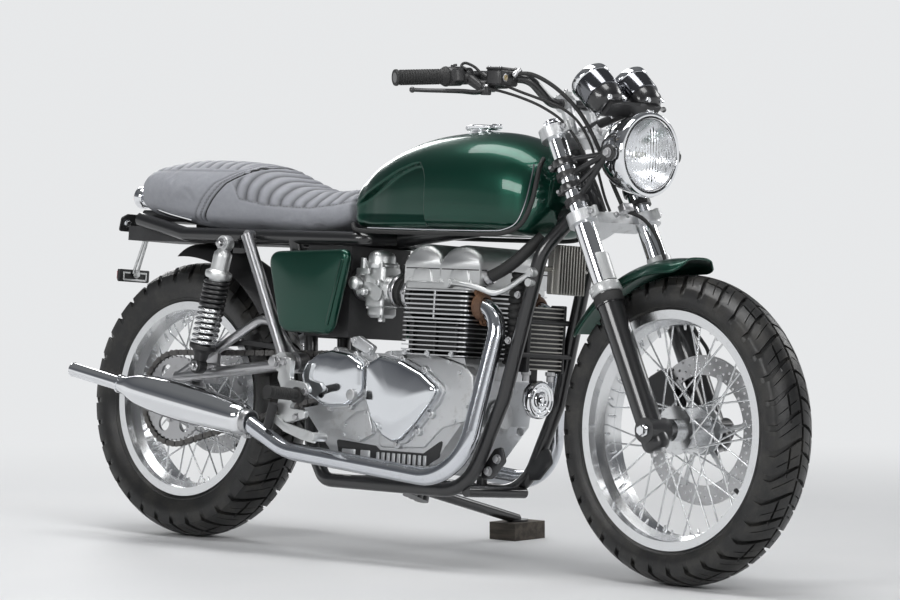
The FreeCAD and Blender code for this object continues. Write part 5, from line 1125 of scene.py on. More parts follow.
@dataclass
class Seat:
    """Leather seat with a hump: padded by a cloth simulation, then sewn.

    Attributes:
        stations: Share of length, half width, bottom and top for each section.
        seam: Pairs of height and place ahead of the seam between hump and seat.
        panel: Pairs of place ahead and height of the ribbed panel's edge.
        voxel: Grain of the remeshed form in metres.
        pressure: Pressure that swells the leather.
        frames: Frames of the simulation.
        most: Farthest that the leather may move, in metres.
    """

    rear: float = -174.0
    front: float = 537.0
    half_width: float = 122.0
    bottom: float = 729.0
    top: float = 886.0
    rib: float = 33.0
    stations: tuple[tuple[float, float, float, float], ...] = (
        (0.0, 0.4, 0.34, 0.6), (0.012, 0.62, 0.29, 0.76), (0.036, 0.76, 0.25, 0.875),
        (0.085, 0.89, 0.18, 0.94), (0.16, 0.97, 0.13, 0.975), (0.24, 1.0, 0.09, 0.995),
        (0.33, 1.0, 0.04, 1.0), (0.42, 0.99, 0.01, 0.99), (0.5, 0.975, 0.0, 0.965),
        (0.56, 0.955, 0.0, 0.925), (0.604, 0.935, 0.0, 0.865), (0.677, 0.9, 0.0, 0.745),
        (0.75, 0.86, 0.0, 0.635), (0.822, 0.82, 0.015, 0.575), (0.896, 0.78, 0.05, 0.565),
        (0.963, 0.72, 0.1, 0.61), (1.0, 0.62, 0.16, 0.63))
    seam: tuple[Pair, ...] = ((747, 78), (790, 114), (832, 156), (856, 203), (868, 234), (890, 252))
    panel: tuple[Pair, ...] = (
        (150, 870), (176, 835), (205, 796), (285, 783), (415, 779), (500, 790), (560, 806))
    voxel: float = 0.0055
    pressure: float = 4.0
    frames: int = 20
    most: float = 0.006

    def _section(self, along: float, wide: float, low: float, high: float) -> list[Vector]:
        """One closed section of the foam.

        Args:
            along: Share of the length.
            wide: Share of the half width.
            low: Share of the height of its bottom.
            high: Share of the height of its top.

        Returns:
            Its points in order.
        """
        x = self.rear + (self.front - self.rear) * along
        bottom = self.bottom + (self.top - self.bottom) * low
        top = self.bottom + (self.top - self.bottom) * high
        middle = bottom + (top - bottom) * 0.42
        ring = []
        for angle in round_angles(44):
            side, rise = squared(angle, 2.5, 4.2)
            reach = top - middle if rise > 0 else middle - bottom
            y = side * self.half_width * wide * (1 - 0.06 * max(0, -rise))
            ring.append(Vector((x, y, middle + rise * reach)))
        return ring

    def _form(self) -> bpy.types.Object:
        """The foam's plain form, with sections drawn closely."""
        rows = np.array(self.stations)
        shares = sorted(set(np.linspace(0, 1, 60).tolist()) | {0.008, 0.03})
        rings = []
        for share in shares:
            values = [table(share, list(zip(rows[:, 0], rows[:, column]))) for column in (1, 2, 3)]
            rings.append(self._section(share, *values))
        return Solid.loft(rings).piece("seat_cover", CHASSIS, [Finish.LEATHER], replaces=["seat"])

    def _puff(self, made: bpy.types.Object) -> None:
        """Swell the leather over the foam by a cloth simulation, capped and applied.

        Args:
            made: The seat cover.
        """
        remesh = made.modifiers.new("remesh", "REMESH")
        remesh.mode = "VOXEL"
        remesh.voxel_size = self.voxel
        self._apply(made)
        count = len(made.data.vertices)
        before = np.zeros(count * 3)
        made.data.vertices.foreach_get("co", before)
        cloth = made.modifiers.new("cloth", "CLOTH")
        cloth.settings.use_pressure = True
        cloth.settings.uniform_pressure_force = self.pressure
        cloth.settings.effector_weights.gravity = 0.0
        cloth.settings.tension_stiffness = cloth.settings.compression_stiffness = 40.0
        cloth.point_cache.frame_start, cloth.point_cache.frame_end = 1, self.frames
        for number in range(1, self.frames + 1):
            bpy.context.scene.frame_set(number)
        self._apply(made)
        bpy.context.scene.frame_set(1)
        after = np.zeros(count * 3)
        made.data.vertices.foreach_get("co", after)
        move = (after - before).reshape(-1, 3)
        far = np.linalg.norm(move, axis=1, keepdims=True)
        move *= np.minimum(1.0, self.most / np.maximum(far, 1e-09))
        made.data.vertices.foreach_set("co", (before.reshape(-1, 3) + move).ravel())
        finer = made.modifiers.new("finer", "SUBSURF")
        finer.levels = finer.render_levels = 1
        self._apply(made)

    @staticmethod
    def _apply(made: bpy.types.Object) -> None:
        """Apply all modifiers of a piece.

        Args:
            made: The piece.
        """
        bpy.context.view_layer.update()
        graph = bpy.context.evaluated_depsgraph_get()
        mesh = bpy.data.meshes.new_from_object(made.evaluated_get(graph))
        made.modifiers.clear()
        made.data = mesh

    def _depth(self, point: Vector) -> float:
        """How far sewing draws the leather in at a point.

        Args:
            point: The point in millimetres.

        Returns:
            The depth in millimetres.
        """
        x, y, z = point
        if z < 742:
            return 0.0
        seam = table(z, self.seam)
        depth = 4.2 * math.exp(-((x - seam) / 3.6) ** 2)
        for behind in (14, 34):
            depth += 2.4 * math.exp(-((x - seam + behind) / 2.6) ** 2)
        edge = table(x, self.panel)
        inside = smooth_step(z, edge, edge + 3) * smooth_step(x, seam + 9, seam + 16)
        depth += 1.6 * math.exp(-((z - edge) / 2.6) ** 2) * smooth_step(x, seam + 6, seam + 12)
        bow = x + abs(y) ** 1.6 * 0.022
        depth += inside * 6.6 * (1 - abs(math.sin(math.pi * bow / self.rib)) ** 0.5)
        behind_seam = smooth_step(-x, -seam + 40, -seam + 48)
        hump = smooth_step(z, 858, 864) * smooth_step(-abs(y), -92, -84) * behind_seam
        depth += hump * 5.2 * (1 - abs(math.sin(math.pi * x / self.rib)) ** 0.5)
        depth += 1.2 * math.exp(-((z - 861) / 2.4) ** 2) * smooth_step(-x, -seam + 38, -seam + 46)
        return depth

    def _sew(self, made: bpy.types.Object) -> None:
        """Draw seams and ribs into the leather, and keep their depth as the mask of the painted shade in
        them.

        Args:
            made: The seat cover.
        """
        mesh = made.data
        normals = [vertex.normal.copy() for vertex in mesh.vertices]
        # the crease attribute carries the depth of seams and grooves to the leather's painted shade
        crease = mesh.attributes.new("crease", "FLOAT", "POINT")
        for index, (vertex, normal) in enumerate(zip(mesh.vertices, normals)):
            depth = self._depth(vertex.co / MILLIMETRE)
            crease.data[index].value = min(1.0, depth / 4.0)
            vertex.co -= normal * depth * MILLIMETRE
        mesh.polygons.foreach_set("use_smooth", [True] * len(mesh.polygons))

    def _on_skin(self, made: bpy.types.Object, x: float, angle: float, lift: float) -> Vector | None:
        """Point of the leather seen from the section's middle at an angle.

        Args:
            made: The seat cover.
            x: Place ahead.
            angle: Angle from the left side.
            lift: Height over the leather.

        Returns:
            The point, or None beside the leather.
        """
        middle = Vector((x, 0, 790)) * MILLIMETRE
        aim = Vector((0, math.cos(angle), math.sin(angle)))
        hit, place, normal, _ = made.ray_cast(middle + aim * 0.4, -aim)
        return (place + normal * lift * MILLIMETRE) / MILLIMETRE if hit else None

    def _seam_line(self, made: bpy.types.Object, behind: float, lift: float) -> list[Vector]:
        """Line along the seam over the seat, from side to side.

        Args:
            made: The seat cover.
            behind: Distance behind the seam.
            lift: Height over the leather.

        Returns:
            Points of the line.
        """
        line = []
        for step in range(121):
            angle = math.pi * (-0.11 + 1.22 * step / 120)
            x = 200.0
            for _ in range(6):
                point = self._on_skin(made, x, angle, lift)
                if point is None:
                    break
                x = table(point.z, self.seam) - behind
            if point is not None and point.z > 745:
                line.append(point)
        return line

    def _panel_line(self, made: bpy.types.Object, side: int) -> list[Vector]:
        """Line along the ribbed panel's edge on one side.

        Args:
            made: The seat cover.
            side: 1 for left and -1 for right.

        Returns:
            Points of the line.
        """
        line = []
        for step in range(70):
            x = 190 + 330 * step / 69
            edge = table(x, self.panel)
            start = Vector((x, side * 200, edge)) * MILLIMETRE
            hit, place, normal, _ = made.ray_cast(start, Vector((0, -side, 0)))
            if hit:
                line.append((place + normal * 0.3 * MILLIMETRE) / MILLIMETRE)
        return line

    @staticmethod
    def _stitches(line: Sequence[Vector], pitch: float = 6.0) -> Solid:
        """Thread stitches along a line.

        Args:
            line: Points of the line.
            pitch: Distance between stitches.

        Returns:
            The stitches.
        """
        solid = Solid()
        gathered = 0.0
        start = line[0]
        for before, after in zip(line, line[1:]):
            gathered += (after - before).length
            if gathered >= pitch:
                along = (after - start).normalized()
                end = start + along * pitch * 0.66
                raised = start.lerp(end, 0.5) + Vector((0, 0, 0.25))
                solid.put_tube([start - along * 0.3, raised, end], 0.55, 5)
                start, gathered = after, 0.0
        return solid

    def build(self) -> None:
        """Build the seat, its piping and its thread."""
        made = self._form()
        self._puff(made)
        self._sew(made)
        bpy.context.view_layer.update()
        Solid.tube(self._seam_line(made, 0, 0.4), 2.1, 8).piece("seat_piping", CHASSIS, [Finish.RUBBER])
        thread = Solid()
        for behind in (11, 17, 31):
            thread.add(self._stitches(self._seam_line(made, behind, 0.3)))
        for side in (-1, 1):
            thread.add(self._stitches(self._panel_line(made, side)))
        thread.piece("seat_thread", CHASSIS, [Finish.THREAD])


@dataclass
class Tank:
    """Pressed steel fuel tank with knee recesses, rubber edging and a hinged cap."""

    rear: float = 540.0
    front: float = 1118.0
    half_width: float = 138.0
    bottom: float = 731.0
    top: float = 962.0
    crease: float = 818.0
    recess: float = 21.0
    stations: tuple[tuple[float, float, float, float], ...] = (
        (0.0, 0.3, 0.16, 0.3), (0.03, 0.58, 0.06, 0.46), (0.1, 0.76, 0.02, 0.64), (0.22, 0.9, 0.0, 0.81),
        (0.35, 0.96, 0.0, 0.92), (0.5, 1.0, 0.0, 0.98), (0.65, 1.0, 0.0, 1.0), (0.78, 0.95, 0.0, 0.97),
        (0.88, 0.86, 0.0, 0.89), (0.95, 0.72, 0.03, 0.78), (1.0, 0.42, 0.25, 0.66))

    def _values(self, share: float) -> list[float]:
        """Smooth half width, bottom and top at a share of the length.

        Args:
            share: The share.

        Returns:
            Shares of half width, bottom and top.
        """
        rows = np.array(self.stations)
        values = []
        for column in (1, 2, 3):
            xs, ys = rows[:, 0], rows[:, column]
            slopes = np.gradient(ys, xs)
            index = int(min(max(np.searchsorted(xs, share) - 1, 0), len(xs) - 2))
            gap = xs[index + 1] - xs[index]
            t = (share - xs[index]) / gap
            values.append(float(
                (2 * t ** 3 - 3 * t ** 2 + 1) * ys[index] + (t ** 3 - 2 * t ** 2 + t) * gap * slopes[index]
                + (3 * t ** 2 - 2 * t ** 3) * ys[index + 1] + (t ** 3 - t ** 2) * gap * slopes[index + 1]))
        return values

    def _recessed(self, x: float, z: float) -> float:
        """How far the side is pressed in for the knee.

        Args:
            x: Place ahead.
            z: Height.

        Returns:
            The depth in millimetres.
        """
        crease = table(z, ((731, 818), (773, 818), (846, 815), (865, 806), (884, 788)))
        ahead = smooth_step(-x, -crease, -crease + 7)
        fade = smooth_step(x, self.rear + 8, self.rear + 90)
        ceiling = table(x, ((560, 788), (620, 818), (668, 842), (712, 867), (757, 884), (797, 888),
                            (818, 884)))
        below = smooth_step(-z, -ceiling, -ceiling + 11)
        above = smooth_step(z, self.bottom + 4, self.bottom + 40)
        return self.recess * ahead * fade * below * above

    def _ring(self, share: float) -> list[Vector]:
        """One section of the tank.

        Args:
            share: Share of the length.

        Returns:
            Its points in order.
        """
        x = self.rear + (self.front - self.rear) * share
        wide, low, high = self._values(share)
        bottom = self.bottom + (self.top - self.bottom) * low
        top = self.bottom + (self.top - self.bottom) * high
        middle = bottom + (top - bottom) * 0.38
        ring = []
        for angle in round_angles(240):
            side, rise = squared(angle, 2.3, 4.5)
            z = middle + rise * (top - middle if rise > 0 else middle - bottom)
            y = side * self.half_width * wide
            y -= math.copysign(self._recessed(x, z) * abs(side) ** 3, y)
            ring.append(Vector((x, y, z)))
        return ring

    def build(self) -> None:
        """Build shell, edging and cap."""
        length = self.front - self.rear
        shares = set(np.linspace(0, 1, 90).tolist())
        shares |= {(self.crease - off - self.rear) / length for off in np.linspace(-2, 38, 28)}
        shares |= {0.004, 0.015, 0.985, 0.995}
        rings = [self._ring(share) for share in sorted(shares)]
        Solid.loft(rings).piece("fuel_tank_shell", CHASSIS, [Finish.GREEN], sharp=60, replaces=["fuel_tank"])
        self._edging()
        self._cap()

    def _edging(self) -> None:
        """Rubber edging under the sides and up the front, and a polished strip beside it that paints the
        highlight on the tank's lip.
        """
        line = [(556, -88, 745), (580, -104, 733), (640, -124, 729), (760, -134, 728), (900, -136, 728),
                (1010, -130, 729), (1062, -121, 737), (1090, -111, 758), (1104, -101, 800), (1108, -92, 850),
                (1102, -78, 882), (1096, -60, 900)]
        Solid.tube(curved(line, 7), 5.2, 10).both().piece("tank_edging", CHASSIS, [Finish.RUBBER])
        # painted highlight: a polished strip stands for the bright line of light along the tank's lower lip
        # and front edge
        strip = [(640, -126.5, 737), (760, -136, 736), (900, -138, 736), (1010, -132.5, 737),
                 (1050, -126, 741), (1078, -117, 758), (1092, -108, 800), (1097, -99, 850), (1092, -86, 886)]
        Solid.tube(curved(strip, 7), 1.8, 8).both().piece("tank_lip_highlight", CHASSIS, [Finish.POLISHED])

    def _cap(self) -> None:
        """Filler neck, lid, hinge and latch."""
        solid = Solid.lathe([(0, -6), (33, -6), (33, 4), (30, 6), (30, 9), (37, 10), (38, 12), (38, 17),
                             (36, 19), (25, 20.5), (0, 21.5)], 56)
        solid.add(Solid.prism(rounded([(-48, -9), (-30, -12), (-30, 12), (-48, 9)], 3), 8, 19, 2))
        solid.add(Solid.prism(rounded([(26, -7), (50, -6), (50, 6), (26, 7)], 3), 13, 23, 2))
        solid.put_tube([(-44, -11, 13), (-44, 11, 13)], 4.2, 12)
        solid.placed(aimed((862, 0, 957))).piece(
            "fuel_cap_lid", CHASSIS, [Finish.CHROME], bevel=0.4, replaces=["fuel_cap"])


def side_plate(outline: Sequence[Pair], inner: float, outer: float, edge: float = 2.0, slot: int = 0,
               crown: float = 0.0) -> Solid:
    """Plate on the machine's right side from an outline of places ahead and up.

    Args:
        outline: The outline in X and Z.
        inner: Distance from the middle plane of its inner face.
        outer: The same for its outer face.
        edge: Radius of its rims.
        slot: Finish slot.
        crown: Bulge of the outer face.

    Returns:
        The plate.
    """
    turn = Matrix(((1, 0, 0, 0), (0, 0, -1, 0), (0, 1, 0, 0), (0, 0, 0, 1)))
    return Solid.prism(outline, inner, outer, edge, slot, crown).placed(turn)


def drawn_in(outline: Sequence[Pair], share: float) -> list[Pair]:
    """An outline made smaller about its middle."""
    x, z = (sum(point[axis] for point in outline) / len(outline) for axis in (0, 1))
    return [(x + (point[0] - x) * share, z + (point[1] - z) * share) for point in outline]


def right_bolts(places: Iterable[Pair], face: float, radius: float = 4.5, hexagon: bool = False,
                slot: int = 0) -> Solid:
    """Screws on a face of the right side at places ahead and up.

    Args:
        places: Places ahead and up.
        face: Distance of the face from the middle plane.
        radius: Radius of a head.
        hexagon: Hexagon heads in place of round ones.
        slot: Finish slot.

    Returns:
        The screws.
    """
    head = Solid.hex_bolt(radius, radius, slot) if hexagon else Solid.socket_bolt(radius, radius, slot)
    solid = Solid()
    for number, (x, z) in enumerate(places):
        solid.add(head, aimed((x, -face, z), (0, -1, 0), number * 17))
    return solid


@dataclass
class Engine:
    """Air-cooled twin: covers, finned barrel and head, cam domes, carburettors and pipes.

    Attributes:
        case: Half width of the crankcase.
        clutch: Corners of the triangular cover, ahead and up.
        oval: Corners of the gearbox cover.
        dynamo: Middle of the alternator cover, ahead and up.
    """

    case: float = 112.0
    fin_front: float = 960.0
    fin_rear: float = 764.0
    fin_half: float = 140.0
    fin_pitch: float = 10.3
    dynamo: Pair = (792, 348)
    clutch: tuple[Pair, ...] = ((674, 436), (716, 457), (784, 447), (850, 423), (905, 388), (888, 356),
                                (838, 300), (796, 262), (768, 256), (738, 268), (700, 304), (676, 350))
    oval: tuple[Pair, ...] = ((460, 398), (476, 426), (513, 451), (560, 461), (622, 453), (664, 432),
                              (666, 366), (614, 331), (544, 325), (484, 352))

    def build(self) -> None:
        """Build every part of the engine."""
        self._covers()
        self._case()
        self._fins()
        self._cams()
        self._carburettors()
        self._plumbing()

    def _covers(self) -> None:
        """Mirror-polished covers on bolted rims."""
        outline = rounded(self.clutch, 20, 5)
        solid = side_plate(outline, self.case - 2, self.case + 15, 2.5, 1)
        solid.add(side_plate(drawn_in(outline, 0.95), self.case + 10, self.case + 40, 13, 0, 8))
        rim = [(837, 424), (879, 386), (864, 329), (828, 289), (768, 257), (682, 334), (721, 284),
               (690, 444), (768, 446)]
        for place in rim:
            solid.add(side_plate(circle(10.5, 18, place), self.case - 2, self.case + 17, 2, 1))
        solid.add(right_bolts(rim, self.case + 16.5, 5.4, slot=2))
        solid.piece("clutch_cover_polished", CHASSIS, [Finish.POLISHED, Finish.ALLOY, Finish.STEEL],
                    bevel=0.5, replaces=["clutch_cover"])
        outline = rounded(self.oval, 22, 5)
        solid = side_plate(outline, self.case - 30, self.case + 12, 2.5, 1)
        solid.add(side_plate(drawn_in(outline, 0.95), self.case + 8, self.case + 31, 13, 0, 7))
        solid.add(side_plate(circle(13, 24, (637, 360)), self.case + 26, self.case + 39, 2, 1))
        rim = [(480, 424), (560, 457), (622, 450), (660, 430), (662, 370), (612, 334), (546, 328),
               (488, 354)]
        for place in rim:
            solid.add(side_plate(circle(8.5, 16, place), self.case - 20, self.case + 14, 2, 1))
        solid.add(right_bolts(rim, self.case + 13.5, 4.6, slot=2))
        solid.piece("gearbox_cover_polished", CHASSIS, [Finish.POLISHED, Finish.ALLOY, Finish.STEEL],
                    bevel=0.5, replaces=["sprocket_cover"])
        mirror = Matrix.Scale(-1, 4, (0, 1, 0))
        left = side_plate(circle(96, 64, self.dynamo), self.case - 2, self.case + 16, 3, 1)
        left.add(side_plate(circle(88, 64, self.dynamo), self.case + 12, self.case + 40, 16, 0, 8))
        left.add(side_plate(circle(26, 32, self.dynamo), self.case + 46, self.case + 53, 3))
        left.add(right_bolts(circle(91, 8, self.dynamo), self.case + 15, 4.8, slot=1))
        left.placed(mirror).piece("alternator_cover_polished", CHASSIS, [Finish.POLISHED, Finish.ALLOY],
                                  bevel=0.5, replaces=["alternator_cover"])

    def _case(self) -> None:
        """Cast ribs, side bulges, finned sump, plugs and screws of the crankcase, and a black plate that
        paints the shadow below the covers.
        """
        bulge = rounded([(700, 462), (765, 467), (848, 464), (944, 443), (978, 417), (984, 345), (968, 319),
                         (893, 300), (840, 252), (700, 246)], 16, 6)
        solid = side_plate(bulge, self.case - 30, self.case + 6, 7)
        plate = rounded([(587, 293), (630, 323), (668, 330), (689, 276), (645, 256), (596, 262)], 8, 4)
        solid.add(side_plate(plate, self.case - 20, self.case + 10, 3, 0, 2))
        solid.add(right_bolts([(598, 269), (645, 264), (600, 291), (685, 284), (662, 322)], self.case + 10,
                              4.4))
        arm = rounded([(606, 489), (627, 493), (677, 470), (665, 450), (608, 470)], 5, 3)
        solid.add(side_plate(arm, self.case - 4, self.case + 12, 3))
        solid.add(right_bolts([(616, 482), (664, 462)], self.case + 12, 6, True))
        solid.add(right_bolts([(938, 424), (964, 352), (930, 316), (842, 458), (905, 446), (728, 458)],
                              self.case + 6, 4.8))
        # painted shadow: a thin satin-black plate on the case below the covers
        painted_shadow = rounded([(566, 258), (690, 250), (704, 241), (838, 241), (896, 276), (884, 234), (848, 213),
                          (580, 213)], 6, 3)
        solid.add(side_plate(painted_shadow, self.case - 3, self.case + 1.5, 1), slot=1)
        for x in range(700, 850, 16):
            solid.put_block((9, 5, 22), (x, -self.case - 2, 225), 2)
        for x, width in ((608, 42), (660, 30)):
            solid.put_block((width, 6, 24), (x, -self.case - 1, 226), 3)
        both = Solid.block((230, 176, 30), (760, 0, 214), 12)
        for index in range(11):
            both.put_block((5, 184, 34), (664 + index * 19, 0, 212), 1.5)
        both.put_turned([(16, 0), (16, 6), (12, 8), (12, 14)], (720, -40, 199), (0, 0, -1), 6)
        drum = [(0, 0), (34, 0), (36, 3), (36, 58), (33, 62), (26, 64), (24, 68), (0, 68)]
        both.put_turned(drum, (648, -20, 244), (0, 0, -1), 36, 1)
        lid = [(0, 0), (38, 0), (38, 5), (30, 9), (26, 20), (0, 22)]
        both.put_turned(lid, (955, 0, 330), (1, 0, 0), 40)
        for side in (-64, 64):
            both.put_turned([(9, 0), (9, 7), (0, 8)], (958, side, 300), (1, 0, 0), 6)
        for x in (520, 640, 760, 880):
            both.put_block((8, 216, 10), (x, 0, 452 if x > 600 else 448), 3)
        solid.add(both).piece("crankcase_details", CHASSIS, [Finish.ALLOY, Finish.SATIN], bevel=0.5)

    def _fin(self, level: float, thick: float, grow: float, rear_notch: float) -> Solid:
        """One cooling fin: dark faces with a bare edge.

        Args:
            level: Height of its lower face.
            thick: Thickness.
            grow: How far it stands out beyond the barrel's fins.
            rear_notch: Radius of its corners.

        Returns:
            The fin.
        """
        low, high = self.fin_rear - grow, self.fin_front + grow
        half = self.fin_half + grow
        corners = [(low, -half), (high, -half), (high, half), (low, half)]
        outline = rounded(corners, [rear_notch, 20, 20, rear_notch], 5)
        fin = Solid.prism(outline, level, level + thick, 0.0, 1)
        fin.slots[-2:] = [0, 0]
        return fin

    def _fins(self) -> None:
        """Finned barrel and head around dark cores."""
        barrel = Solid.block((176, 250, 82), (862, 0, 498), 20)
        for index in range(8):
            barrel.add(self._fin(458.5 + index * self.fin_pitch, 2.6, 0, 26))
        for side in (-1, 1):
            for x in (800, 868, 932):
                barrel.put_block((6, 9, 78), (x, side * 128, 497), 2)
        barrel.add(right_bolts([(789, 463), (858, 463), (930, 463)], 141, 5, True, 1))
        barrel.piece("cylinder_fins", CHASSIS, [Finish.SATIN, Finish.FIN], replaces=["cylinder_block"])
        head = Solid.block((178, 252, 70), (862, 0, 570), 20)
        for index in range(7):
            head.add(self._fin(538.5 + index * self.fin_pitch, 3.4, 1.0, 30))
        for side in (-1, 1):
            head.put_block((5, 8, 64), (868, side * 136, 570), 1.5, 1)
        deck = rounded([(756, -126), (968, -126), (968, 126), (756, 126)], 24, 6)
        head.add(Solid.prism(deck, 602, 622, 4, 2))
        for x in (774, 862, 950):
            for side in (-1, 1):
                head.put_turned([(10, 0), (10, 5), (7, 7), (7, 12), (0, 13)], (x, side * 112, 622), sides=6,
                                slot=2)
        for side in (-1, 1):
            cap = [(0, 0), (10, 0), (11, 4), (11, 16), (8, 22), (8, 52), (5, 56), (0, 57)]
            head.put_turned(cap, (862, side * 62, 624), (0.0, side * 0.35, 1))
        for side in (-1, 1):
            ring = [(20, 0), (29, 0), (31, 3), (31, 10), (28, 13), (24, 18), (20, 18)]
            head.put_turned(ring, (962, side * 92, 572), (1, 0, 0), 32, 3, closed=True)
            for off in (-31, 31):
                y = side * 92 - off * 0.35
                head.put_turned([(11, 0), (12, 3), (12, 9), (0, 10)], (962, y, 572 + off), (1, 0, 0), slot=3)
                head.put_bolt(6, 9, (972, y, 572 + off), (1, 0, 0), 3)
        head.piece("cylinder_head_fins", CHASSIS, [Finish.SATIN, Finish.FIN, Finish.CASTING, Finish.RUSTY],
                   replaces=["cylinder_head"])

    def _cams(self) -> None:
        """Two domed cam boxes with rounded ends and a dark joint line."""
        solid = Solid()
        for x, wide in ((809, 57), (921, 62)):
            rings = []
            for step in range(33):
                y = -118 + 236 * step / 32
                near = min(1.0, (118 - abs(y)) / 26)
                full = 0.62 + 0.38 * math.sqrt(max(0.0, 1 - (1 - near) ** 2.4))
                reach = wide * (0.9 + 0.1 * full)
                ring = []
                for index in range(25):
                    angle = math.pi * index / 24
                    height = 652 + math.sin(angle) ** 0.86 * 53 * full
                    ring.append(Vector((x + math.cos(angle) * reach, y, height)))
                ring += [Vector((x - reach, y, 616)), Vector((x + reach, y, 616))]
                rings.append(ring)
            solid.add(Solid.loft(rings))
            plate = rounded([(x - 34, 612), (x - 26, 650), (x + 26, 650), (x + 34, 612)], 12, 5)
            solid.add(side_plate(plate, 108, 121, 4).both())
            base = rounded([(x - wide - 2, -120), (x + wide + 2, -120), (x + wide + 2, 120),
                            (x - wide - 2, 120)], 18, 6)
            solid.add(Solid.prism(base, 649, 651.5, 0.6, 1))
            for side in (-1, 1):
                for off in (-44, 44):
                    solid.put_screw(5, 6, (x + off, side * 96, 650))
        solid.piece("cam_domes", CHASSIS, [Finish.CASTING, Finish.SATIN], sharp=50, replaces=["cam_cover"])

    def _carburettors(self) -> None:
        """Pair of carburettors with domed tops, bowls, rubbers and clamps."""
        one = Solid()
        one.put_turned([(35, 0), (36, 3), (36, 8), (32, 12), (31, 26), (27, 34), (18, 39), (0, 41)],
                       (628, -62, 648), sides=36)
        for angle in (45, 135, 225, 315):
            x, y = 628 + 33 * math.cos(math.radians(angle)), -62 + 33 * math.sin(math.radians(angle))
            one.put_block((12, 12, 12), (x, y, 653), 3)
            one.put_screw(3.6, 4, (x, y, 659))
        one.put_block((66, 60, 50), (632, -62, 628), 12)
        one.put_turned([(29, -46), (31, -40), (31, 40), (29, 46)], (632, -62, 606), (1, 0, -0.12), 36)
        one.put_block((58, 56, 34), (634, -62, 574), 9)
        one.put_block((52, 50, 28), (636, -62, 550), 10)
        one.put_turned([(9, 0), (9, 10), (6, 12)], (636, -62, 538), (0, 0, -1), 6)
        for off in (-22, 22):
            one.put_screw(3.6, 4, (634 + off, -84, 560), (0, 0, -1))
            one.put_turned([(8, 0), (8, 12), (5, 14), (5, 20)], (634 + off, -92, 604 + off * 0.5),
                           (0, -1, 0), 14)
        one.put_turned([(13, 0), (15, 3), (15, 18), (10, 22), (0, 23)], (590, -94, 612), (0, -1, 0), 24)
        one.put_block((40, 6, 13), (608, -100, 640), 3)
        one.put_turned([(16, 0), (16, 4)], (650, -94, 590), (0, -1, 0), 24)
        one.put_block((12, 10, 40), (604, -96, 650), 3)
        one.both().piece("carburettor_bodies", CHASSIS, [Finish.CASTING], bevel=0.4,
                         replaces=["carburettors"])
        boot = Solid()
        ribs = [(0, 0), (36, 0), (36, 8), (32, 10), (32, 16), (35, 18), (35, 24), (31, 27), (31, 40),
                (34, 42), (34, 52), (38, 56), (38, 62), (0, 62)]
        boot.put_turned(ribs, (690, -62, 600), (1, 0, -0.12), 36)
        boot.put_turned([(36, 0), (36, 40), (30, 44)], (588, -62, 611), (-1, 0, 0.12), 36)
        for x, z in ((694, 599.5), (733, 595), (583, 611.5)):
            band = [(31, -6), (37.4, -6), (38.4, -4), (38.4, 4), (37.4, 6), (31, 6)]
            boot.put_turned(band, (x, -62, z), (1, 0, -0.12), 36, 1, closed=True)
            boot.put_block((8, 9, 9), (x, -100, z), 1.5, 1)
        boot.both().piece("intake_rubbers", CHASSIS, [Finish.RUBBER, Finish.STEEL])

    def _plumbing(self) -> None:
        """Oil pipe, breather hose and ribbed hose in front of the barrel."""
        pipe = [(905, -128, 619), (938, -130, 618), (982, -126, 612), (1022, -118, 602), (1052, -108, 612),
                (1090, -102, 636), (1112, -100, 648)]
        solid = Solid.tube(curved(pipe, 8), 6.2, 14)
        for place in ((903, -128, 619), (1116, -100, 650)):
            solid.put_turned([(10, -9), (11, -6), (11, 6), (10, 9)], place, (0, 1, 0))
            solid.put_turned([(9, 0), (9, 12)], place, (0, -1, 0), 6)
        solid.put_turned([(9, -8), (9, 8)], (1112, -100, 628), (0, 1, 0))
        solid.piece("oil_pipe", CHASSIS, [Finish.CASTING], bevel=0.4)
        hose = [(968, -96, 624), (988, -94, 636), (1024, -90, 654), (1056, -84, 676), (1082, -70, 706),
                (1096, -50, 730)]
        line = curved(hose, 8)
        solid = Solid.tube(line, 13.5, 18)
        solid.put_turned([(13, -6), (16, -6), (16, 6), (13, 6)], line[8], line[9] - line[7], 28, 1,
                         closed=True)
        solid.put_turned([(12, -8), (12, 10)], line[0], line[1] - line[0], slot=1)
        solid.piece("breather_hose", CHASSIS, [Finish.RUBBER, Finish.STEEL])
        line = curved([(1040, -50, 650), (1036, -52, 600), (1037, -54, 540), (1034, -54, 490),
                       (1028, -54, 446)], 36)
        ribbed = Solid.tube(line, lambda share: 15 + 5.0 * abs(math.sin(math.pi * share * 15)) ** 0.6, 20)
        ribbed.piece("ribbed_hose", CHASSIS, [Finish.RUBBER], sharp=60)


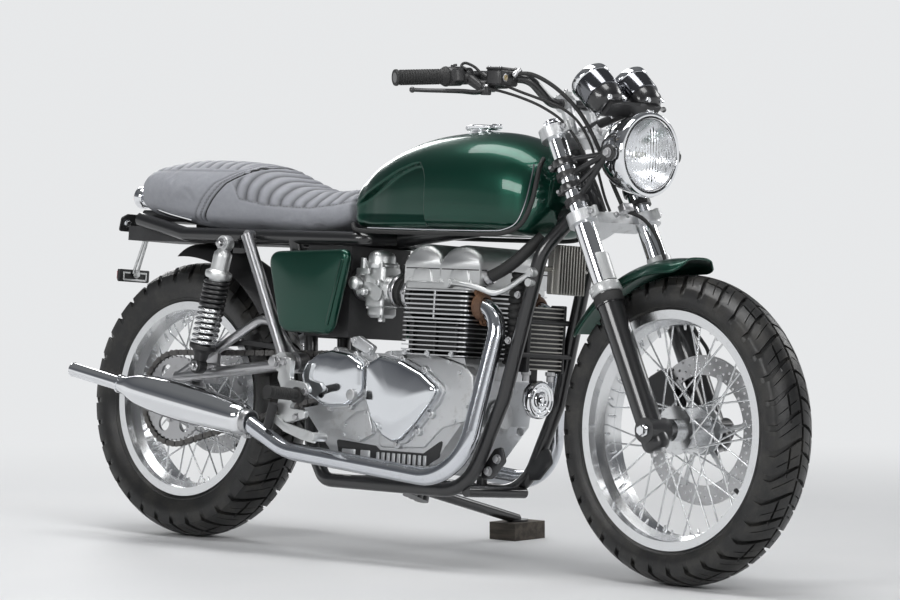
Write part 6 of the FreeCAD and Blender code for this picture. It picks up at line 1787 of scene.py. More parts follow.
@dataclass
class Exhaust:
    """Silencers with their tail pipes and clamps.

    Attributes:
        front: Front end of the right silencer.
        rear: Where its tail pipe starts.
        end: End of the tail pipe.
    """

    front: Point = (346, -186, 286)
    rear: Point = (-66, -200, 350)
    end: Point = (-232, -202, 377)

    def build(self) -> None:
        """Build clamps and silencers of both sides."""
        front, rear, end = Vector(self.front), Vector(self.rear), Vector(self.end)
        along = (rear - front).normalized()
        solid = Solid()
        clamp = [(23.5, -12), (26.6, -12), (27.4, -9), (27.4, 9), (26.6, 12), (23.5, 12)]
        for place in (front + along * 20, front - along * 4):
            solid.put_turned(clamp, place, along, 36, 1, closed=True)
            solid.put_block((14, 10, 18), place + Vector((0, 8, -30)), 3, 1)
            solid.put_bolt(5.5, 6, place + Vector((0, -1, -33)), (0, -1, 0), 1)
        solid.both().piece("exhaust_clamps", CHASSIS, [Finish.CHROME, Finish.STEEL], bevel=0.4)
        self._bodies(front, rear, end)

    def _bodies(self, front: Vector, rear: Vector, end: Vector) -> None:
        """Tapered silencers with rounded shoulders, seams and slim tail pipes.

        Args:
            front: Front end.
            rear: Where the tail pipe starts.
            end: End of the tail pipe.
        """
        length = (rear - front).length
        profile = [(21.5, 0), (27, 1), (32, 5), (35.5, 11), (37.2, 18), (37.8, 20), (37.2, 22)]
        swell = ((22, 37.4), (80, 41.5), (150, 45.2), (210, 46.0), (260, 44.6), (310, 41.0), (345, 37.0),
                 (366, 32.5), (382, 27.0), (394, 22.5), (406, 20.0))
        profile += [(table(at, swell), at) for at in np.linspace(23, length, 36)]
        body = Solid.lathe(profile, 64).placed(aimed(front, rear - front))
        reach = (end - rear).length
        pipe = [(16.5, -8), (16.5, reach - 2), (17.2, reach), (16.6, reach + 1), (14.4, reach + 1),
                (14.2, reach - 90)]
        body.add(Solid.lathe(pipe, 48), aimed(rear, end - rear))
        ring = [(19.5, -3), (21.8, -3), (22.2, 0), (21.8, 3), (19.5, 3)]
        body.put_turned(ring, rear, rear - front, 40, closed=True)
        body.both().piece("silencer_bodies", CHASSIS, [Finish.CHROME], sharp=35, replaces=["silencers"])


@dataclass
class SpringStrut:
    """Rear shock absorber with a real coil spring.

    Attributes:
        top: Upper eye.
        foot: Lower eye.
        wire: Radius of the spring's wire.
        coil: Radius of its coils.
        turns: Number of its turns.
    """

    top: Vector = field(default_factory=lambda: Vector((208, -150, 690)))
    foot: Vector = field(default_factory=lambda: Vector((142, -150, 404)))
    wire: float = 4.6
    coil: float = 26.5
    turns: float = 13.0

    def build(self) -> None:
        """Build both struts."""
        down = (self.foot - self.top).normalized()
        length = (self.foot - self.top).length
        place = aimed(self.top, down)
        eye = Solid.lathe([(8.4, -12), (17, -12), (18.5, -9), (18.5, 9), (17, 12), (8.4, 12)], 28, True)
        solid = Solid()
        for end in (self.top, self.foot):
            solid.add(eye.placed(aimed(end, (0, 1, 0))), slot=0 if end is self.top else 2)
            solid.put_turned([(13, 0), (13, 3), (8.5, 4), (8.5, 12), (6, 14)], end + Vector((0, -12, 0)),
                             (0, -1, 0), 6, 3)
        body = [(0, 12), (13, 12), (16, 18), (21, 24), (21.6, 30), (21.6, 62), (24, 64), (30.5, 68),
                (31.4, 72), (31.4, 80), (29, 83), (20, 84), (20, 92), (0, 92)]
        solid.put_turned(body, self.top, down, 40)
        shaft = [(0, 88), (17.5, 88), (17.5, length - 52), (0, length - 52)]
        solid.put_turned(shaft, self.top, down, 32, 2)
        cup = [(0, length - 52), (30.5, length - 52), (31.4, length - 50), (31.4, length - 42),
               (24, length - 38), (18, length - 30), (15, length - 14), (0, length - 10)]
        solid.put_turned(cup, self.top, down, 36, 2)
        low, high = 86.0, length - 54
        turns = []
        steps = int(self.turns * 24)
        for index in range(steps + 1):
            share = index / steps
            angle = math.tau * self.turns * share
            rise = low + (high - low) * (0.82 * share + 0.18 * share ** 2)
            turns.append(place @ polar(self.coil, angle, rise))
        split = steps // 2
        solid.put_tube(turns[:split + 1], self.wire, 10, slot=1)
        solid.put_tube(turns[split:], self.wire, 10, slot=4)
        finishes = [Finish.CASTING, Finish.BLACK, Finish.SATIN, Finish.STEEL, Finish.SPOKE]
        solid.both().piece("spring_struts", CHASSIS, finishes, sharp=45, replaces=["shocks"])


@dataclass
class Fittings:
    """Side covers, cooler, regulator, horn, tail, bolts and stand fittings of the chassis."""

    def build(self) -> None:
        """Build every fitting."""
        self._side_covers()
        self._cooler()
        self._horn()
        self._tail()
        self._frame_bolts()
        self._hangers()
        self._chain()
        self._stand()

    def _side_covers(self) -> None:
        """Crowned side covers with a raised pressed edge."""
        corners = [(344, 676), (606, 688), (560, 492), (396, 494)]
        outline = rounded(corners, [30, 22, 34, 40], 9)
        solid = side_plate(outline, 122, 150, 13, 0, 7)
        solid.add(side_plate(rounded([(586, 664), (594, 662), (556, 512), (548, 514)], 3, 3), 149, 153.5,
                             1.5, 0))
        solid.both().piece("side_cover_shells", CHASSIS, [Finish.GREEN], sharp=50, replaces=["side_covers"])

    def _cooler(self) -> None:
        """Oil cooler of flat ribs between end tanks, and the finned regulator."""
        solid = Solid.block((30, 108, 136), (1062, 0, 508), 3)
        for index in range(15):
            solid.put_block((40, 112, 3.0), (1062, 0, 441 + index * 9.6), 0.8, 1)
        for side in (-1, 1):
            solid.put_block((42, 10, 150), (1062, side * 57, 508), 4)
            solid.put_turned([(11, 0), (11, 8), (8, 10), (8, 22)], (1062, side * 40, 436), (0, 0, -1), 6, 2)
        for side in (-1, 1):
            solid.put_tube([(1080, -84, 508 + side * 37), (1080, 84, 508 + side * 37)], 6, 14)
        solid.piece("oil_cooler_core", CHASSIS, [Finish.SATIN, Finish.RIB, Finish.STEEL],
                    replaces=["oil_cooler"])
        unit = Solid.block((18, 92, 108), (1121, 0, 660), 3)
        for index in range(10):
            unit.put_block((17, 3, 108), (1137, -42 + index * 9.3, 660), 1.2)
        unit.put_tube([(1122, -88, 660), (1122, 88, 660)], 6, 14)
        unit.piece("regulator_fins", CHASSIS, [Finish.RIB], replaces=["regulator"])

    def _horn(self) -> None:
        """Chrome horn with concentric rings and its strap."""
        rings = [(0, 0), (30, 0), (40, 8), (42, 14), (42, 26), (40, 30), (37, 31), (35, 28), (32, 28),
                 (30, 31), (26, 31), (24, 28), (21, 28), (19, 32), (14, 33), (11, 29), (8, 29), (6, 34),
                 (0, 35)]
        solid = Solid.lathe(rings, 48).placed(aimed((1046, 0, 374), (1, 0, 0)))
        solid.put_block((5, 22, 64), (1048, 0, 418), 2, 1)
        solid.put_bolt(6, 6, (1046, 0, 374), (-1, 0, 0), 1)
        solid.piece("horn_rings", CHASSIS, [Finish.CHROME, Finish.SATIN], bevel=0.3, replaces=["horn"])

    def _tail(self) -> None:
        """Tail lamp, blank plate holder, reflector and the loop under the hump."""
        lamp = Solid.lathe([(0, 0), (23, 0), (26, 4), (27, 8), (27, 20), (26, 22), (23, 23)], 36, slot=1)
        lamp.put_turned([(23, 20), (23, 24), (20, 29), (12, 33), (0, 34)], sides=36)
        whole = lamp.placed(aimed((-226, 0, 800), (-1, 0, 0)))
        whole.put_tube([(-208, 0, 814), (-240, 0, 814)], 10, 18, slot=1)
        whole.piece("tail_lamp_glass", CHASSIS, [Finish.RED, Finish.CHROME], bevel=0.3,
                    replaces=["tail_lamp"])
        turn = Matrix.Translation(Vector((-222, 0, 735))) @ Matrix.Rotation(math.radians(12), 4, "Y")
        outline = rounded([(-21, -88), (12, -88), (22, -70), (22, 70), (12, 88), (-21, 88)], 7, 4)
        turned = Matrix.Rotation(math.radians(-90), 4, "Y")
        holder = Solid.prism(outline, -2, 2, 0.8).placed(turn @ turned)
        for side in (-68, 68):
            for face in (-1, 1):
                place = turn @ Vector((2.0 * face, side, 0))
                holder.put_bolt(7.5, 7, place, turn.to_3x3() @ Vector((face, 0, 0)), 1)
        holder.put_tube([(-178, 0, 716), (-200, 0, 718), (-220, 0, 728)], 6, 12)
        holder.put_block((185, 150, 26), (-72, 0, 754), 8)
        for side in (-7, 7):
            holder.put_tube([(-216, side * 0.6, 718), (-255, side, 616)], 3.4, 10, slot=2)
        holder.put_bolt(9, 9, (-213, 0, 720), (1, 0, 0), 2)
        holder.put_bolt(7, 7, (-252, 0, 614), (1, 0, 0), 2)
        holder.put_block((9, 100, 30), (-262, 0, 610), 4)
        holder.put_block((3, 70, 4), (-256.5, 0, 600), 1, 2)
        for side in (-1, 1):
            holder.put_block((3, 20, 4), (-256.5, side * 26, 617), 1, 2)
            holder.put_block((3, 4, 20), (-256.5, side * 36, 609), 1, 2)
        holder.put_block((7, 90, 22), (-270, 0, 610), 4, 3)
        holder.piece("plate_holder", CHASSIS, [Finish.SATIN, Finish.CHROME, Finish.CASTING, Finish.RED],
                     replaces=["plate_bracket"])
        loop = [(30, -88, 746), (-60, -88, 762), (-130, -80, 780), (-178, -50, 788), (-192, 0, 790)]
        line = curved(loop, 8)
        line += [Vector((p.x, -p.y, p.z)) for p in reversed(line[:-1])]
        Solid.tube(line, 6.5, 12).piece("hump_rail", CHASSIS, [Finish.CHROME])

    def _frame_bolts(self) -> None:
        """Engine plates and bolts on the frame."""
        plate = rounded([(1018, 262), (1040, 268), (1052, 236), (1016, 196), (986, 192), (982, 214)], 9, 4)
        solid = side_plate(plate, 74, 80, 1.5)
        solid.add(right_bolts([(1028, 240), (1004, 212)], 80, 8, True, 1))
        solid.add(right_bolts([(424, 424)], 180, 12, True, 1))
        solid.add(right_bolts([(1066, 500), (1086, 600)], 108, 6, True, 1))
        solid.both().piece("frame_plates", CHASSIS, [Finish.BLACK, Finish.STEEL], bevel=0.4)

    def _hangers(self) -> None:
        """Pierced hanger plates, peg rubbers, pedal and its linkage."""
        outline = rounded([(438, 437), (472, 434), (470, 386), (522, 380), (536, 362), (496, 345),
                           (470, 320), (524, 317), (526, 301), (466, 288), (442, 300), (436, 330),
                           (444, 368), (431, 388)], [8, 8, 9, 9, 9, 9, 7, 8, 8, 9, 10, 16, 16, 10], 4)
        solid = side_plate(outline, 164, 178, 2.5)
        solid.add(right_bolts([(485, 359), (524, 361), (499, 302), (451, 425)], 178, 7, True, 1))
        pedal = rounded([(431, 306), (442, 304), (461, 290), (551, 272), (573, 256), (567, 246), (524, 253),
                         (470, 268), (436, 286)], 6, 4)
        solid.add(side_plate(pedal, 178.5, 186, 1.5))
        solid.put_tube(curved([(556, -182, 262), (580, -186, 260), (604, -194, 262)], 4), 6.0, 14)
        solid.put_turned([(9, 0), (10, 2), (10, 42), (9, 44)], (604, -190, 262), (0, -1, 0))
        solid.put_tube([(470, -158, 290), (430, -152, 330), (404, -150, 352)], 4, 10, slot=1)
        solid.put_turned([(11, 0), (11, 56), (8, 60)], (436, -190, 330), (-0.25, 0, -1), slot=2)
        solid.put_turned([(23, -2), (23, 22)], (424, -140, 424), (0, -1, 0), 28)
        solid.both().piece("hanger_plates", CHASSIS, [Finish.CASTING, Finish.STEEL, Finish.SATIN], bevel=0.6,
                           replaces=["footrests"])
        peg = Solid()
        profile = [(0, -7), (18, -7), (18, 6), (12.8, 6.4), (12.8, 22)]
        for index in range(9):
            near = 22 + index * 7.4
            profile += [(12.9, near), (14.2, near + 1.4), (14.2, near + 4.4), (12.9, near + 5.8)]
        profile += [(12.8, 92), (14.4, 93), (14.4, 96), (12, 97), (0, 97)]
        rise = math.radians(3)
        peg.put_turned(profile, (498, -178, 352), (0, -math.cos(rise), math.sin(rise)), 28)
        peg.both().piece("peg_rubbers", CHASSIS, [Finish.RUBBER], sharp=30)

    def _chain(self) -> None:
        """Roller chain of plates and pins round both sprockets, with the guard above."""
        rear, front = Vector((0, -80, 324)), Vector((560, -80, 412))
        big, small = 108.0, 40.0
        across = front - rear
        base = math.atan2(across.z, across.x)
        spread = math.acos((big - small) / across.length)
        path = [rear + radial(a) * big for a in np.linspace(base + spread, base + math.tau - spread, 60)]
        path += [front + radial(a) * small for a in np.linspace(base - spread, base + spread, 24)]
        path.append(path[0])
        lengths = [0.0]
        for before, after in zip(path, path[1:]):
            lengths.append(lengths[-1] + (after - before).length)
        pitch = 15.875
        count = int(lengths[-1] / pitch / 2) * 2
        pins = []
        for index in range(count + 1):
            want = lengths[-1] * index / count
            pins.append(Vector([float(np.interp(want, lengths, [p[axis] for p in path]))
                                for axis in range(3)]))
        solid = Solid()
        for index, (start, end) in enumerate(zip(pins, pins[1:])):
            middle, along = (start + end) / 2, end - start
            half = along.length / 2
            waist = rounded([(-half - 6.4, -5), (-half, -7), (0, -4.6), (half, -7), (half + 6.4, -5),
                             (half + 6.4, 5), (half, 7), (0, 4.6), (-half, 7), (-half - 6.4, 5)], 3.5, 2)
            plate = Solid.prism(waist, 0, 1.8)
            angle = math.atan2(along.z, along.x)
            turn = Matrix.Rotation(-angle, 4, "Y") @ Matrix.Rotation(math.radians(90), 4, "X")
            sides = (-5.2, 3.4) if index % 2 else (-7.4, 5.6)
            for side in sides:
                solid.add(plate, Matrix.Translation(middle + Vector((0, side + 1.8, 0))) @ turn)
            solid.put_turned([(2.6, -8.2), (2.6, 8.2)], start, (0, 1, 0), 8)
            solid.put_turned([(5.0, -4.6), (5.0, 4.6)], start, (0, 1, 0), 10)
        solid.piece("chain_links", CHASSIS, [Finish.CHAIN], replaces=["drive_chain"])
        guard = [(360, 462), (240, 470), (120, 462), (60, 448), (64, 438), (122, 450), (240, 458),
                 (360, 450)]
        side_plate(rounded(guard, 4, 3), 70, 92, 1.5).piece("chain_guard_rail", CHASSIS, [Finish.SATIN])

    def _stand(self) -> None:
        """Return spring of the side stand."""
        start, end = Vector((674, 40, 166)), Vector((560, 40, 170))
        turns, line = 18, []
        steps = 24 * turns
        for index in range(steps + 1):
            share = index / steps
            angle = math.tau * turns * share
            line.append(start.lerp(end, share) + Vector((0, 6 * math.cos(angle), 6 * math.sin(angle) - 16)))
        Solid.tube(line, 1.5, 6).piece("stand_spring", CHASSIS, [Finish.SATIN])


@dataclass
class Fork:
    """Fittings of the fork: caps, bands, seals, yoke bolts, caliper, mudguard and hoses.

    Attributes:
        ahead: Place of the legs ahead of the steering axis.
        spread: Lateral place of each leg.
        axle: Place of the axle ahead of the steering axis.
    """

    ahead: float = 55.0
    spread: float = 97.0
    axle: float = 60.7

    def build(self) -> None:
        """Build the fork's fittings."""
        self._legs()
        self._yokes()
        self._caliper()
        self._guard()
        self._hoses()

    def _legs(self) -> None:
        """Fork caps, clamp bands, dust seals, collars with half shells and axle clamps."""
        solid = Solid()
        cap = [(0, 0), (20.2, 0), (20.2, 3), (18.5, 5), (16.5, 6), (16.5, 11), (14.5, 12.5), (6, 12.5),
               (5, 16), (0, 16)]
        solid.put_turned(cap, (0, 0, 721.5), sides=36, slot=1)
        for level in (573, 631):
            band = [(22.6, -8), (26.4, -8), (26.8, -6), (26.8, 6), (26.4, 8), (22.6, 8)]
            solid.put_turned(band, (0, 0, level), sides=36, closed=True)
            solid.put_block((16, 12, 14), (-22, -14, level), 2)
            solid.put_screw(4, 6, (-22, -20, level), (0, -1, 0), 3)
        seal = [(26, 296), (30.6, 296), (32.2, 299), (32.2, 312), (30.6, 318), (26, 318)]
        solid.put_turned(seal, sides=40, slot=2, closed=True)
        ring = [(21, 318), (30.6, 318), (33.4, 320), (34.0, 323), (34.0, 336), (33.0, 340), (29.0, 343),
                (21, 344)]
        solid.put_turned(ring, sides=44, slot=4, closed=True)
        for angle in (70, 250):
            lug = Solid.block((9, 14, 12), (33, 0, 330), 3, 4)
            solid.add(lug, Matrix.Rotation(math.radians(angle), 4, "Z"))
        shell = []
        for step in range(15):
            angle = math.radians(-72 + 144 * step / 14)
            section = ((26.5, 344), (30, 344), (30.4, 347), (30.4, 403), (29.6, 407), (26.5, 407))
            shell.append([polar(radius, angle, height) for radius, height in section])
        solid.add(Solid.loft(shell, slot=4), Matrix.Rotation(math.radians(28), 4, "Z"))
        foot = [(0, -44), (17, -44), (24, -40), (28.3, -34), (29.4, -30), (29.4, -6), (28.2, -2), (26, -2),
                (26, -34), (0, -38)]
        solid.put_turned(foot, sides=36)
        solid.put_turned([(27, -30), (27, 30)], (self.axle - self.ahead, 0, 0), (0, 1, 0), 36)
        for ahead in (-15, 15):
            solid.put_turned([(5, -52), (5, -44)], (ahead, 0, 0), sides=6, slot=3)
        whole = Solid()
        for side in (-1, 1):
            place = Matrix.Translation(Vector((self.ahead, side * self.spread, 0)))
            whole.add(solid, place @ Matrix.Scale(-side, 4, (0, 1, 0)))
        for side in (-1, 1):
            head = [(0, 0), (14, 0), (14, 3), (11, 4.4), (11, 13), (9, 15), (0, 15)]
            sides = 6 if side < 0 else 28
            whole.put_turned(head, (self.axle, side * (self.spread + 30), 0), (0, side, 0), sides, 1)
        finishes = [Finish.BLACK, Finish.CHROME, Finish.RUBBER, Finish.STEEL, Finish.SILVER]
        whole.piece("fork_fittings", FORK, finishes, bevel=0.4)

    def _yokes(self) -> None:
        """Pinch bolts, stem nut, riser caps and clamps of the yokes."""
        solid = Solid()
        for level in (486, 690):
            for side in (-1, 1):
                solid.put_block((18, 11, 23), (self.ahead + 38, side * self.spread, level + 13), 3)
                solid.put_screw(5.5, 7, (self.ahead + 38, side * (self.spread + 5.5), level + 13),
                                (0, side, 0), 1)
            for off in (-18, 18):
                solid.put_screw(6, 7, (self.ahead + 24, off, level + 13), (1, 0, 0), 1)
        nut = [(0, 0), (21, 0), (21, 3), (17, 4), (17, 14), (13, 16), (0, 16)]
        solid.put_turned(nut, (0, 0, 716), sides=6, slot=1)
        for side in (-1, 1):
            solid.put_block((38, 27, 15), (60, side * 38, 792), 5)
            for off in (-13, 13):
                solid.put_screw(4.4, 6, (60 + off, side * 38, 799.5), slot=1)
        solid.put_turned([(17, 0), (17, 30), (15, 33)], (24, 0, 700), sides=28)
        solid.piece("yoke_bolts", FORK, [Finish.SILVER, Finish.STEEL], bevel=0.4)

    def _caliper(self) -> None:
        """Two-piston caliper with its bolts, bleed screw and pads' pins."""
        solid = Solid()
        centre = Vector((self.axle - 60, 58, 118))
        outline = rounded([(-28, -46), (20, -46), (28, -30), (28, 30), (20, 46), (-28, 46), (-24, 0)], 9, 4)
        turn = Matrix(((1, 0, 0, 0), (0, 0, 1, 0), (0, 1, 0, 0), (0, 0, 0, 1)))
        for low, high in ((6.5, 19.5), (-19.5, -13)):
            solid.add(Solid.prism(outline, low, high, 3).placed(Matrix.Translation(centre) @ turn))
        solid.put_block((14, 38, 88), centre + Vector((-21, 0, 0)), 4)
        for rise in (-22, 22):
            solid.put_turned([(17, 0), (17, 4), (15, 6)], centre + Vector((2, 19, rise)), (0, 1, 0), 32)
            solid.put_screw(6, 6, centre + Vector((-20, 19, rise * 1.6)), (0, 1, 0), 1)
        solid.put_turned([(4, 0), (4, 6), (2.4, 8), (2.4, 14)], centre + Vector((-14, 6, 44)), (0, 0, 1), 6,
                         1)
        for rise in (-26, 30):
            solid.put_block((34, 9, 20), centre + Vector((30, 15, rise)), 4)
            solid.put_screw(6, 7, centre + Vector((34, 19, rise)), (0, 1, 0), 1)
        solid.piece("front_caliper_halves", FORK, [Finish.SATIN, Finish.STEEL], bevel=0.5,
                    replaces=["front_caliper"])

    def _guard(self) -> None:
        """Front mudguard with its rolled rim and bolts."""
        solid = Solid()
        turn = FORK.matrix.inverted() @ FRONT.matrix
        rings, edges = [], ([], [])
        for step in range(49):
            share = step / 48
            angle = math.radians(86.5 + 61.3 * share)
            end = min(1.0, share / 0.1, (1 - share) / 0.08)
            wide = 63.5 * (0.62 + 0.38 * math.sqrt(end * (2 - end)))
            skirt = 31.0 * (0.25 + 0.75 * math.sqrt(end * (2 - end)))
            outer, inner = [], []
            for across in np.linspace(-1, 1, 25):
                fall = skirt * (1 - (1 - abs(across) ** 3.0) ** 0.62)
                for line, radius, narrow in ((outer, 365.5, 1), (inner, 362.6, 0.965)):
                    reach, y = radius - fall, across * wide * narrow
                    line.append(turn @ Vector((reach * math.cos(angle), y, reach * math.sin(angle))))
            rings.append(outer + inner[::-1])
            for edge, corner in zip(edges, (outer[0], outer[-1])):
                edge.append(corner)
        solid.add(Solid.loft(rings))
        rim = edges[0] + rings[-1][1:24] + edges[1][::-1] + rings[0][1:24][::-1]
        solid.put_tube(rim + rim[:1], 2.4, 8)
        for side in (-1, 1):
            for height in (314, 334):
                solid.put_screw(6, 4, (self.ahead, side * 64.5, height), (0, side, 0), 1)
        solid.piece("mudguard_shell", FORK, [Finish.GREEN, Finish.STEEL], sharp=50,
                    replaces=["front_mudguard"])

    def _hoses(self) -> None:
        """Brake hose and control cables from the bar to the lower yoke."""
        hose = [(78, -186, 832), (98, -160, 822), (112, -130, 796), (120, -100, 760), (122, -72, 716),
                (116, -48, 660), (106, -30, 600), (99, -16, 550), (94, -4, 512)]
        solid = Solid.tube(curved(hose, 8), 4.6, 12)
        lower = [(96, 6, 500), (102, 40, 480), (100, 66, 440), (92, 78, 380), (92, 84, 300), (94, 96, 220),
                 (88, 122, 176), (60, 138, 160), (26, 120, 158), (12, 92, 160), (4, 80, 164)]
        solid.put_tube(curved(lower, 8), 4.2, 12)
        solid.put_block((20, 30, 18), (98, 0, 506), 3, 1)
        for place, aim in ((hose[0], (1, 0.8, 0.5)), (hose[-1], (0, 0, -1)), (lower[-1], (-0.3, -0.3, 0.2))):
            solid.put_turned([(6.4, -7), (6.4, 4), (5, 6), (5, 16)], place, aim, 14, 1)
        routes = [[(18, -262, 868), (5, -262, 884), (12, -255, 888), (25, -245, 872), (33, -232, 846),
                   (50, -210, 822), (64, -178, 798), (84, -140, 770), (103, -105, 741),
                   (110, -75, 705), (103, -50, 656), (90, -40, 602), (80, -34, 545), (78, -30, 508)],
                  [(40, -240, 812), (52, -214, 800), (66, -176, 780), (82, -140, 752), (92, -104, 716),
                   (92, -76, 668), (86, -62, 620), (84, -52, 560), (78, -44, 508)]]
        routes.append([(x, -y, z) for x, y, z in routes[1]])
        for route in routes:
            solid.put_tube(curved(route, 8), 3.1, 10)
        solid.piece("fork_hoses", FORK, [Finish.RUBBER, Finish.STEEL])


@dataclass
class Headlamp:
    """Round headlamp: hollow chrome shell, reflector, bulb and fluted lens.

    Attributes:
        centre: Middle of the rim's plane.
        lens: Radius of the lens.
    """

    centre: Point = (209.0, 0.0, 580.0)
    lens: float = 80.0

    @property
    def place(self) -> Matrix:
        """Matrix from the lamp's own axis to the fork's space."""
        rake = Layout.rake
        return aimed(self.centre, (math.cos(rake), 0, -math.sin(rake)))

    def build(self) -> None:
        """Build shell, reflector, bulb, lens and ears."""
        shell = [(0, -116), (14, -116), (30, -112), (50, -101), (66, -85), (78, -64), (85, -42), (88, -24),
                 (88, -15), (89.5, -14), (89.5, -12.5), (92, -12), (92.4, -8), (92, -2), (90, 1.6), (86, 3),
                 (83, 2.4), (81.4, 0), (81.4, -4), (84, -9), (84, -20), (76, -52), (60, -80), (40, -98),
                 (0, -108)]
        solid = Solid.lathe(shell, 72)
        solid.put_block((10, 16, 8), (-91, 0, -4), 2)
        for side in (-1, 1):
            stud = [(0, 0), (13, 0), (13, 5), (9, 7), (9, 12), (0, 13)]
            solid.put_turned(stud, (0, side * 89, -24), (0, side, 0), 24)
        solid.placed(self.place).piece(
            "headlamp_bowl", FORK, [Finish.CHROME], sharp=34, replaces=["headlamp_shell"])
        bowl = [(12, -62), (26, -58), (44, -44), (60, -25), (72, -8), (79, 1), (77, 1), (70, -8), (58, -26),
                (42, -46), (25, -60), (12, -64)]
        inner = Solid.lathe(bowl, 64, True)
        inner.put_turned([(12.5, -64), (12.5, -56), (9, -52)], sides=24)
        inner.put_turned([(6, -52), (7, -44), (7, -32), (5, -26), (0, -24)], slot=1)
        inner.placed(self.place).piece("headlamp_reflector", FORK, [Finish.MIRROR, Finish.BULB])
        self._lens().placed(self.place).piece(
            "headlamp_glass", FORK, [Finish.LENS], sharp=24, replaces=["headlamp_lens"])
        self._ears()

    def _lens(self) -> Solid:
        """Domed lens with upright flutes on its inner face."""
        outer, inner = [], []
        rows = 26
        for row in range(rows + 1):
            radius = self.lens * row / rows
            front, back = [], []
            for angle in round_angles(72):
                x, y = radius * math.cos(angle), radius * math.sin(angle)
                dome = 13.5 * math.sqrt(max(0.0, 1 - (radius / (self.lens * 1.06)) ** 2)) - 3.0
                flute = 1.8 * abs(math.sin(math.pi * y / 8.5)) * (1 if abs(x) < 60 else 0.4)
                front.append(Vector((x, y, dome)))
                back.append(Vector((x, y, dome - 3.6 - flute)))
            outer.append(front)
            inner.append(back)
        return Solid.loft(outer[1:] + inner[:0:-1])

    def _ears(self) -> None:
        """Ears from the fork legs to the lamp."""
        solid = Solid()
        for side in (-1, 1):
            hub = self.place @ Vector((0, side * 97, -24))
            for level in (573, 631):
                leg = Vector((76, side * 97, level))
                solid.put_tube([leg, leg.lerp(hub, 0.5), hub], 5.6, 12)
            solid.put_turned([(17, -5), (18, -3), (18, 3), (17, 5)], hub + Vector((0, side * 4, 0)),
                             (0, 1, 0), 28)
            solid.put_bolt(8, 8, hub + Vector((0, side * 9, 0)), (0, side, 0), 1)
        solid.piece("lamp_ears", FORK, [Finish.BLACK, Finish.STEEL], bevel=0.4)


@dataclass
class Gauges:
    """Two gauges: black cups with bezels, faces, needles and glasses.

    Attributes:
        top: Middle of the left gauge's face.
        tilt: Tilt to the rider, in degrees.
    """

    top: Point = (166.0, 60.0, 779.0)
    tilt: float = 21.6

    def build(self) -> None:
        """Build both gauges."""
        cup = [(0, -88), (22, -88), (30, -85), (35, -78), (38, -68), (39.4, -56), (39.6, -50)]
        one = Solid.lathe(cup, 48)
        drum = [(39.4, -54), (42.4, -53), (43.2, -51), (43.6, -10), (43.6, -6), (39, -6)]
        one.add(Solid.lathe(drum, 56, slot=5))
        bezel = [(38.2, -2), (38.6, 2.6), (40, 4.6), (43, 5), (45.2, 3.6), (45.8, 1), (45.8, -7),
                 (44.6, -10), (43, -11)]
        one.put_turned(bezel, sides=56, slot=1, closed=True)
        one.put_turned([(39.4, -6), (39.4, -4.6)], sides=48, slot=2)
        for index in range(25):
            angle = math.radians(-130 + index * 260 / 24)
            long = 6.5 if index % 4 == 0 else 3.6
            place = Matrix.Rotation(angle, 4, "Z") @ Matrix.Translation(Vector((0, 34 - long / 2, -4.3)))
            one.add(Solid.block((0.9, long, 0.5), (0, 0, 0), 0, 3).placed(place))
        needle = Matrix.Rotation(math.radians(-118), 4, "Z") @ Matrix.Translation(Vector((0, 11, -2.6)))
        one.add(Solid.block((1.6, 34, 0.8), (0, 0, 0), 0, 4).placed(needle))
        one.put_turned([(4.6, -4.6), (4.6, -1.4), (3.6, -0.6)])
        for angle in (40, 140, 220, 320):
            flat = Vector((math.cos(math.radians(angle)), math.sin(math.radians(angle)), 0))
            one.put_turned([(6, 0), (6, 3), (3.6, 4), (3.6, 9)], flat * 32 + Vector((0, 0, -83)),
                           flat * 0.5 - Vector((0, 0, 1)), 14, 1)
        finishes = [Finish.BLACK, Finish.CHROME, Finish.DIAL, Finish.MARK, Finish.NEEDLE, Finish.GUNMETAL]
        self._pair(one).piece("gauge_cups", FORK, finishes, replaces=["gauges"])
        glass = Solid.lathe([(0, 2.4), (38.4, 1.2), (38.4, 2.4), (30, 3.4), (0, 4.0)], 48)
        self._pair(glass).piece("gauge_glasses", FORK, [Finish.LENS])

    def _pair(self, one: Solid) -> Solid:
        """A part of a gauge on both sides.

        Args:
            one: The part about its own axis.

        Returns:
            Both of them in the fork's space.
        """
        tilt = math.radians(self.tilt)
        x, y, z = self.top
        pair = Solid()
        for side in (-1, 1):
            pair.add(one, aimed((x, side * y, z), (-math.sin(tilt), 0, math.cos(tilt))))
        return pair


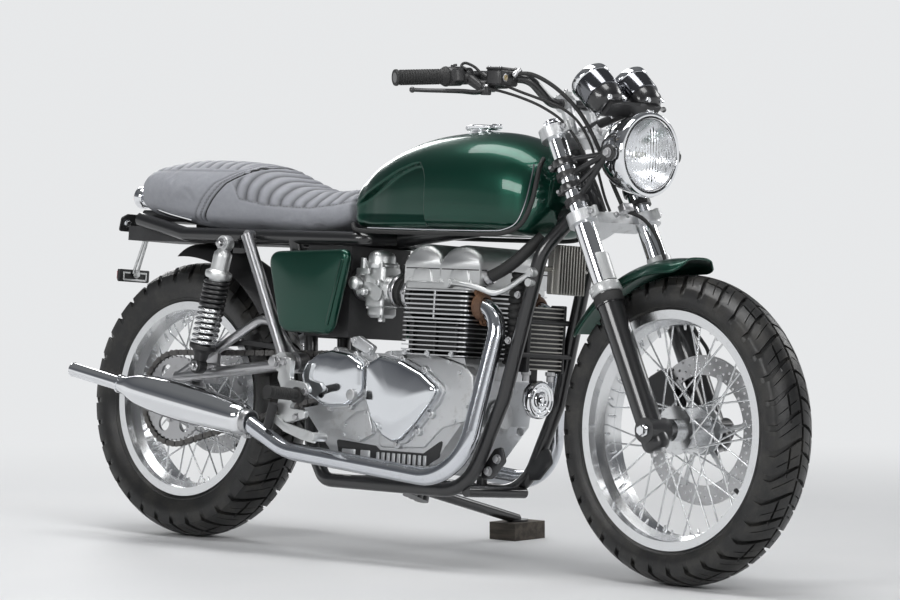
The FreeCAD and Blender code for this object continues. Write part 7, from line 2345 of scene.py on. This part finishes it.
@dataclass
class Controls:
    """Grips, levers, switches and the brake's fluid box, on the handlebar.

    Attributes:
        knee: Outer bend of the bar.
        end: Left end of the bar.
    """

    knee: Vector = field(default_factory=lambda: Vector((10, 212, 861)))
    end: Vector = field(default_factory=lambda: Vector((-60, 405, 880)))

    def build(self) -> None:
        """Build the controls of both sides."""
        inward = (self.knee - self.end).normalized()
        place = aimed(self.end, inward)
        grip = Solid.lathe([
            (11, 0), (17.4, 0), (18, 2), (18, 5), (16.4, 6.4), (15.6, 8), (15.6, 106), (17, 108),
            (21.6, 116), (22, 118), (22, 121), (20.6, 122.5), (11, 122.5)], 40, True)
        for index in range(15):
            low = 12 + index * 6.2
            grip.put_turned([(15.4, low), (16.8, low + 0.8), (16.8, low + 3.6), (15.4, low + 4.4)], sides=40,
                            closed=True)
        grip.put_turned([(14, 0.2), (16.6, 1), (17.2, 2.6), (17.2, 5)], sides=32, slot=1)
        grip.placed(place).both().piece(
            "ribbed_grips", FORK, [Finish.RUBBER, Finish.STEEL], sharp=50, replaces=["grips"])
        left = self._switch(place).add(self._lever(inward))
        right = self._switch(place).add(self._lever(inward)).add(self._fluid_box(inward))
        left.add(right, Matrix.Scale(-1, 4, (0, 1, 0)))
        finishes = [Finish.SATIN, Finish.STEEL, Finish.BLACK, Finish.MARK, Finish.SIGHT]
        left.piece("bar_fittings", FORK, finishes, bevel=0.5, replaces=["bar_controls"])

    def _switch(self, place: Matrix) -> Solid:
        """Switch housing with its buttons and screws.

        Args:
            place: Matrix from the grip's own axis.

        Returns:
            The housing.
        """
        solid = Solid.lathe([(0, 123), (19, 123), (21, 126), (21, 152), (19, 156), (0, 156)],
                            32).placed(place)
        box = Solid.block((30, 22, 28), (0, 0, 140), 5)
        solid.add(box, place @ Matrix.Rotation(math.radians(90), 4, "Z")
                  @ Matrix.Translation(Vector((0, -12, 0))))
        for off in (-7, 7):
            button = Solid.lathe([(0, 0), (4.4, 0), (4.4, 4), (3.4, 5), (0, 5)], 16, slot=2)
            solid.add(button, place @ aimed((off, 21, 140), (0, 1, 0)))
        return solid

    def _lever(self, inward: Vector) -> Solid:
        """Perch and its flat, curved lever with a ball end.

        Args:
            inward: Direction from the grip's end to the bar's bend.

        Returns:
            Perch and lever.
        """
        root = self.end + inward * (0.6 + 122 + 34 + 11)
        solid = Solid.lathe([(0, -11), (17.5, -11), (18.4, -9), (18.4, 9), (17.5, 11), (0, 11)], 32)
        whole = solid.placed(aimed(root, inward))
        hub = Vector((30, 240, 812))
        whole.put_tube([root, root.lerp(hub, 0.6), hub], lambda share: 13 - 4 * share, 16)
        whole.put_turned([(11, -9), (12, -7), (12, 7), (11, 9)], hub, (0.45, 0, 0.9), 24)
        whole.put_bolt(5, 5, hub + Vector((4, 0, 8)), (0.45, 0, 0.9), 1)
        route = curved([hub, (20, 262, 812), (10, 292, 818), (-4, 330, 824), (-22, 366, 832),
                        (-34, 392, 838)], 8)
        rings = []
        for index, point in enumerate(route):
            share = index / (len(route) - 1)
            wide = 8.0 - 2.6 * smooth_step(share, 0.1, 0.8)
            tall = 4.8 - 0.8 * share
            rings.append([point + Vector((wide * math.cos(a), 0.4 * wide * math.cos(a), tall * math.sin(a)))
                          for a in round_angles(16)])
        whole.add(Solid.loft(rings), slot=2)
        ball = [(6.6 * math.sin(a), -6.6 * math.cos(a)) for a in np.linspace(0.05, math.pi - 0.05, 12)]
        whole.add(Solid.lathe(ball, 20, slot=2), aimed(route[-1]))
        whole.put_turned([(5.4, 0), (5.4, 12), (4, 14)], hub + Vector((6, -6, 0)), (0.3, -1, -0.1), 12, 1)
        return whole

    def _fluid_box(self, inward: Vector) -> Solid:
        """Square fluid box with a screwed lid and a round sight glass, ahead of the bar's bend.

        Args:
            inward: Direction from the grip's end to the bar's bend.

        Returns:
            The box with its pump.
        """
        centre = Vector((56, 204, 836))
        level = Matrix.Rotation(Layout.rake, 4, "Y") @ Matrix.Rotation(math.radians(-14), 4, "Z")
        local = Solid.block((38, 74, 34), (0, 0, -4), 6)
        local.put_block((40, 77, 7), (0, 0, 15), 5)
        for x in (-14, 14):
            for y in (-31, 31):
                local.put_screw(3.4, 2.6, (x, y, 18.3), slot=1)
        local.put_turned([(9, 0), (9, 2), (7.2, 2.6)], (19, 20, -4), (1, 0, 0), 28, 1)
        local.put_turned([(6.8, 2), (6.6, 3.4), (0, 3.8)], (19, 20, -4), (1, 0, 0), 28, 4)
        solid = local.placed(Matrix.Translation(centre) @ level)
        barrel = Vector((36, 214, 826))
        solid.put_turned([(9, -34), (10, -32), (10, 30), (8, 34)], barrel, inward)
        solid.put_tube([barrel, centre - Vector((0, 0, 8))], 11, 18)
        solid.put_tube([barrel, Vector((12, 212, 858))], 12, 18)
        return solid


@dataclass
class Brakes:
    """Drilled rotors, their bolts and the fittings of the sprocket."""

    def build(self) -> None:
        """Build the fittings that turn with the wheels."""
        self._rotor("front_rotor", "front_disc", FRONT, 56.0, (118, 128, 138, 148, 160), 30)
        self._rotor("rear_rotor", "rear_disc", REAR, 58.0, (86, 96, 106, 116, 127), 26)
        self._disc("front_disc_bolts", FRONT, 56.0, 34.0)
        self._disc("rear_disc_bolts", REAR, 58.0, 50.0)
        solid = Solid()
        for index in range(6):
            angle = math.tau * index / 6 + 0.26
            solid.put_bolt(6.5, 7, (52 * math.cos(angle), -83.4, 52 * math.sin(angle)), (0, -1, 0))
        solid.put_turned([(13, 0), (38, 0), (39, 3), (36, 6), (22, 7), (20, 10), (13, 10)], (0, -83.5, 0),
                         (0, -1, 0), 40, 1, closed=True)
        solid.piece("sprocket_bolts", REAR, [Finish.STEEL, Finish.ALLOY], bevel=0.3)

    @staticmethod
    def _rotor(name: str, node: str, space: Space, lateral: float, radii: Sequence[float],
               count: int) -> None:
        """Drilled friction ring on a spoked carrier.

        Args:
            name: The piece's name.
            node: The node it stands for.
            space: The wheel's space.
            lateral: Middle of the ring.
            radii: Borders of the rows of holes.
            count: Holes in each row.
        """
        solid = Solid()
        thick, hole = 2.4, 3.1
        for row, (low, high) in enumerate(zip(radii, radii[1:])):
            for cell in range(count):
                middle = (cell + 0.5 * (row % 2)) / count * math.tau
                half = math.pi / count
                spot = (low + high) / 2
                border, rim = [], []
                for step in range(16):
                    along = -1 + 2 * (step % 4) / 4
                    edge = step // 4
                    share, angle = ((0.0, along), ((along + 1) / 2, 1.0), (1.0, -along),
                                    ((1 - along) / 2, -1.0))[edge]
                    border.append((low + (high - low) * share, middle + half * angle))
                    turn = math.radians(-135) + math.tau * step / 16
                    rim.append((spot + hole * math.sin(turn), middle + hole * math.cos(turn) / spot))
                loops = [[Vector((r * math.cos(a), side * thick, r * math.sin(a))) for r, a in line]
                         for line, side in ((border, 1), (rim, 1), (rim, -1), (border, -1))]
                solid.add(Solid.loft(loops, False, False))
        for radius in (radii[0], radii[-1]):
            solid.put_turned([(radius - 0.2, -thick), (radius + 0.2, -thick), (radius + 0.2, thick),
                              (radius - 0.2, thick)], (0, 0, 0), (0, 1, 0), 120, closed=True)
        inner = radii[0] * 0.42
        for angle in round_angles(6):
            turn = Matrix.Rotation(angle, 4, "Y")
            arm = Solid.tube([(inner, 0, 0), (inner + 20, 0, 6), (radii[0] + 3, 0, 16)], 5.5, 10, slot=1)
            solid.add(arm, turn)
            pad = Solid.lathe([(0, -4), (8, -4), (8, 4), (0, 4)], 18, slot=1)
            solid.add(pad.placed(aimed((radii[0] + 2, 0, 16), (0, 1, 0))), turn)
        solid.put_turned([(inner - 12, -3.5), (inner + 4, -3.5), (inner + 4, 3.5), (inner - 12, 3.5)],
                         (0, 0, 0), (0, 1, 0), 48, 1, closed=True)
        solid.placed(Matrix.Translation(Vector((0, lateral, 0)))).piece(
            name, space, [Finish.STEEL, Finish.ALLOY], sharp=30, replaces=[node])

    @staticmethod
    def _disc(name: str, space: Space, lateral: float, ring: float) -> None:
        """Bolts of a disc's carrier.

        Args:
            name: The piece's name.
            space: The wheel's space.
            lateral: Distance from the middle plane.
            ring: Radius of their circle.
        """
        solid = Solid()
        for angle in round_angles(6):
            solid.put_bolt(5.5, 5, (ring * math.cos(angle), lateral, ring * math.sin(angle)), (0, 1, 0))
        solid.piece(name, space, [Finish.STEEL], bevel=0.3)


class Studio:
    """Pale floor, soft lamps and the camera at the photograph's angle."""

    camera_from_contact = (6840.0, -6477.7, 996.5)
    target_from_contact = (826.9, 0.0, 585.9)
    axle_lean_shift = 22.0
    focal_pixels = 3973.0
    image_width = 900.0
    sensor = 36.0
    backdrop = (0.8, 0.81, 0.82)
    fade = (1.1, 3.4)
    light_colour = (0.8, 0.82, 0.85)
    light_power = 0.34
    mirrored = ((0.0, backdrop), (0.07, backdrop), (0.16, (0.2, 0.205, 0.215)), (0.4, (0.085, 0.09, 0.1)),
                (0.75, (0.16, 0.165, 0.17)))

    def __init__(self) -> None:
        """Anchor everything to the rear wheel's contact with the floor."""
        ground = LAYOUT.ground
        shift = Vector((0, self.axle_lean_shift * MILLIMETRE, 0))
        self.contact = Space(ground.origin - shift, ground.ahead, ground.left)

    def build(self) -> None:
        """Make floor, world, lamps and camera."""
        self._camera()
        self._floor()
        self._world()
        self._lamps()

    def _camera(self) -> None:
        """Camera on the fitted place, looking at the fitted target."""
        data = bpy.data.cameras.new("camera")
        data.sensor_width = self.sensor
        data.lens = self.focal_pixels / self.image_width * self.sensor
        camera = bpy.data.objects.new("camera", data)
        camera.location = self.contact.at(self.camera_from_contact)
        sight = self.contact.at(self.target_from_contact) - camera.location
        camera.rotation_euler = sight.to_track_quat("-Z", "Y").to_euler()
        bpy.context.collection.objects.link(camera)
        bpy.context.scene.camera = camera

    def _floor(self) -> None:
        """Wide pale floor that runs out into the background."""
        mesh = bpy.data.meshes.new("floor")
        reach = 60.0
        mesh.from_pydata([(-reach, -reach, 0), (reach, -reach, 0), (reach, reach, 0), (-reach, reach, 0)],
                         [], [(0, 1, 2, 3)])
        floor = bpy.data.objects.new("floor", mesh)
        graph = Surface("floor_concrete")
        clouds = graph.noise(1.4, 6.0, 0.6)
        tone = graph.mixed(clouds, (0.62, 0.63, 0.64), (0.7, 0.7, 0.7))
        graph.dress(Base_Color=tone, Roughness=0.62 + clouds * 0.1)
        self._fade(graph)
        floor.data.materials.append(graph.material)
        bpy.context.collection.objects.link(floor)

    def _fade(self, graph: Surface) -> None:
        """Turn the floor into the pale background with distance.

        Args:
            graph: The floor's nodes.
        """
        far = (graph.axis("X") * graph.axis("X") + graph.axis("Y") * graph.axis("Y")) ** 0.5
        glow = graph.add("ShaderNodeEmission", {}, {"Color": self.backdrop, "Strength": 1.0})
        graph.end(graph.blend(far.ramp(*self.fade), graph.shader, glow))

    def _world(self) -> None:
        """Even studio light, with a pale background for the camera and for reflections."""
        world = bpy.data.worlds.new("studio")
        bpy.context.scene.world = world
        graph = Graph(world, "ShaderNodeOutputWorld")
        rays = graph.add("ShaderNodeLightPath", {}, {}).outputs
        direction = graph.add("ShaderNodeTexCoord", {}, {}).outputs["Generated"]
        height = graph.value("ShaderNodeSeparateXYZ", "Z", {}, {"Vector": direction})
        ramp = graph.add("ShaderNodeValToRGB", {"stops": self.mirrored}, {"Fac": height})
        seen = graph.add("ShaderNodeBackground", {}, {"Color": self.backdrop})
        light = graph.add(
            "ShaderNodeBackground", {}, {"Color": self.light_colour, "Strength": self.light_power})
        mirrored = graph.add("ShaderNodeBackground", {}, {"Color": ramp.outputs[0]})
        direct = Value(graph, rays["Is Camera Ray"]).larger(Value(graph, rays["Is Transmission Ray"]))
        graph.end(graph.blend(direct, graph.blend(rays["Is Glossy Ray"], light, mirrored), seen))

    def _lamps(self) -> None:
        """Large soft lamps: overhead, key from the camera's left and rim lights."""
        lamps = {"overhead": ((0.0, -0.4, 3.4), (0.0, 0.0, 0.5), (3.6, 1.1), 78.0),
                 "key": ((0.6, -4.6, 2.6), (0.0, 0.0, 0.6), (2.6, 1.1), 84.0),
                 "front": ((4.4, -1.6, 2.0), (0.3, 0.0, 0.6), (0.9, 2.2), 44.0),
                 "rim": ((-3.8, 2.2, 2.4), (0.0, 0.0, 0.7), (1.0, 2.2), 46.0),
                 "far": ((1.2, 4.2, 2.6), (0.0, 0.0, 0.6), (2.6, 1.2), 46.0)}
        for name, (place, aim, extent, power) in lamps.items():
            data = bpy.data.lights.new(name, "AREA")
            data.shape = "RECTANGLE"
            data.size, data.size_y = extent
            data.energy = power
            lamp = bpy.data.objects.new(name, data)
            lamp.location = place
            lamp.rotation_euler = (Vector(aim) - Vector(place)).to_track_quat("-Z", "Y").to_euler()
            bpy.context.collection.objects.link(lamp)


def dress_kept_nodes() -> None:
    """Give every node that keeps its solid its finish."""
    for finish, names in KEPT_NODES.items():
        for name in names.split():
            materials = frame["nodes"][name].data.materials
            materials.clear()
            materials.append(WARDROBE[finish])
            LOG.info("node %s is %s", name, finish.name.lower())


def main() -> None:
    """Build the studio and dress the machine."""
    logging.basicConfig(level=logging.INFO, format="%(message)s")
    scene = bpy.context.scene
    scene.view_settings.view_transform = "Standard"
    Studio().build()
    parts = (Wheels(), Seat(), Tank(), Engine(), Exhaust(), SpringStrut(), Fittings(), Fork(), Headlamp(),
             Gauges(), Controls(), Brakes())
    for part in parts:
        part.build()
    dress_kept_nodes()


if __name__ == "__main__":
    main()
